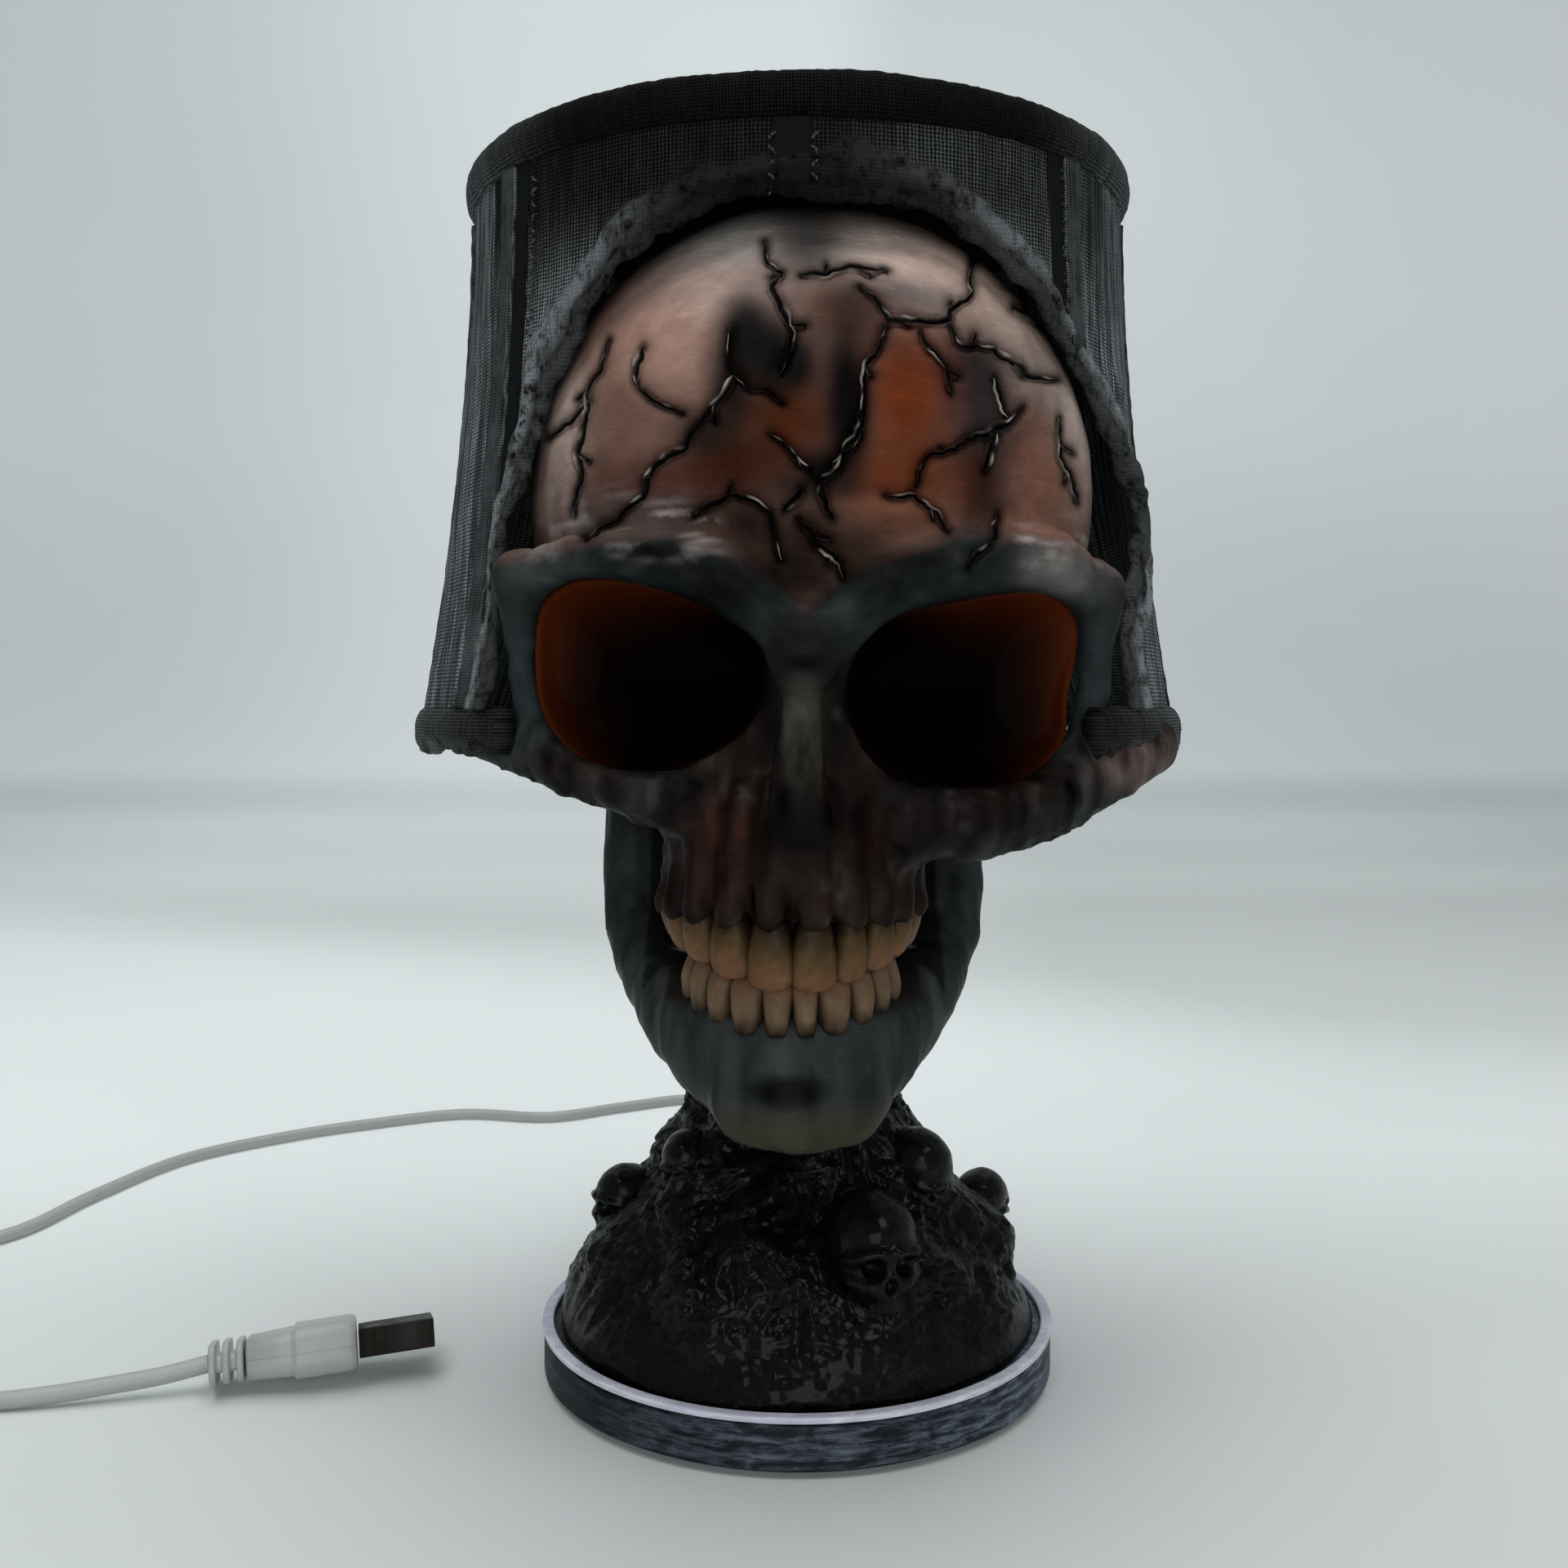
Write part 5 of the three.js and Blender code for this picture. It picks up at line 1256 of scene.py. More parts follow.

# Airbrushed washes, and one painted highlight, in order: centre and half sizes in pixels of the picture, red,
# green, blue, strength
WASHES: tuple[tuple[float, ...], ...] = (
    (851, 345, 115, 80, 178, 156, 147, 1.0),
    (891, 284, 110, 34, 196, 190, 184, 0.95),
    (798, 431, 100, 75, 172, 136, 121, 0.95),
    (758, 524, 95, 70, 114, 86, 76, 0.95),
    (685, 511, 38, 95, 190, 168, 156, 0.95),
    (662, 600, 26, 60, 150, 130, 122, 0.9),
    (838, 590, 120, 32, 84, 50, 43, 0.9),
    (790, 632, 90, 24, 80, 70, 68, 0.85),
    (1136, 319, 130, 66, 226, 198, 184, 1.0),
    (1060, 290, 60, 34, 206, 190, 180, 0.9),
    (1103, 365, 70, 30, 92, 92, 93, 0.85),
    (1250, 392, 60, 60, 186, 164, 152, 0.95),
    (1270, 450, 46, 46, 150, 132, 124, 0.9),
    (1325, 530, 34, 90, 200, 184, 176, 0.95),
    (1268, 592, 70, 78, 122, 84, 71, 0.95),
    (1203, 514, 46, 100, 44, 38, 40, 0.95),
    (1183, 451, 42, 38, 36, 32, 34, 0.95),
    (1198, 606, 32, 66, 28, 20, 19, 0.9),
    (990, 296, 50, 46, 80, 78, 76, 0.95),
    (1037, 376, 60, 42, 72, 48, 38, 0.95),
    (964, 515, 72, 62, 74, 34, 13, 1.0),
    (904, 566, 76, 38, 56, 24, 10, 0.95),
    (1110, 480, 56, 92, 104, 46, 18, 1.0),
    (1100, 590, 84, 62, 100, 48, 24, 0.95),
    # Painted highlight: a pale pink streak on the dome above the right brow.
    (1103, 618, 60, 16, 150, 104, 88, 0.45),
    (917, 644, 54, 38, 30, 14, 9, 0.95),
    (992, 655, 40, 44, 32, 18, 12, 0.95),
    (931, 424, 56, 52, 3, 3, 4, 1.0),
    (896, 470, 32, 62, 6, 5, 5, 0.95),
    (864, 526, 36, 30, 10, 8, 7, 0.85),
    (962, 452, 40, 30, 4, 4, 5, 0.95),
    (1036, 474, 30, 96, 2, 2, 3, 1.0),
    (912, 398, 32, 44, 4, 4, 5, 0.95),
    (966, 440, 30, 32, 4, 4, 5, 0.9),
    (1040, 522, 25, 56, 3, 3, 4, 0.95),
    (1002, 596, 56, 18, 6, 5, 5, 0.8),
    (1012, 572, 42, 28, 5, 4, 4, 0.95),
    (1075, 412, 20, 24, 40, 26, 22, 0.5),
    (955, 704, 100, 42, 20, 13, 10, 0.95),
    (1050, 676, 60, 34, 44, 27, 20, 0.9),
    (850, 630, 50, 20, 56, 40, 34, 0.7),
)

# Washes on the face below the dome, in the same form
FACE_WASHES: tuple[tuple[float, ...], ...] = (
    (800, 985, 110, 60, 15, 11, 10, 0.9),
    (1170, 1000, 130, 60, 20, 12, 10, 0.9),
    (655, 702, 50, 34, 62, 66, 66, 0.95),
    (785, 690, 70, 36, 22, 25, 26, 0.95),
    (885, 722, 74, 48, 6, 7, 7, 0.95),
    (985, 790, 46, 50, 20, 23, 24, 0.9),
    (1100, 712, 70, 44, 18, 21, 22, 0.95),
    (1200, 690, 64, 36, 24, 27, 27, 0.95),
    (1305, 696, 52, 38, 104, 101, 98, 0.95),
    (1340, 850, 40, 130, 50, 55, 57, 0.85),
    (635, 850, 40, 120, 46, 52, 54, 0.85),
    (700, 938, 80, 36, 38, 31, 28, 0.85),
    (1260, 955, 90, 36, 26, 17, 13, 0.9),
    (1410, 930, 66, 44, 100, 86, 80, 0.95),
    (982, 900, 26, 84, 60, 61, 55, 0.9),
    (944, 880, 16, 70, 7, 7, 7, 0.9),
    (1026, 880, 16, 70, 7, 7, 7, 0.9),
    (985, 812, 26, 12, 3, 3, 4, 0.95),
    (820, 672, 50, 13, 6, 7, 7, 0.9),
    (1112, 682, 55, 15, 6, 7, 7, 0.9),
    (975, 1015, 60, 50, 6, 7, 7, 0.9),
    (885, 1030, 46, 60, 48, 28, 22, 0.85),
    (1078, 1030, 46, 60, 22, 10, 8, 0.85),
)


def covered(under: Array, share: Array, over: Array | Colour) -> Array:
    """Lay one colour over another, by a share from 0 to 1."""
    return under * (1 - share) + share * np.asarray(over)


def washed(colour: Array, pixels: Array, washes: Iterable[Sequence[float]]) -> Array:
    """Lay soft washes over colours, each where its point appears in the picture."""
    for px, py, wide, high, red, green, blue, strength in washes:
        spread = ((pixels[:, 0] - px) / wide) ** 2 + ((pixels[:, 1] - py) / high) ** 2
        weight = strength * np.exp(-(spread**1.4))[:, None]
        colour = covered(colour, weight, linear(red, green, blue))
    return colour


@dataclass
class SkullForm:
    """The skull as a distance field: cranium, brow, cheeks, nose, upper jaw and the hollows cut in them."""

    studio: Studio
    fillet: float = 7
    wall: float = 3.5
    back_y: float = -6
    socket_front: float = -80
    socket_back: float = -40
    # Where the sockets' rims lie, and how far they fall back at the side
    face: Pixel = (-58.5, 14.5)
    left_brow: tuple = (
        (-39.5, -45, 128.9, 3.1), (-31, -54.5, 130.5, 3.3), (-19, -60.5, 130.3, 3.9), (-10, -63, 127.6, 4.4),
        (-5, -63.5, 122.5, 4.0), (0, -63.2, 118, 3.4),
    )
    right_brow: tuple = (
        (42.3, -42, 127.4, 3.3), (34, -53, 131, 4.1), (21, -60.5, 129.6, 4.3), (11.5, -63, 125.9, 3.9),
        (6, -63.5, 121.2, 3.8), (0, -63.2, 118, 3.4),
    )
    left_rim: tuple = (
        (-39.5, -45, 128.9, 3.1), (-40, -41.4, 118, 2.0), (-39.2, -40.6, 111, 2.0), (-33, -44.6, 101.8, 2.4)
    )
    right_rim: tuple = (
        (42.3, -42, 127.4, 3.3), (42.6, -40, 113, 2.2), (40.5, -41, 105, 2.3), (34, -46, 98.8, 2.8)
    )
    left_cheek: tuple = (
        (-14, -53, 96.4, 4.2), (-24, -51, 100, 3.6), (-33, -45, 102.8, 3.4), (-42, -38, 105.6, 3.5),
        (-50, -31, 108, 3.4),
    )
    right_cheek: tuple = (
        (14, -54, 95, 5), (24, -52, 95.4, 5.2), (34, -46, 97.6, 5.2), (44, -38, 101.6, 5),
        (53, -29, 105.2, 4.4),
    )
    nose: tuple = (
        (0, -63.2, 118, 3.2), (0.2, -62.6, 112, 2.4), (-0.2, -62.2, 104, 3.4), (-0.3, -61, 96, 3.8)
    )
    nose_grooves: tuple = (
        ((-3.6, -66, 114, 1.0), (-4.6, -65, 106, 1.5), (-7.2, -64, 98, 1.2)),
        ((3.9, -66, 114, 1.0), (4.8, -65, 106, 1.5), (7, -64, 98, 1.2)),
    )
    root_angles: tuple = (-99, -82, -65, -48, -29, -10, 10, 28, 44, 59, 74, 90)
    root_radius: float = 17.4
    root_centre: Pixel = (-1.1, -44.4)
    sockets: dict = field(
        default_factory=lambda: {
            "left": (
                (-36.5, 125), (-31.8, 128), (-22, 127.6), (-14.3, 125), (-8.2, 121.6), (-4.8, 118),
                (-4.9, 112.6), (-7.1, 108.3), (-12, 105), (-17.4, 102.8), (-24, 102.2), (-29.8, 103.6),
                (-34.2, 107), (-36.6, 111.6), (-37.3, 118.4),
            ),
            "right": (
                (6.3, 114.8), (7.8, 118.6), (12.5, 122.8), (21.8, 125.2), (30.9, 126.8), (36.3, 126),
                (39.8, 122.9), (39.4, 118.5), (38, 112.7), (37.4, 106.4), (34, 102.5), (27.1, 100),
                (18.5, 100.3), (12, 102.5), (8.1, 106.6), (6.3, 110.5),
            ),
        }
    )

    def __post_init__(self) -> None:
        """Prepare the smooth socket outlines and the crack segments."""
        self.outlines = {side: smooth_line(points, 6, closed=True) for side, points in self.sockets.items()}
        self.crack_lines = [
            self.jagged(np.array(path, dtype=float), n) for n, path in enumerate(CRACKS.values())
        ]
        for number, line in enumerate(self.crack_lines[:]):
            self.crack_lines.extend(self.branches(line, number))
        runs = [line[:: max(1, len(line) // 24)] for line in self.crack_lines]
        self.crack_starts = np.concatenate([run[:-1] for run in runs])
        self.crack_ends = np.concatenate([run[1:] for run in runs])

    def jagged(self, path: Array, seed: int, reach: float = 3.4) -> Array:
        """Break a crack's line into small angular steps."""
        line = evenly(path, 4)
        marks = np.stack(
            [np.full(len(line), seed * 17.3), np.arange(len(line)) * 4.0, np.zeros(len(line))], axis=1
        )
        across = np.gradient(line, axis=0)
        across = unit(np.stack([-across[:, 1], across[:, 0]], axis=1))
        shift = reach * grain(marks, 21, 5) + 0.55 * reach * grain(marks, 7, 6)
        return line + across * shift[:, None]

    def branches(self, line: Array, seed: int) -> list[Array]:
        """Give a few short side cracks that leave a longer one."""
        found = []
        for k, share in enumerate((0.3, 0.66)):
            start = line[int(share * (len(line) - 1))]
            ahead = line[min(len(line) - 1, int(share * len(line)) + 2)] - start
            if len(line) < 22 or np.linalg.norm(ahead) < 1e-6:
                continue
            spin = math.radians((38 + 22 * math.sin(seed * 3.1 + k)) * (-1) ** (seed + k))
            turn = np.array([[math.cos(spin), -math.sin(spin)], [math.sin(spin), math.cos(spin)]])
            way = turn @ (ahead / np.linalg.norm(ahead))
            length = 14 + 8 * math.sin(seed * 1.7 + 2 * k)
            found.append(self.jagged(np.stack([start, start + way * length]), seed + 40 * k, 2.2))
        return found

    def crack_distance(self, points: Array) -> Array:
        """Give each point's distance in millimetres to the nearest crack, as the picture sees it."""
        pixels = self.studio.pixels_of(points)
        found = np.full(points.shape[:-1], np.inf)
        for start, end in zip(self.crack_starts, self.crack_ends):
            along = end - start
            share = np.clip(((pixels - start) @ along) / (along @ along), 0, 1)
            found = np.minimum(found, np.linalg.norm(pixels - start - share[..., None] * along, axis=-1))
        depth = points[..., 1] - self.studio.camera_at[1]
        return found * depth / self.studio.pixels_per_slope

    def ridge_distance(self, points: Array) -> Array:
        """Give the distance to the grey bone round the eyes: brows, rims and cheeks."""
        chains = (
            self.left_brow, self.right_brow, self.left_rim, self.right_rim, self.left_cheek, self.right_cheek
        )
        return np.min([bone_chain(points, chain) for chain in chains], axis=0)

    def outside(self, points: Array) -> Array:
        """Give the field of the whole form before anything is cut out of it."""
        solid = rounded_mass(points, SKULL_CENTRE, SKULL_SIZES)
        solid = joined(solid, rounded_mass(points, (-0.2, -38, 112), (36.1, 20, 22)), self.fillet)
        solid = joined(solid, rounded_mass(points, (-0.5, -44, 92), (18.3, 18, 17)), self.fillet / 2)
        for chain in (self.left_rim, self.right_rim, self.left_cheek, self.right_cheek, self.nose):
            solid = joined(solid, bone_chain(points, chain), self.fillet / 3)
        for chain in (self.left_brow, self.right_brow):
            solid = joined(solid, bone_chain(points, chain), self.fillet * 0.6)
        for degrees in self.root_angles:
            angle = math.radians(degrees)
            cx, cy = self.root_centre
            low = (cx + self.root_radius * math.sin(angle), cy - self.root_radius * math.cos(angle))
            high = (
                cx + (self.root_radius - 2.2) * math.sin(angle),
                cy - (self.root_radius - 2.2) * math.cos(angle)
            )
            root = bone_chain(points, ((*low, 83.5, 1.9), (*high, 97 + 3 * math.cos(angle), 0.9)))
            solid = joined(solid, root, 1.6)
        for groove in self.nose_grooves:
            solid = carved(solid, bone_chain(points, groove), 1.4)
        return solid

    def at(self, points: Array) -> Array:
        """Give the field of the finished skull, with relief, cracks, sockets and hollow."""
        solid = self.outside(points)
        near = np.abs(solid) < 3
        if near.any():
            spots = points[near]
            rugged = np.clip(1.4 - self.ridge_distance(spots) / 2, 0, 1)
            low_face = np.clip((108 - spots[:, 2]) / 8, 0, 1) * (spots[:, 1] < -36)
            fine = rough_grain(spots, 3.2, 3, 5, ridged=True)
            relief = 0.14 * rough_grain(spots, 5, 3, 9) + 0.5 * rugged * fine + 0.45 * low_face * fine
            front = np.clip((-20 - spots[:, 1]) / 6, 0, 1)
            crack = self.crack_distance(spots)
            relief -= (
                front * (0.75 * np.exp(-((crack / 0.8) ** 2)) - 0.12 * np.exp(-(((crack - 1.8) / 1.0) ** 2)))
            )
            solid[near] -= relief
        solid = carved(solid, rounded_mass(points, SKULL_CENTRE, SKULL_SIZES - self.wall), 1)
        x, y, z = points[..., 0], points[..., 1], points[..., 2]
        solid = carved(solid, self.back_y - y, 0.8)
        radius = np.hypot(x, y)
        for reach, low, high in ((14.7, 53, 98.1), (9.3, 95.8, 104.9), (11.3, 102.9, 112.2)):
            solid = carved(solid, np.maximum(radius - reach, np.maximum(low - z, z - high)), 0.5)
        facing = (y > self.socket_front) & (y < self.socket_back + 4) & (z > 94) & (z < 134)
        if facing.any():
            for outline in self.outlines.values():
                cut = np.full(solid.shape, 20.0)
                cut[facing] = outline_distance(x[facing], z[facing], outline[:, :2])
                cut = np.maximum(cut, y - self.socket_back)
                solid = carved(solid, cut, 1.6)
        return solid

    def hit(self, pixels: Array) -> tuple[Array, Array]:
        """Find where the picture's pixels meet the uncut form.

        Args:
            pixels: pixels of the picture.

        Returns:
            Points on the form, and its outward directions there.
        """
        way = self.studio.rays(pixels)
        start = np.array(self.studio.camera_at, dtype=float)
        reach = np.full(pixels.shape[:-1], 190.0)
        for _ in range(34):
            reach += 0.85 * np.minimum(self.outside(start + reach[..., None] * way), 6)
        points = start + reach[..., None] * way
        step = 0.3
        slope = np.stack(
            [self.outside(points + step * axis) - self.outside(points - step * axis) for axis in np.eye(3)],
            axis=-1
        )
        return points, unit(slope)


@dataclass
class Skull:
    """The painted skull, its cracks' raised edges, and the membranes in its eyes."""

    form: SkullForm
    low: Place = (-56, -69, 77)
    high: Place = (59, -4.5, 189)
    crack_half: float = 0.9
    crack_columns: tuple = (-1.0, -0.7, -0.52, -0.34, -0.16, 0.02, 0.16, 0.3, 0.46, 0.62, 0.78, 1.0)
    crack_heights: tuple = (-0.3, 0.04, 0.03, -0.25, -0.5, -0.5, -0.15, 0.13, 0.22, 0.12, 0.04, -0.3)
    crack_cores: tuple = (0, 0, 0.45, 1, 1, 1, 0.8, 0, 0, 0, 0, 0)
    crack_highlight_shares: tuple = (0, 0, 0, 0, 0, 0, 0.1, 0.8, 1, 0.6, 0, 0)
    bowl_depth: float = 9
    bowl_fall: float = 4

    def paint(self, points: Array) -> Array:
        """Airbrush the skull: washes on the dome, grey round the eyes, brown below, black along cracks."""
        pixels = self.form.studio.pixels_of(points)
        colour = np.tile(linear(104, 80, 70), (len(points), 1))
        colour = washed(colour, pixels, WASHES)
        colour = colour * (0.99 + 0.26 * rough_grain(points, 2.2, 3, 31))[:, None]
        away = np.clip((-26 - points[:, 1]) / 10, 0, 1)[:, None]
        colour = covered(np.array(linear(96, 86, 82)), away, colour)
        crest = np.interp(
            pixels[:, 0], [620, 720, 823, 911, 985, 1060, 1180, 1290, 1350],
            [684, 662, 650, 684, 742, 690, 650, 662, 690]
        )
        brow = np.clip((crest + 12 - pixels[:, 1]) / 24, 0, 1)
        mottle = 0.5 + 0.5 * rough_grain(points, 5, 4, 21)
        low = np.tile(linear(34, 25, 22), (len(points), 1))
        ridge = np.clip(1.15 - self.form.ridge_distance(points) / 1.6, 0, 1)[:, None]
        low = covered(low, ridge, linear(38, 43, 44))
        low = washed(low, pixels, FACE_WASHES)
        upright = rough_grain(points / np.array([1, 1, 4.5]), 2.0, 3, 27)
        under = np.clip((pixels[:, 1] - 820) / 60, 0, 1)
        low = low * np.clip(0.2 + 1.6 * (mottle + 0.8 * under * upright), 0.06, 2.4)[:, None]
        dust = 0.5 * np.clip(mottle * 3 - 1.9 + 0.8 * under * upright, 0, 1)[:, None]
        low = covered(low, dust, linear(82, 84, 80))
        below = (1 - brow)[:, None] * (points[:, 1] < -30)[:, None]
        colour = covered(colour, below, low)
        dry_left = np.exp(-(((pixels[:, 1] - 642) / 36) ** 2)) * smooth_step(910 - pixels[:, 0], 0, 60)
        dry_right = np.exp(-(((pixels[:, 1] - 668) / 30) ** 2)) * smooth_step(pixels[:, 0], 1225, 1265)
        streak = np.clip(1.8 * rough_grain(points / np.array([4, 4, 0.8]), 1.5, 3, 23) - 0.1, 0, 1)
        dry = (0.85 * (dry_left + dry_right) * streak)[:, None]
        colour = covered(colour, dry, linear(172, 164, 160))
        front = np.clip((-20 - points[:, 1]) / 6, 0, 1)
        crack = self.form.crack_distance(points)
        soot = front * (0.75 * np.exp(-((crack / 0.7) ** 2)) + 0.22 * np.exp(-crack / 2.2))
        colour = colour * (1 - np.clip(soot, 0, 0.96))[:, None]
        inside = rounded_mass(points, SKULL_CENTRE, SKULL_SIZES - self.form.wall) < 0.7
        colour[inside & (points[:, 2] > 96)] = linear(64, 50, 44)
        return colour

    def build_shell(self) -> None:
        """Sculpt and paint the skull itself."""
        points, quads = sculpt(self.form.at, self.low, self.high, Coarseness.SKULL.value)
        made = mesh_object("skull_painted", points, quads, BONE)
        paint_points(made, self.paint(points))
        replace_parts(made, "skull_shell")

    def build_cracks(self) -> None:
        """Lay every crack as a black channel with one raised, broken edge that carries a pale painted
        highlight.
        """
        columns, heights = np.array(self.crack_columns), np.array(self.crack_heights)
        cores, highlight_shares = np.array(self.crack_cores), np.array(self.crack_highlight_shares)
        pale, black = np.array(linear(168, 160, 152)), np.array(linear(2, 2, 2))
        shell = Shell()
        for number, line in enumerate(self.form.crack_lines):
            flip = 1 if number % 3 else -1
            small = 0.6 if number >= len(CRACKS) else 1.0
            shares = np.linspace(0, 1, len(line))
            marks = np.stack([np.full(len(line), number * 7.3), shares * len(line) * 4, shares * 0], axis=1)
            across = np.gradient(line, axis=0)
            across = unit(flip * np.stack([-across[:, 1], across[:, 0]], axis=1))
            taper = np.clip(np.minimum(shares, 1 - shares) * 5, 0.15, 1) ** 0.8
            width = small * self.crack_half * taper * (0.8 + 0.45 * grain(marks, 18, 6))
            spots = line[:, None] + across[:, None] * (8.6 * width[:, None] * columns[None])[..., None]
            hits, way = self.form.hit(spots)
            strength = taper * (0.6 + 0.5 * grain(marks, 13, 12))
            lift = heights[None] * strength[:, None] - 0.04
            rough = 0.08 * rough_grain(hits, 1.1, 2, 17)
            top = hits + way * (lift + rough)[..., None]
            under = hits[:, ::-1][:, [0, -1]] - way[:, ::-1][:, [0, -1]] * 1.4
            skin = self.paint(hits.reshape(-1, 3)).reshape(hits.shape)
            core = (cores[None] * np.clip(taper * 1.6, 0, 1)[:, None])[..., None]
            # Painted highlight: the raised edge is painted pale along broken stretches.
            painted_highlight = np.clip(highlight_shares[None] * (1.5 * grain(hits, 1.6, 8) - 0.15) * small, 0, 1)[..., None]
            tone = covered(covered(skin, core, black), painted_highlight, pale)
            tone = np.concatenate([tone, tone[:, [0, -1]]], axis=1)
            shell.add_rings(np.concatenate([top, under], axis=1), tone)
        shell.build("skull_cracks", BONE)

    def build_eyes(self) -> None:
        """Close both sockets with bowls of glossy resin, painted with a glow of amber and red at the outer
        and upper edge and painted shade toward the depth.
        """
        for side, outline in self.form.outlines.items():
            outward = -1 if side == "left" else 1
            middle = outline.mean(axis=0)
            shares = np.linspace(0.02, 1, 34)
            flat = middle + (outline - middle)[None] * (shares[:, None, None] * 1.035)
            x, z = flat[..., 0], flat[..., 1]
            inside = -outline_distance(x, z, outline)
            rim = self.form.face[0] + self.form.face[1] * (x / 38) ** 2
            y = rim + 1.6 + self.bowl_depth * (1 - np.exp(-np.maximum(inside, 0) / self.bowl_fall))
            y = np.minimum(y, self.form.socket_back - 0.8)
            front = np.stack([x, y, z], axis=-1)
            back = front + np.array([0, 1.3, 0])
            rings = np.concatenate([front, back[::-1]])
            # Painted glow and painted shade: amber and red are brightest where the bowl turns outward and
            # upward, and fall to near black in its depth.
            turn = (x - middle[0]) / 18 * outward
            lift = (z - middle[1]) / 13
            painted_glow = np.clip(0.2 + 0.62 * turn + 0.3 * lift, 0.02, 1.0)
            painted_edge_glow = np.clip(painted_glow * 1.2 * np.exp(-np.maximum(inside, 0) / (0.8 + 3.6 * painted_glow)), 0, 1)[..., None]
            red = np.clip(1.1 * np.exp(-np.maximum(inside, 0) / 8) * painted_glow, 0, 1)[..., None]
            tone = covered(np.array(linear(2, 1, 1)), red, linear(30, 8, 4))
            tone = covered(tone, painted_edge_glow, linear(80, 33, 10))
            shell = Shell()
            shell.add_rings(rings, np.concatenate([tone, tone[::-1]]))
            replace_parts(shell.build(f"eye_{side}", EYE), f"eye_membrane_{side}")

    def build(self) -> None:
        """Make the whole skull."""
        self.build_shell()
        self.build_cracks()
        self.build_eyes()


# Jaw and teeth


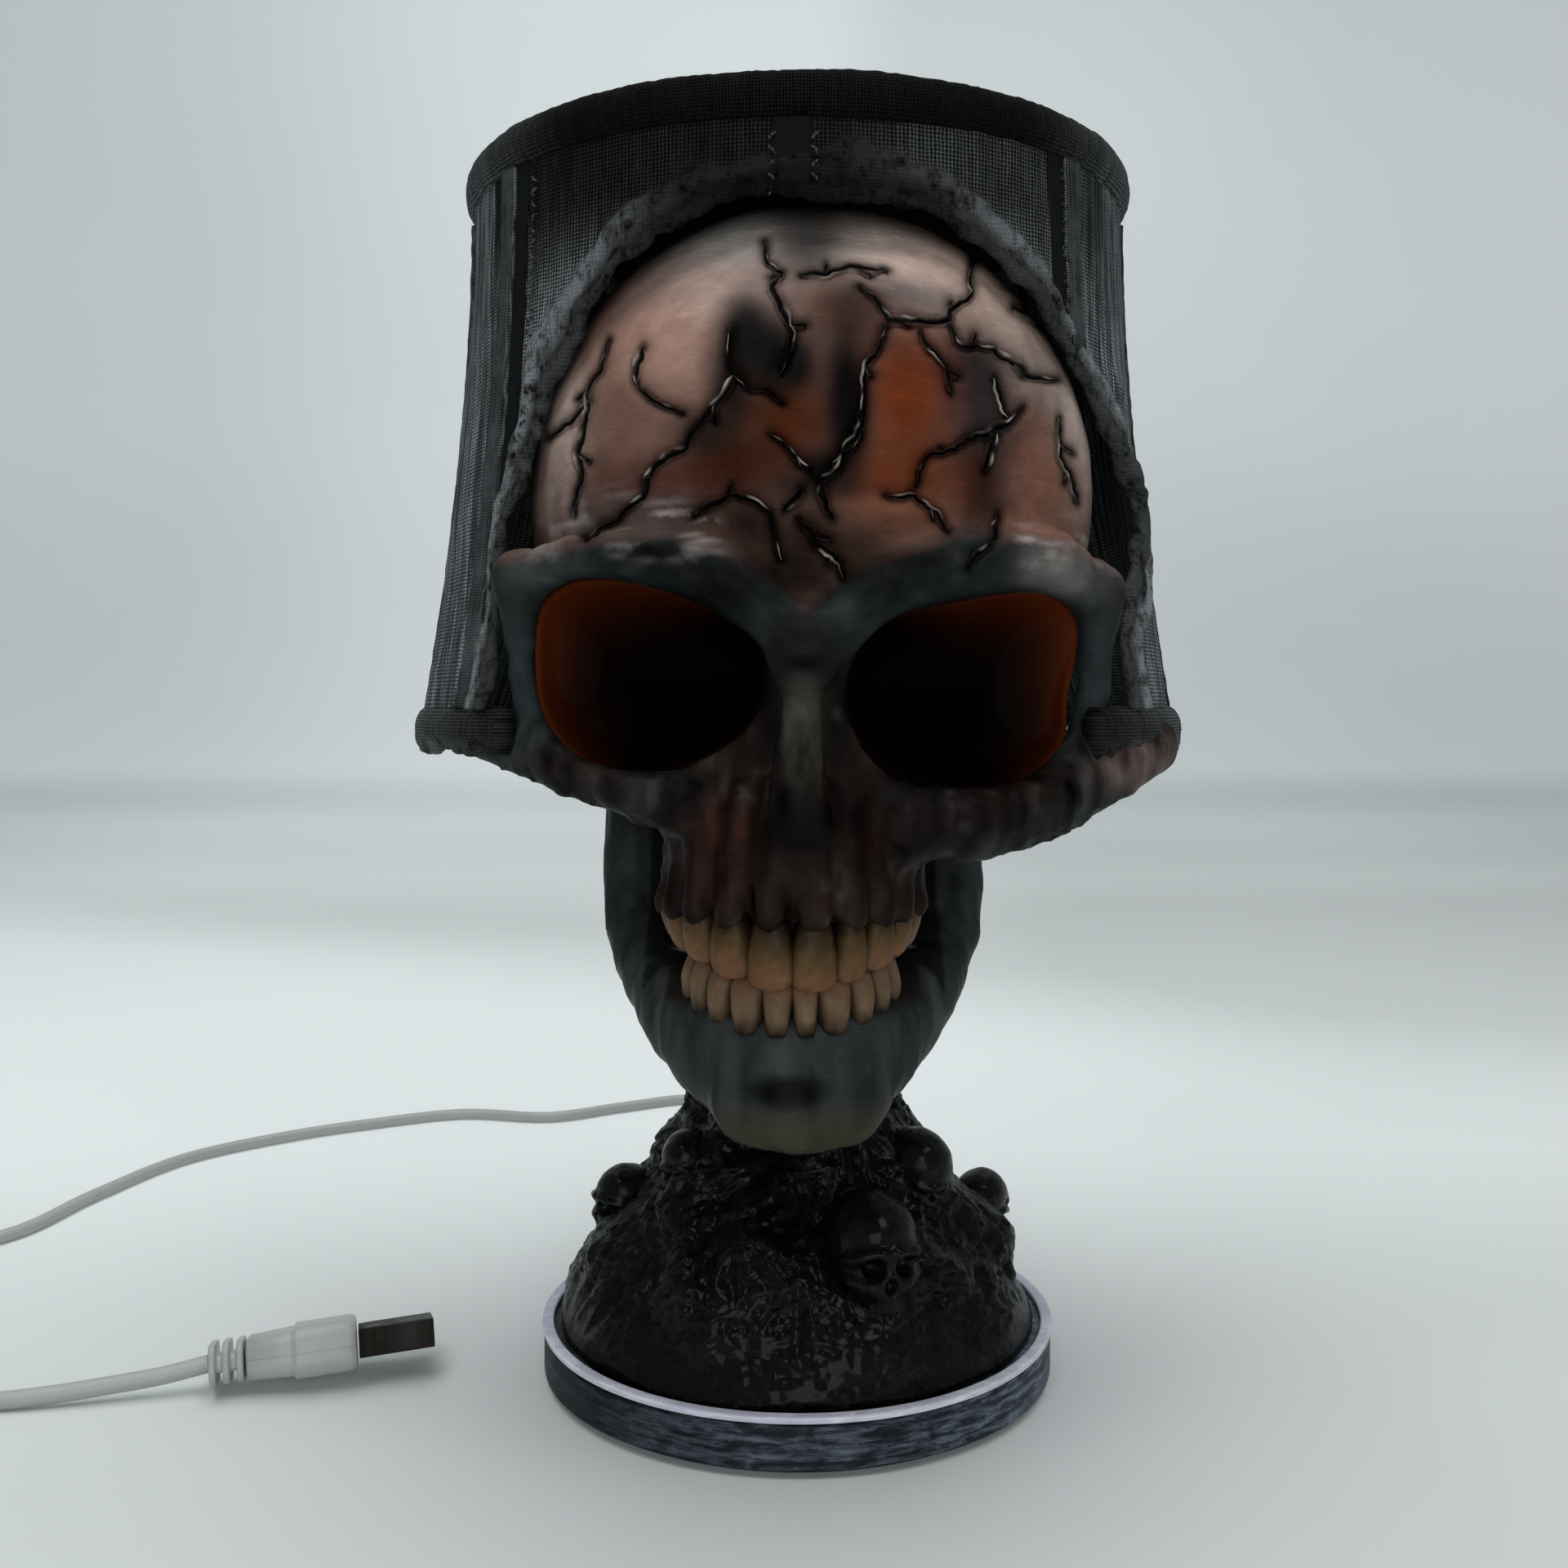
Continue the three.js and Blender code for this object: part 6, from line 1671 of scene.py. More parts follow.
@dataclass
class Jaw:
    """The bowed jaw with upright streaks, and both rows of teeth, each tooth on its own."""

    shift: float = -0.8
    bow: tuple = (
        (24.4, -19, 106, 4.0), (24.8, -19, 95, 4.7), (25.0, -20, 84, 5.0), (23.8, -23, 76.5, 5.2),
        (20.6, -30, 71, 5.5), (16.4, -38, 66.4, 6.0), (11.6, -46, 62.6, 6.4), (6.3, -51, 60.4, 7.0),
        (0, -52.6, 59.6, 7.3),
    )
    ridge: tuple = ((17.5, -36, 71, 3.6), (14.5, -44, 68.4, 3.9), (8.5, -52.2, 66, 4.0), (0, -55, 65.4, 4.1))
    chin: tuple = ((-6, -55, 56.6, 4.6), (0, -56.2, 56.2, 4.9), (6, -55, 56.6, 4.6))
    low: Place = (-34, -62, 50)
    high: Place = (33, -12, 109)
    tooth_lean: float = 0.5

    def field_at(self, points: Array) -> Array:
        """Give the jaw's field."""
        mirrored = points.copy()
        mirrored[..., 0] = np.abs(points[..., 0] - self.shift)
        solid = bone_chain(mirrored, self.bow)
        solid = joined(solid, bone_chain(mirrored, self.ridge), 3.4)
        solid = joined(solid, bone_chain(points, self.chin), 5)
        near = np.abs(solid) < 2.5
        if near.any():
            spots = points[near]
            streaks = rough_grain(spots / np.array([1, 1, 4.5]), 2.6, 3, 31)
            solid[near] -= 0.55 * streaks + 0.16 * rough_grain(spots, 3, 3, 33)
        return np.maximum(solid, points[..., 2] - 107.3)

    def paint(self, points: Array) -> Array:
        """Streak the jaw grey-green over black, with an olive chin and a black patch."""
        streaks = 0.5 + 0.5 * rough_grain(points / np.array([1, 1, 5]), 2.4, 4, 41)
        colour = covered(np.array(linear(10, 12, 13)), streaks[:, None], linear(66, 71, 72))
        x, z = points[:, 0] - self.shift, points[:, 2]
        olive = np.clip((59 - z) / 4, 0, 1)[:, None]
        colour = colour * (1 - olive) + olive * np.array(linear(62, 60, 49)) * (0.5 + 0.8 * streaks[:, None])
        patch = (
            np.exp(-(((x + 1) / 6.4) ** 2 + ((z - 60.2) / 2.2) ** 2) ** 2)[:, None]
            * (points[:, 1] < -50)[:, None]
        )
        colour = colour * (1 - 0.93 * patch)
        gum = (
            np.clip((z - 68.4) / 2, 0, 1)[:, None] * (points[:, 1] < -40)[:, None] * (np.abs(x) < 18)[:, None]
        )
        colour = covered(colour, gum, linear(30, 27, 26))
        inner = (points[:, 1] > -40) & (np.abs(x) < 22)
        colour[inner] *= 0.35
        return colour

    def build_bone(self) -> None:
        """Sculpt and paint the jaw."""
        points, quads = sculpt(self.field_at, self.low, self.high, Coarseness.JAW.value)
        made = mesh_object("jaw_painted", points, quads, JAW_PAINT)
        paint_points(made, self.paint(points))
        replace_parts(made, "jaw")

    def tooth(
        self, shell: Shell, row: "ToothRow", first: float, second: float, gum: float, tip: float, seed: int
    ) -> None:
        """Add one tooth between two angles of its row."""
        middle, span = math.radians((first + second) / 2), math.radians(second - first)
        width = row.radius * span * 1.02
        out = np.array([math.sin(middle), -math.cos(middle), 0])
        along = np.array([math.cos(middle), math.sin(middle), 0])
        shares = np.array([0, 0.1, 0.2, 0.32, 0.45, 0.58, 0.7, 0.8, 0.88, 0.94, 0.975, 1.0])
        swell = np.interp(shares, [0, 0.45, 0.8, 1], row.swell)
        close = np.where(shares > 0.86, np.sqrt(np.clip(1 - ((shares - 0.86) / 0.145) ** 2, 0.02, 1)), 1)
        depth = row.depth * np.interp(shares, [0, 0.5, 1], [1.1, 1.0, 0.55])
        angles = np.arange(24) * FULL_TURN / 24
        rings, tones = [], []
        for share, wide, shut, deep in zip(shares, swell, close, depth):
            c, s = np.cos(angles), np.sin(angles)
            side = np.sign(c) * np.abs(c) ** 0.75 * width / 2 * wide * shut
            face = np.sign(s) * np.abs(s) ** 0.85 * deep / 2 * (0.25 + 0.75 * shut)
            centre = (
                np.array([row.centre[0], row.centre[1], 0])
                + out * (row.radius - row.depth / 2 + self.tooth_lean * math.sin(math.pi * share))
            )
            z = gum + share * (tip - gum)
            ring = centre + side[:, None] * along + face[:, None] * out + np.array([0, 0, z])
            rough = 0.1 * rough_grain(ring, 1.5, 2, seed)
            rings.append(ring + out * rough[:, None])
            stain = np.clip(1 - share / row.stain + 0.35 * rough_grain(ring, 1.1, 2, seed + 3), 0, 1)
            blush = np.clip(share * 1.5 - 0.7 + 0.3 * rough_grain(ring, 2.5, 2, seed + 9), 0, 1)
            body, warm = row.colours
            tone = covered(np.array(body), blush[:, None], warm)
            tone = tone * (0.8 + 0.25 * rough_grain(ring, 0.8, 2, seed + 5))[:, None]
            tone = covered(tone, stain[:, None], linear(26, 20, 17))
            # Painted shade: each tooth is darkened toward its sides, where it meets its neighbours.
            edge = np.clip(np.abs(c) ** 6, 0, 1)[:, None] * 0.72
            tones.append(tone * (1 - edge))
        shell.add_rings(np.array(rings), np.array(tones))

    def build_teeth(self) -> None:
        """Set both rows of teeth in their gums."""
        for row in TOOTH_ROWS:
            shell = Shell()
            for k, (first, second) in enumerate(zip(row.bounds, row.bounds[1:])):
                self.tooth(shell, row, first, second, row.gums[k], row.tips[k], 50 + 3 * k)
            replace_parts(shell.build(row.name, TOOTH), row.node)


@dataclass(frozen=True)
class ToothRow:
    """One row of teeth: its arc, the angles between its teeth, and where each starts and ends."""

    name: str
    node: str
    centre: Pixel
    radius: float
    depth: float
    bounds: tuple[float, ...]
    gums: tuple[float, ...]
    tips: tuple[float, ...]
    swell: tuple[float, float, float, float]
    stain: float
    colours: tuple[Colour, Colour]


TOOTH_ROWS = (
    ToothRow(
        "teeth_upper", "upper_teeth", (-1.1, -43.9), 18.2, 4.6,
        (-108, -90, -74, -57, -39, -20, 0, 20, 35, 52, 66, 81, 98),
        (86, 86, 85.4, 84.8, 83.6, 82.6, 82.4, 83, 83.6, 84.8, 85.6, 86),
        (79, 78.2, 77.4, 76.3, 74.7, 73.4, 73.2, 74.2, 75.4, 76.6, 77.4, 78.4),
        (0.72, 0.98, 1.0, 0.86), 0.58, (linear(94, 74, 46), linear(134, 94, 68)),
    ),
    ToothRow(
        "teeth_lower", "lower_teeth", (-1.1, -43.4), 15.4, 3.8,
        (-85, -68, -51, -35, -16, 0, 14, 33, 49, 64, 80),
        (69.5, 68.8, 68, 67.2, 67, 67, 67.2, 68, 68.8, 69.4),
        (77, 76.4, 75.6, 74.8, 74.6, 74.6, 74.8, 75.4, 76, 76.6),
        (0.7, 0.86, 0.98, 0.86), 0.34, (linear(116, 96, 74), linear(142, 106, 84)),
    ),
)


# Shade


@dataclass(frozen=True)
class TornCloth(WovenCloth):
    """Woven cloth whose paint says how bright it is (red), how curled (green) and how streaked (blue); the
    brightness carries painted light and painted shade.
    """

    # Crest and fold colours of the torn edge: pale as painted highlight, dark as painted shade.
    crest: Colour = linear(112, 115, 117)
    fold_shade: Colour = linear(15, 15, 16)

    def compose(self, board: Board) -> Material:
        """Build the nodes of the cloth and of its hardened torn edge."""
        cloth, spot = board.cloth(), board.place()
        guide = board.node("ShaderNodeSeparateColor")
        board.link(board.paint(), guide.inputs[0])
        bright, curl, streaked = guide.outputs[0], guide.outputs[1], guide.outputs[2]
        warp = board.wave(cloth, self.threads_per_mm / 2, "X", 1.8, 2)
        weft = board.wave(cloth, self.threads_per_mm / 2, "Y", 2.4, 2)
        slub = board.noise(board.stretched(cloth, (1.3, 0.11, 1)), 1, 4, 0.7, 0.5)
        streak = board.noise(board.stretched(cloth, (0.8, 0.03, 1)), 1, 4, 0.7, 0.6)
        cloud = board.noise(cloth, 0.1, 4, 0.65)
        weave = board.sum("ADD", board.sum("MULTIPLY", warp, 0.5), board.sum("MULTIPLY", weft, 0.4))
        height = board.sum("ADD", weave, board.sum("MULTIPLY", slub, 0.9))
        dry = board.between(height, 0.62, 1.3)
        tone = board.mixed(dry, self.dark, self.colour)
        furrow = board.sum("MULTIPLY", board.between(streak, 0.42, 0.6), streaked)
        tone = board.mixed(furrow, tone, self.dark)
        tone = board.mixed(board.between(cloud, 0.4, 0.7, 0, 0.35), tone, self.dark)
        # Painted highlight and painted shade: the curled edge is pale where the crumple's bump rises and dark
        # where it sinks.
        crumple = board.noise(spot, 300, 5, 0.6, 0.7)
        grit = board.noise(board.stretched(spot, (1500, 1500, 700)), 1, 3, 0.6)
        folds = board.sum("ADD", crumple, board.sum("MULTIPLY", grit, 0.5))
        rough_tone = board.mixed(board.between(folds, 0.5, 0.85), self.fold_shade, self.crest)
        tone = board.mixed(curl, tone, rough_tone)
        shade = board.node("ShaderNodeCombineColor")
        for socket in shade.inputs:
            board.link(bright, socket)
        tone = board.mixed(1.0, tone, shade.outputs[0], "MULTIPLY")
        relief = board.sum(
            "ADD", board.sum("MULTIPLY", height, 0.6),
            board.sum("MULTIPLY", board.sum("MULTIPLY", folds, curl), 0.6)
        )
        return board.finish(
            Base_Color=tone, Roughness=self.roughness, Normal=board.raised(relief, 0.55, 0.9),
            Specular_IOR_Level=0.05
        )


TORN_CLOTH = TornCloth("torn_cloth", "shade", linear(150, 155, 157), 0.85)
ROLL = TornCloth("rolled_rim", "shade", linear(132, 137, 139), 0.85, threads_per_mm=1.3)
RIBBON = WovenCloth("grey_ribbon", "rib", linear(118, 123, 125), 0.85, threads_per_mm=1.5)


@dataclass
class Shade:
    """The torn cloth shade: its cloth with curled edges, its ribs and its rolled rims."""

    low_z: float = 110.4
    high_z: float = 191.6
    hem_z: float = 111.2
    cloth_height: float = 79.5
    top_radius: float = 53.2
    bottom_radius: float = 60.9
    flare_power: float = 1.75
    mean_radius: float = 57.5
    half_wall: float = 0.55
    cell: float = 0.6
    edge_lift: float = 2.0
    lip: float = 1.05
    ridge_away: float = 5.6
    stitch_apart: float = 1.9
    stitch_out: float = 0.95
    thread: float = 0.2
    opening: tuple[Pixel, ...] = (
        (-44.5, -0.2), (-45, 0.02), (-45.5, 0.24), (-44.5, 0.4), (-42.5, 0.49), (-38, 0.625), (-33, 0.69),
        (-22, 0.79), (-16, 0.826), (-8, 0.857), (0, 0.866), (8, 0.866), (17, 0.85), (24, 0.815), (30, 0.777),
        (37.5, 0.72), (43.5, 0.645), (49, 0.582), (56, 0.504), (63, 0.42), (66, 0.358), (63, 0.274),
        (56, 0.235), (51, 0.12), (50, -0.2),
    )

    def __post_init__(self) -> None:
        """Lay the opening flat."""
        flat = [
            (self.arc(azimuth), self.hem_z + share * self.cloth_height) for azimuth, share in self.opening
        ]
        self.torn = smooth_line(flat, 3, closed=True)

    def arc(self, azimuth: Array | float) -> Array | float:
        """Give how far round the cloth an azimuth lies, in millimetres."""
        return np.radians(azimuth) * self.mean_radius

    def laid_flat(self, u: Array, z: Array) -> Array:
        """Give points in the plane of the cloth."""
        return np.stack([u, np.zeros_like(u), z], axis=-1)

    def radius_at(self, z: Array | float) -> Array:
        """Give the bell's radius at a height."""
        share = np.clip((self.high_z - 0.9 - np.asarray(z, dtype=float)) / self.cloth_height, 0, 1.1)
        return self.top_radius + (self.bottom_radius - self.top_radius) * share**self.flare_power

    def edge_distance(self, u: Array, z: Array) -> Array:
        """Give the distance outside the ragged edge of the opening, in the plane of the cloth."""
        flat = self.laid_flat(u, z)
        ragged = 1.5 * grain(flat, 9, 61) + 0.8 * grain(flat, 3, 62) + 0.35 * grain(flat, 1.1, 63)
        return outline_distance(u, z, self.torn) + ragged

    def field_at(self, points: Array) -> Array:
        """Give the field of the cloth laid flat: along, out and up."""
        u, out, z = points[..., 0], points[..., 1], points[..., 2]
        column_u, column_z = u[:1], z[:1]
        flat = self.laid_flat(column_u, column_z)
        edge = self.edge_distance(column_u, column_z)
        curled = np.exp(-np.maximum(edge, 0) / 3.4)
        middle = self.edge_lift * curled * (0.7 + 0.5 * grain(flat, 9, 64)) + 0.3 * grain(flat, 16, 65)
        rags = np.clip(1 - edge / 7.5, 0, 1)
        thick = (
            self.half_wall + 0.14 * grain(flat, (1.5, 1, 12), 66)
            + 0.22 * rags * np.clip(rough_grain(flat, 2.6, 2, 67, True), 0, 1)
        )
        degrees = np.degrees(column_u / self.mean_radius)
        lumps = np.exp(-(((degrees - 61) / 7) ** 2) - ((column_z - 146) / 14) ** 2)
        thick = thick + 1.9 * lumps * np.clip(grain(flat, 3, 68) + 0.3, 0, 1)
        cloth = carved(np.abs(out - middle) - thick, edge, 0.7)
        lip = self.lip + 0.5 * grain(flat, 6, 69) + 0.08 * grain(flat, 1.6, 70)
        roll = np.hypot(edge - 1.1, out - middle - 0.2) - lip
        away = self.ridge_away + 1.1 * grain(flat, 9, 71)
        high = 0.5 + 0.7 * np.clip(0.6 + grain(flat, 9, 72), 0, 1) + 0.06 * grain(flat, 1.6, 73)
        ridge = np.hypot(edge - away, out - middle - 0.35) - high
        solid = joined(joined(cloth, roll, 1.0), ridge, 0.9)
        reach = math.pi * self.mean_radius + 0.4
        ends = np.maximum(np.abs(u) - reach, np.maximum(self.low_z - z, z - self.high_z))
        return np.maximum(solid, ends)

    def build_cloth(self) -> None:
        """Sculpt the cloth flat, bend it round and paint its guide, whose brightness holds painted shadow,
        painted light and painted shade.
        """
        reach = math.pi * self.mean_radius + 1.2
        points, quads = sculpt(self.field_at, (-reach, -3.4, 109.6), (reach, 5.6, 192.4), self.cell)
        u, out, z = points.T
        azimuth = np.degrees(u / self.mean_radius)
        bent = around(azimuth, self.radius_at(z) + out, z)
        made = mesh_object("shade_torn_cloth", bent, quads, TORN_CLOTH)
        lay_cloth(made, np.radians(azimuth) * self.radius_at(z), z)
        flat = self.laid_flat(u, z)
        edge = self.edge_distance(u, z)
        curl = 1 - smooth_step(edge + 0.8 * grain(flat, 3, 74), 6.4, 8.2)
        band = np.exp(-(((edge - 3.3) / 1.0) ** 2))
        bright = 1.28 + 0.18 * grain(flat, 14, 75)
        # Painted shadow under the top roll: the front cloth is painted darker towards its top, less so on the
        # curled edge away from the middle.
        painted_roll_shadow = (
            smooth_step(z, 164, 184) * (0.93 - 0.19 * smooth_step(azimuth, 4, 24)) * (np.abs(azimuth) < 60)
        )
        bright *= 1 - painted_roll_shadow * (1 - 0.7 * curl * smooth_step(np.abs(azimuth), 20, 32))
        # Painted light: the cloth on the lamp's right is painted brighter.
        bright *= np.where((azimuth > 50) & (azimuth < 140), 1.2, 1.0)
        # Painted shade in the groove between the torn ridge and the lip; the lip itself is painted darker
        # too.
        bright *= (1 - 0.6 * band) * (1 - 0.78 * smooth_step(-edge, -3.4, -2.2))
        # Painted shade on the cloth's inner face.
        bright = np.where(out < -0.3, bright * 0.4, bright)
        side = np.where((np.abs(azimuth) > 52) & (np.abs(azimuth) < 128), 0.85, 0.3)
        paint_points(made, np.clip(np.stack([bright, curl, side], axis=1), 0, 1.4))
        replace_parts(made, "shade_cloth")

    def band(
        self, azimuth: float, half: float, low: float, high: float, out: float, thick: float, seed: int
    ) -> Array:
        """Give the rings of one band that runs down the cloth, its edges a little frayed."""
        z = np.linspace(high, low, max(8, round((high - low) / 0.9)))
        marks = np.stack([z * 0 + seed * 9.1, z, z * 0], axis=1)
        width = half * (1 + 0.1 * grain(marks, 2.4, seed))
        turn = azimuth + 0.35 * grain(marks, 11, seed + 1)
        profile = [
            (-1, 0), (-1.02, 0.5), (-0.9, 0.86), (-0.6, 1), (-0.2, 1.02), (0.2, 0.98), (0.6, 1), (0.9, 0.86),
            (1.02, 0.5), (1, 0)
        ]
        rings = []
        for height, w, t in zip(z, width, turn):
            radius = float(self.radius_at(height)) + out
            rings.append([around(t + share * w, radius + lift * thick, height) for share, lift in profile])
        rings = np.array(rings)
        rings[..., :2] *= (1 + 0.0022 * rough_grain(rings, 1.6, 2, seed + 2))[..., None]
        return rings

    def lay_round(self, target: Piece) -> None:
        """Lay cloth coordinates on a piece that runs round the lamp."""
        spots = np.empty(len(target.data.vertices) * 3)
        target.data.vertices.foreach_get("co", spots)
        x, y, z = spots.reshape(-1, 3).T / MM
        lay_cloth(target, np.arctan2(x, -y) * self.mean_radius, z)

    def build_ribs(self) -> None:
        """Sew on each rib: a black tape and a grey ribbon beside it."""
        for number, spec in enumerate(RIBS):
            tape = Shell()
            tape.add_rings(
                self.band(spec.azimuth, spec.tape_half, spec.low, self.high_z - 0.4, 0.2, 0.75, 80 + number)
            )
            made = tape.build(f"tape_{spec.name}", TAPE)
            self.lay_round(made)
            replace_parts(made, f"shade_rib_{spec.name}")
            if spec.ribbon_half:
                ribbon = Shell()
                rings = self.band(
                    spec.azimuth + spec.ribbon_away, spec.ribbon_half, spec.low, self.high_z - 0.4, 0.1, 1.35,
                    90 + number
                )
                ribbon.add_rings(rings)
                self.lay_round(ribbon.build(f"ribbon_{spec.name}", RIBBON))

    def roll_rings(
        self, mid: Pixel, half: Pixel, start: float, end: float, ragged: float, seed: int
    ) -> Array:
        """Give the rings of a rolled rim: a lumpy ellipse swept round."""
        steps = round(abs(end - start) / 360 * 560)
        azimuths = np.linspace(start, end, steps, endpoint=end - start < 359)
        angle = np.arange(30) * FULL_TURN / 30
        base = around(
            azimuths[:, None], mid[0] + half[0] * np.cos(angle)[None], mid[1] + half[1] * np.sin(angle)[None]
        )
        way = around(azimuths[:, None], np.cos(angle)[None], 0 * angle[None])
        way[..., 2] = np.sin(angle)[None]
        twist = np.stack(
            [np.radians(azimuths)[:, None] * 58 + 0 * angle, 0 * base[..., 0], base[..., 2]], axis=-1
        )
        dashes = rough_grain(twist, 1.9, 2, seed, True)
        push = 0.14 * dashes + 0.16 * grain(base, 9, seed + 1) - 0.12
        below = np.clip(-np.sin(angle), 0, 1)[None]
        push = push + ragged * below * (rough_grain(twist, 3.2, 3, seed + 2, True) - 0.45)
        return base + way * push[..., None]

    def roll_guide(self, rings: Array, ragged: float) -> Array:
        """Paint a rim's guide: painted shade that leaves it dark in front and brighter at the sides, curled
        along a ragged underside.
        """
        azimuth = np.abs(np.degrees(np.arctan2(rings[..., 0], -rings[..., 1])))
        # Painted shade: the rim is painted dark at the front and brighter towards the sides.
        bright = 0.05 + 0.95 * smooth_step(azimuth, 34, 80)
        middle = rings[..., 2].mean()
        curl = ragged * smooth_step(middle - rings[..., 2], 0.4, 2.2)
        return np.stack([bright, curl, np.full(bright.shape, 0.25)], axis=-1)

    def build_rims(self) -> None:
        """Roll the top rim and the ragged bottom rim."""
        rings = self.roll_rings((53.2, 194.5), (2.05, 3.45), 0, 360, 0.35, 101)
        faces = grid_faces(rings.shape[0], rings.shape[1], close_rows=True, close_columns=True)
        top = mesh_object("rim_top_roll", rings, faces, ROLL)
        self.lay_round(top)
        paint_points(top, self.roll_guide(rings, 0).reshape(-1, 3))
        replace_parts(top, "shade_top_rim")
        bottom = Shell()
        rings = self.roll_rings((61.2, 107.4), (2.2, 3.6), 43, 317, 1.5, 111)
        bottom.add_rings(rings, self.roll_guide(rings, 0.8))
        made = bottom.build("rim_bottom_roll", ROLL)
        self.lay_round(made)
        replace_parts(made, "shade_bottom_rim")

    def build_lid(self) -> None:
        """Close the shade's top with a disc of black cloth."""
        low, high = cad_box("shade_lid")
        profile = round_profile([(0, low[2]), (high[0], low[2]), (high[0], high[2]), (0, high[2])], 0.3)
        made = turned("shade_lid_cloth", profile, TAPE, 128)
        self.lay_round(made)
        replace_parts(made, "shade_lid")

    def build_stitches(self) -> None:
        """Sew loose stitches along both sides of the front strap and beside each side tape."""
        shell = Shell()
        runs = [(-1 - 3.1, 181, 190.5), (-1 + 3.1, 181, 190.5), (-45.6, 152, 190), (45.4, 163, 190)]
        for azimuth, low, high in runs:
            for k, z in enumerate(np.arange(low, high, self.stitch_apart)):
                lean = 0.5 * (-1) ** k
                radius = float(self.radius_at(z)) + self.stitch_out
                line = [
                    around(azimuth - 0.5, radius - 0.2, z - lean),
                    around(azimuth, radius + 0.25, z),
                    around(azimuth + 0.5, radius - 0.2, z + lean),
                ]
                shell.add_rings(swept_rings(smooth_line(line, 3), self.thread, 6))
        self.lay_round(shell.build("shade_stitches", RIBBON))

    def build(self) -> None:
        """Make the whole shade."""
        self.build_cloth()
        self.build_ribs()
        self.build_rims()
        self.build_lid()
        self.build_stitches()


@dataclass(frozen=True)
class RibSpec:
    """One rib: where its tape runs, and how far from it the grey ribbon lies."""

    name: str
    azimuth: float
    low: float = 110.9
    tape_half: float = 1.75
    ribbon_away: float = -4.0
    ribbon_half: float = 2.1


RIBS = (
    RibSpec("front", -1.0, 181.5, 2.9, 0, 0),
    RibSpec("front_right", 43.6, 163.5, 1.75, 4.0),
    RibSpec("right", 90),
    RibSpec("rear_right", 135),
    RibSpec("rear", 180, ribbon_half=3.2, ribbon_away=0),
    RibSpec("rear_left", 225, ribbon_away=4.0),
    RibSpec("left", 270, ribbon_away=4.0),
    RibSpec("front_left", -49.2, 110.9, 1.7, -3.9),
)


# Rock pedestal and its small skulls


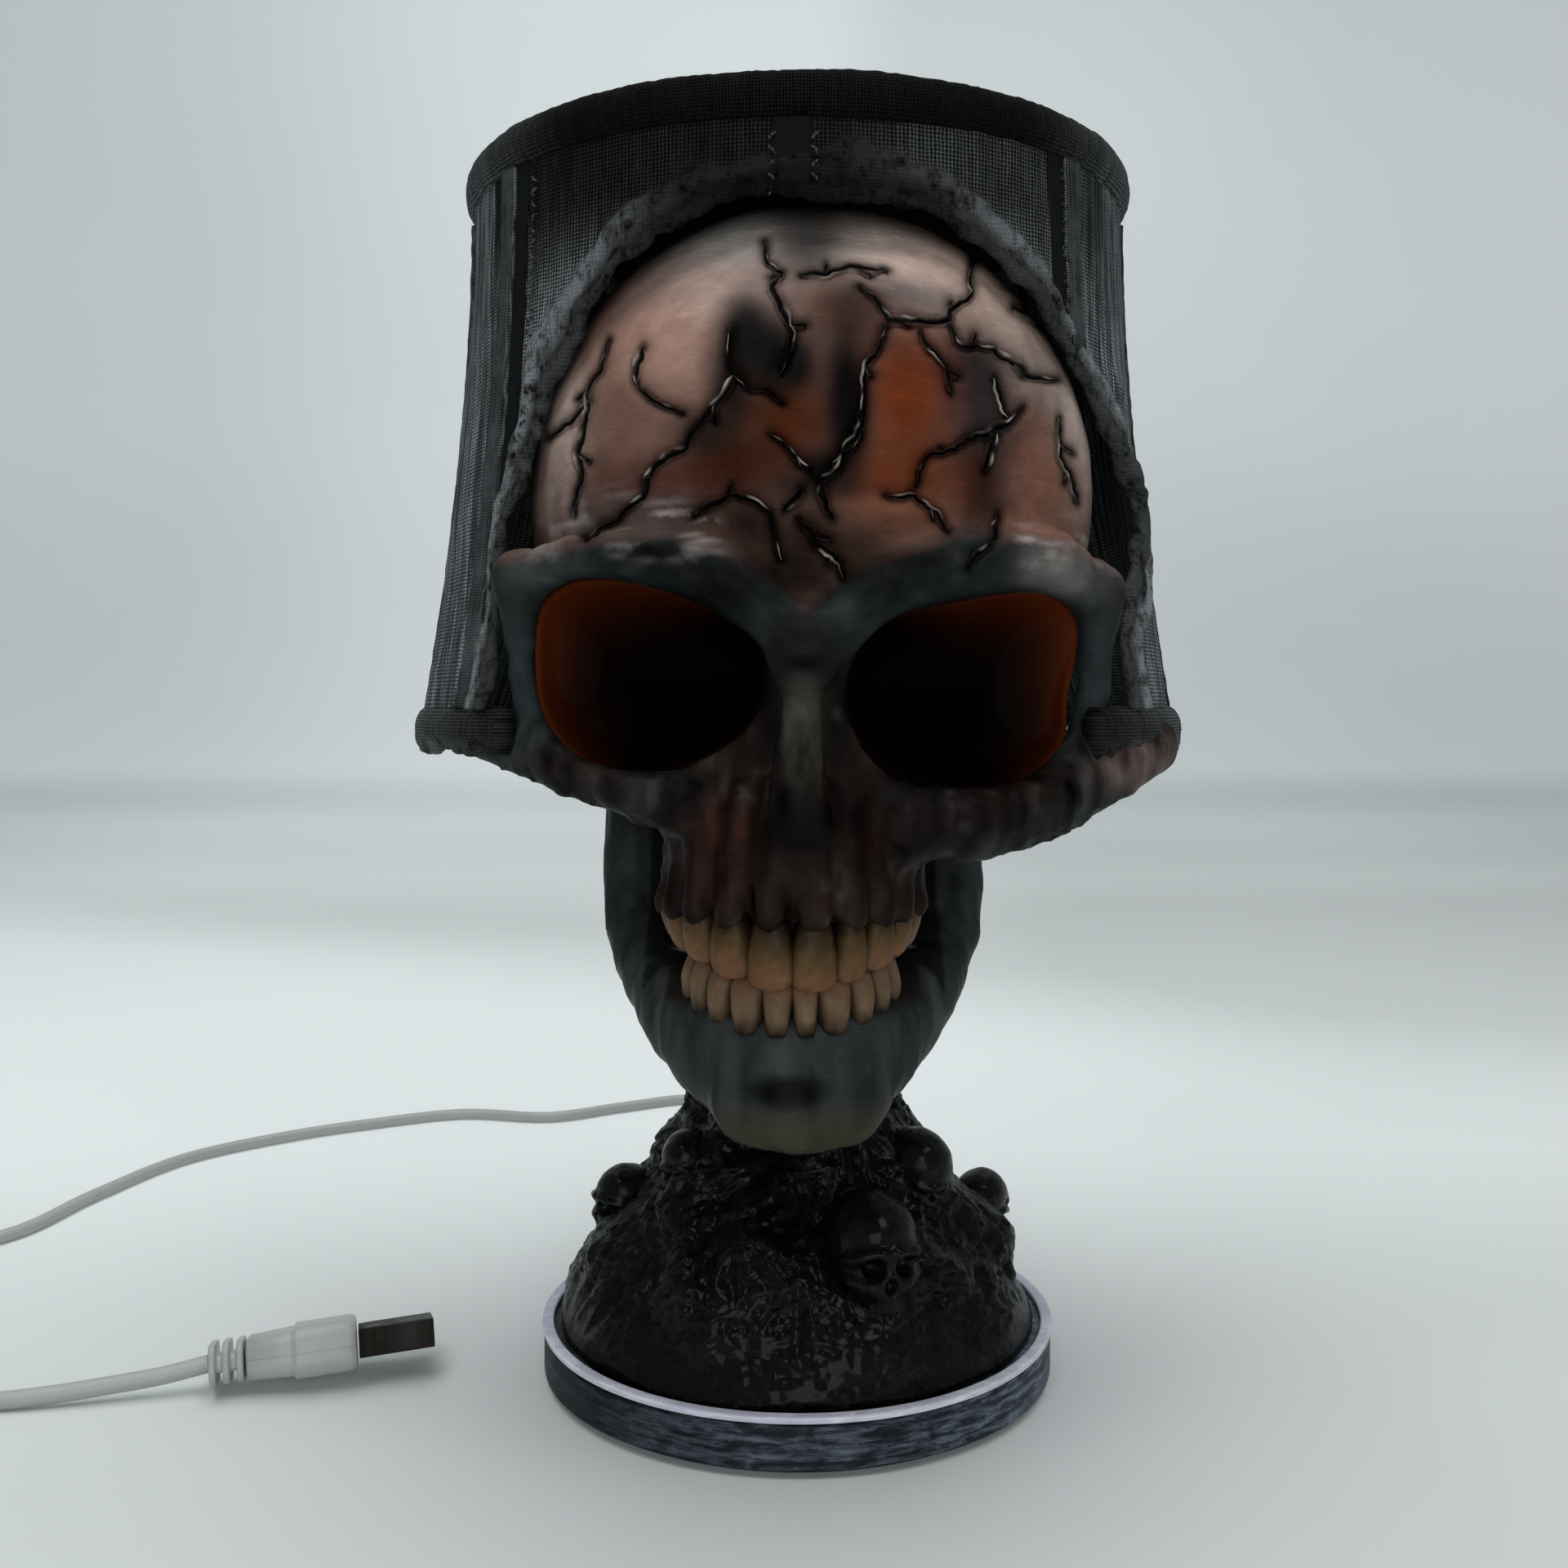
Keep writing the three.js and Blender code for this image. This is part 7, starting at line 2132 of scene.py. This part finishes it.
@dataclass
class Rock:
    """The waisted rock, crusted with fine strands, and the small skulls half sunk in it."""

    foot_z: float = 8.5
    top_z: float = 97.5
    foot_radius: float = 40
    bore_radius: float = 5.5
    rows: int = 270
    columns: int = 460
    roughness: float = 1.7
    rings: int = 13
    ring_power: float = 1.3
    crags: tuple = ((4, 13, 0), (7, -19, 1), (9, 29, 2))
    outline: tuple[Pixel, ...] = (
        (0, 1), (0.07, 0.93), (0.165, 0.83), (0.275, 0.62), (0.33, 0.55), (0.41, 0.43), (0.56, 0.37),
        (0.8, 0.34), (1, 0.325),
    )

    def radius_at(self, share: Array | float) -> Array:
        """Give the rock's mean radius at a share of its height."""
        heights, radii = zip(*self.outline)
        return self.foot_radius * np.interp(share, heights, radii)

    def build_rock(self) -> None:
        """Displace the rock's skin into crags and strands."""
        shares = np.linspace(0, 1, self.rows)
        azimuths = np.arange(self.columns) * 360 / self.columns
        z = self.foot_z + shares * (self.top_z - self.foot_z)
        base = around(azimuths[None], self.radius_at(shares)[:, None], z[:, None])
        steps = shares ** (1 / self.ring_power) * self.rings
        fade = np.clip(np.minimum(steps, self.rings - steps) / 3, 0, 1)[:, None]
        angle = np.radians(azimuths)[None]
        crags = sum(np.sin(turns * angle + rise * shares[:, None] + at) for turns, rise, at in self.crags) / 2
        bend = 2.2 * np.stack([grain(base, 9, 123), grain(base, 9, 124), grain(base, 9, 125)], axis=-1)
        strands = rough_grain((base + bend) / np.array([1, 1, 2.0]), 3.4, 3, 127, True)
        folds = rough_grain(base + bend, 8, 2, 121, True)
        fine = rough_grain(base + 0.4 * bend, 1.5, 2, 131, True)
        push = self.roughness * crags + 1.15 * (strands - 0.35) + 0.9 * (folds - 0.35) + 0.5 * (fine - 0.3)
        radius = np.minimum(self.radius_at(shares)[:, None] + push * fade, 39.6)
        slump = 0.9 * grain(base, 6, 133) * fade
        outer = around(azimuths[None], radius, z[:, None] + slump)
        bore = around(azimuths[None], self.bore_radius, np.array([self.top_z, self.foot_z])[:, None])
        rings = np.concatenate([outer, bore])
        faces = grid_faces(len(rings), self.columns, close_rows=True, close_columns=True)
        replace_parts(mesh_object("rock_crust", rings, faces, ROCK), "rock_pedestal")

    def skull_field(self, points: Array) -> Array:
        """Give the field of a small skull of full size that looks along -Y."""
        x, z = points[..., 0], points[..., 2]
        mirrored = points.copy()
        mirrored[..., 0] = np.abs(x)
        solid = rounded_mass(points, (0, 0.9, 2.2), (5.2, 5.9, 5.1))
        solid = joined(solid, rounded_mass(points, (0, -2.4, -1.4), (3.7, 3.3, 3.8)), 1.6)
        solid = joined(
            solid,
            bone_chain(mirrored, ((0.9, -5.1, 1.7, 0.7), (3.1, -4.4, 1.5, 0.75), (4.2, -2.2, 0.6, 0.7))), 0.8
        )
        solid = joined(
            solid,
            bone_chain(mirrored, ((2.0, -4.6, -1.9, 0.8), (3.9, -2.9, -1.5, 0.75), (4.5, -0.4, -0.8, 0.6))),
            0.8
        )
        jaw = bone_chain(
            mirrored,
            ((3.7, 0.1, -1.8, 0.8), (3.3, -0.5, -4.6, 0.95), (1.8, -3.8, -6.2, 1.1), (0, -4.6, -6.5, 1.2))
        )
        teeth = rounded_mass(points, (0, -3.0, -4.4), (2.5, 2.4, 1.3))
        solid = joined(joined(solid, jaw, 0.8), teeth, 0.5)
        for centre, sizes in (((1.95, -5.4, 0.1), (1.35, 2.4, 1.3)),):
            solid = carved(solid, rounded_mass(mirrored, centre, sizes), 0.5)
        nose = rounded_mass(points, (0, -6.0, -1.9), (0.75, 1.8, 1.0))
        solid = carved(solid, nose, 0.3)
        solid = carved(solid, rounded_mass(mirrored, (3.9, -1.8, -3.4), (1.0, 1.6, 1.2)), 0.5)
        front = (
            np.clip((-3 - points[..., 1]) / 1.2, 0, 1) * np.exp(-(((z + 4.4) / 1.5) ** 2))
            * np.exp(-((x / 2.7) ** 4))
        )
        solid = (
            solid + 0.22 * front * np.abs(np.cos(x * 3.4)) ** 6
            + 0.32 * front * np.exp(-(((z + 4.35) / 0.2) ** 2))
        )
        return solid - 0.12 * rough_grain(points, 1.8, 2, 141)

    def build_skulls(self) -> None:
        """Sculpt one small skull and set it in the rock six times, each with its own wear."""
        local, quads = sculpt(
            self.skull_field, (-6.6, -7.4, -8.4), (6.6, 7.6, 8.0), Coarseness.SMALL_SKULL.value
        )
        for number, spec in enumerate(SMALL_SKULLS):
            wear = 0.16 * rough_grain(local + 13 * number, 2.2, 2, 150 + number)
            points = (local + wear[:, None] * np.array([0.6, 0.8, 0.4])) * spec.size
            tilt, turn = math.radians(spec.tilt), math.radians(spec.turn)
            seat = around(
                spec.azimuth, float(self.seat_radius(spec)),
                self.foot_z + spec.height * (self.top_z - self.foot_z)
            )
            placed = points @ (spin(2, turn) @ spin(0, tilt)).T + seat
            made = mesh_object(f"small_skull_{spec.name}", placed, quads, SMALL_BONE)
            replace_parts(made, f"rock_skull_{spec.name}")

    def seat_radius(self, spec: "SmallSkull") -> float:
        """Give how far from the axis a small skull sits."""
        heights = (0, 0.07, 0.165, 0.275, 0.33, 0.41)
        return (
            self.foot_radius * float(np.interp(spec.height, heights, (1, 0.93, 0.83, 0.62, 0.55, 0.43)))
            * spec.out
        )

    def build(self) -> None:
        """Make the rock and its skulls."""
        self.build_rock()
        self.build_skulls()


@dataclass(frozen=True)
class SmallSkull:
    """Where one small skull sits: azimuth, shares of the rock's height and radius, size, turn and tilt."""

    name: str
    azimuth: float
    height: float
    out: float
    size: float
    turn: float
    tilt: float


SMALL_SKULLS = (
    SmallSkull("left", 268, 0.2, 0.98, 0.88, 300, 0),
    SmallSkull("front_right", 22.5, 0.21, 1.0, 1.34, 20, 0),
    SmallSkull("upper_right", 57, 0.3, 0.98, 0.98, 62, 32),
    SmallSkull("rear_right", 103, 0.175, 1.03, 0.86, 150, 0),
    SmallSkull("upper_left", 305, 0.315, 0.96, 0.78, 330, 15),
    SmallSkull("rear", 200, 0.24, 1.05, 0.95, 195, 5),
)


# Base, switch and the parts inside


def cut_out(target: Piece, points: Array, faces: Iterable[Sequence[int]]) -> None:
    """Cut a closed form, given in millimetres, out of a piece."""
    mesh = bpy.data.meshes.new("cutter")
    mesh.from_pydata((points * MM).tolist(), [], [list(map(int, face)) for face in faces])
    cutter = bpy.data.objects.new("cutter", mesh)
    bpy.context.collection.objects.link(cutter)
    cut = target.modifiers.new("cut", "BOOLEAN")
    cut.operation = "DIFFERENCE"
    cut.solver = "EXACT"
    cut.object = cutter
    apply_modifiers(target)
    bpy.data.objects.remove(cutter)
    bpy.data.meshes.remove(mesh)


@dataclass
class Base:
    """The brushed base with its worn silver edge, its foot, its switch and the cord's grommet."""

    radius: float = 42.5
    cavity: float = 36
    well: float = 5.4
    switch_azimuth: float = 150
    side_z: float = 4.6

    def radial(self, points: Array, azimuth: float) -> Array:
        """Turn points turned about Z so that their axis runs out of the lamp at an azimuth."""
        angle = math.radians(azimuth)
        out = np.array([math.sin(angle), -math.cos(angle), 0])
        side = np.array([math.cos(angle), math.sin(angle), 0])
        up = np.array([0, 0, 1])
        return (
            points[..., 0, None] * side + points[..., 1, None] * up + points[..., 2, None] * out
            + up * self.side_z
        )

    def radial_piece(
        self, name: str, node: str, profile: Sequence[Pixel], azimuth: float, finish: Finish, body: str = BODY
    ) -> None:
        """Make a turned piece whose axis runs out of the base's side."""
        shape = np.array(profile, dtype=float)
        sides = 48
        rings = around(np.arange(sides)[:, None] * 360 / sides, shape[None, :, 0], shape[None, :, 1])
        faces = grid_faces(sides, len(shape), close_rows=True, close_columns=True)
        made = mesh_object(name, self.radial(rings, azimuth), faces, finish, body=body)
        merge_close(made)
        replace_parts(made, node)

    def build_plate(self) -> None:
        """Turn the base plate and drill its side for the switch and the cord."""
        profile = round_profile(
            [
                (self.well, 8.2), (41.2, 8.2), (self.radius, 7.9), (self.radius, 1.3), (self.cavity, 1.3),
                (self.cavity, 6.9), (self.well, 6.9)
            ],
            0.45,
        )
        made = turned("base_brushed", profile, BASE, 192)
        for azimuth, radius in ((self.switch_azimuth, 2.75), (180, 2.15)):
            ends = around((np.arange(32) * 360 / 32)[None], radius, np.array([30.0, 46.0])[:, None])
            faces = (
                [list(face) for face in grid_faces(2, 32, close_columns=True)]
                + [list(range(32))[::-1], list(range(32, 64))]
            )
            cut_out(made, self.radial(ends, azimuth).reshape(-1, 3), faces)
        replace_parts(made, "base_plate")
        trim = round_profile([(40.9, 8.2), (42.8, 8.2), (42.8, 9.2), (40.9, 9.2)], 0.35)
        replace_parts(turned("base_silver_edge", trim, TRIM, 192), "base_edge_trim")
        low, high = cad_box("foot_pad")
        foot = round_profile([(0, low[2]), (high[0], low[2]), (high[0], high[2]), (0, high[2])], 0.2)
        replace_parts(turned("foot_foam", foot, PAD, 160), "foot_pad")

    def build_switch(self) -> None:
        """Make the push button, its bezel and the cord's grommet."""
        button = round_profile([(0, 37), (1.9, 37), (1.9, 44), (0, 44)], 0.3)
        self.radial_piece("button_cap", "switch_button", button, self.switch_azimuth, COVER, BUTTON_BODY)
        bezel = round_profile([(2.2, 42.7), (2.7, 42.7), (2.7, 44.3), (2.2, 44.3)], 0.15)
        self.radial_piece("button_bezel", "switch_bezel", bezel, self.switch_azimuth, COVER)
        low, high = cad_box("cord_grommet")
        grommet = round_profile(
            [
                (1.5, low[1]), (2.0, low[1]), (2.0, high[1] - 1.0), (2.65, high[1] - 0.8), (2.5, high[1]),
                (1.5, high[1])
            ],
            0.15
        )
        self.radial_piece("grommet_moulded", "cord_grommet", grommet, 180, WHITE)

    def build(self) -> None:
        """Make the whole base."""
        self.build_plate()
        self.build_switch()


@dataclass
class Works:
    """What holds the lamp together and lights it: tube, nuts, washers, carrier, holder, globe and leads."""

    tube_radius: float = 5
    tube_bore: float = 3.2

    def nut(self, name: str, node: str) -> None:
        """Make a six-sided nut with turned corners."""
        low, high = cad_box(node)
        corner, z0, z1 = high[1], low[2], high[2]
        angles = np.arange(96) * 360 / 96
        flat = corner * math.cos(math.pi / 6) / np.cos(np.radians((angles + 30) % 60 - 30))
        rings = []
        worn = corner - 0.9
        for z, limit in ((z0, worn), (z0 + 0.35, corner), (z1 - 0.35, corner), (z1, worn)):
            rings.append(around(angles, np.minimum(flat, limit), z))
        for z in (z1, z0):
            rings.append(around(angles, self.tube_radius + 0.3, z))
        points = np.array(rings)
        faces = grid_faces(len(rings), len(angles), close_rows=True, close_columns=True)
        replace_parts(mesh_object(name, points, faces, STEEL, smooth=False), node)

    def ring(self, name: str, node: str, inner: float, finish: Finish, edge: float = 0.15) -> None:
        """Make a plain ring or disc as large as its CAD node, its edges rounded."""
        low, high = cad_box(node)
        outer = high[1]
        profile = round_profile([(inner, low[2]), (outer, low[2]), (outer, high[2]), (inner, high[2])], edge)
        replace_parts(turned(name, profile, finish), node)

    def build_tube(self) -> None:
        """Turn the threaded tube."""
        low, high = cad_box("threaded_tube")
        crests = np.arange(low[2] + 0.5, high[2] - 0.5, 0.5)
        outer = [(self.tube_radius - (0.32 if k % 2 else 0), z) for k, z in enumerate(crests)]
        root, bore = self.tube_radius - 0.4, self.tube_bore
        profile = [(root, low[2]), *outer, (root, high[2]), (bore, high[2]), (bore, low[2])]
        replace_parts(turned("tube_threaded", profile, STEEL, 64), "threaded_tube")

    def build_carrier(self) -> None:
        """Bend the shade's carrier: a hub, three arms and a hoop."""
        shell = Shell()
        hub_low, hub_high, hub_radius = 97.8, 99.4, 9.0
        hub = round_profile(
            [(5.3, hub_low), (hub_radius, hub_low), (hub_radius, hub_high), (5.3, hub_high)], 0.2
        )
        azimuths = np.arange(64) * 360 / 64
        rings = around(azimuths[:, None], np.array(hub)[None, :, 0], np.array(hub)[None, :, 1])
        shell.add(rings, grid_faces(64, len(hub), close_rows=True, close_columns=True))
        arm = ((7.8, 98.6), (20, 100.3), (40, 104.6), (58, 107.6))
        half_width, half_height = 2.4, 0.7
        for azimuth in (120, 180, 240):
            line = smooth_line([around(azimuth, radius, z) for radius, z in arm], 10)
            side = around(azimuth + 90, 1.0, 0)
            outline = []
            for angle in np.arange(16) * FULL_TURN / 16:
                c, s = math.cos(angle), math.sin(angle)
                rise = np.array([0, 0, half_height * np.sign(s) * abs(s) ** 0.5])
                outline.append(half_width * np.sign(c) * abs(c) ** 0.5 * side + rise)
            shell.add_rings(line[:, None] + np.array([outline]))
        hoop = np.array([around(a, 58.1, 107.6) for a in np.linspace(78, 282, 180)])
        shell.add_rings(swept_rings(hoop, 0.9, 14))
        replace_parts(shell.build("carrier_wire", STEEL), "shade_carrier")

    def build_light(self) -> None:
        """Make the lamp holder, its board and the frosted globe."""
        low, high = cad_box("lamp_holder")
        rim, foot, top = high[1], low[2], high[2]
        holder = round_profile(
            [
                (5.3, foot), (rim, foot), (rim, foot + 5), (rim - 0.5, foot + 5.3), (rim - 0.5, foot + 6),
                (rim, foot + 6.3), (rim, top), (3.2, top), (3.2, top - 2.4), (5.3, top - 2.4),
            ],
            0.2,
        )
        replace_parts(turned("holder_moulded", holder, MOULDING), "lamp_holder")
        self.ring("board_round", "light_board", 0.0, BOARD_GREEN)
        low, high = cad_box("light_globe")
        radius, neck, wall = 13.0, 9.4, 0.9
        hollow = radius - wall
        centre = low[2] + math.sqrt(radius**2 - neck**2)
        start = -math.acos(neck / radius)
        angles = np.linspace(start, math.pi / 2, 40)
        outer = [(max(0.0, radius * math.cos(a)), centre + radius * math.sin(a)) for a in angles]
        inner = [
            (max(0.0, hollow * math.cos(a)), max(low[2], centre + hollow * math.sin(a))) for a in angles[::-1]
        ]
        profile = [*outer[:-1], (0, outer[-1][1]), (0, inner[0][1]), *inner[1:]]
        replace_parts(turned("globe_frosted", profile, GLOBE), "light_globe")

    def build_leads(self) -> None:
        """Make the two white leads."""
        for name, node in (("lead_up", "lamp_lead"), ("lead_in", "supply_lead")):
            low, high = cad_box(node)
            middle = (low + high) / 2
            axis = int(np.argmax(high - low))
            line = np.array([middle] * 12)
            line[:, axis] = np.linspace(low[axis], high[axis], 12)
            shell = Shell()
            shell.add_rings(swept_rings(line, 1.38, 20, (1, 0, 0)))
            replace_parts(shell.build(name, WHITE), node)

    def dress_kept(self) -> None:
        """Give the CAD pieces that stay as they are a material."""
        kept = {"bottom_cover": COVER, "driver_board": BOARD_GREEN, "switch_module": COVER}
        kept.update({f"cover_screw_{number}": STEEL for number in (1, 2, 3)})
        for node, finish in kept.items():
            dress_kept(node, finish)

    def build(self) -> None:
        """Make all of it."""
        self.build_tube()
        self.nut("nut_lower", "base_nut")
        self.nut("nut_upper", "neck_nut")
        self.ring("washer_lower", "base_washer", 5.3, STEEL)
        self.ring("washer_upper", "neck_washer", 5.3, STEEL)
        self.build_carrier()
        self.build_light()
        self.build_leads()
        self.dress_kept()


def main() -> None:
    """Build every sub-assembly in order."""
    logging.basicConfig(level=logging.INFO, format="%(message)s")
    studio = Studio()
    studio.build()
    Plug().build()
    Cord().build()
    Skull(SkullForm(studio)).build()
    jaw = Jaw()
    jaw.build_bone()
    jaw.build_teeth()
    Shade().build()
    Rock().build()
    Base().build()
    Works().build()
    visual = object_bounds()
    boxes = {
        name: [[float(v) for v in corner] for corner in box]
        for name, box in (("cad", CAD_BOUNDS), ("visual", visual))
    }


if __name__ == "__main__":
    main()
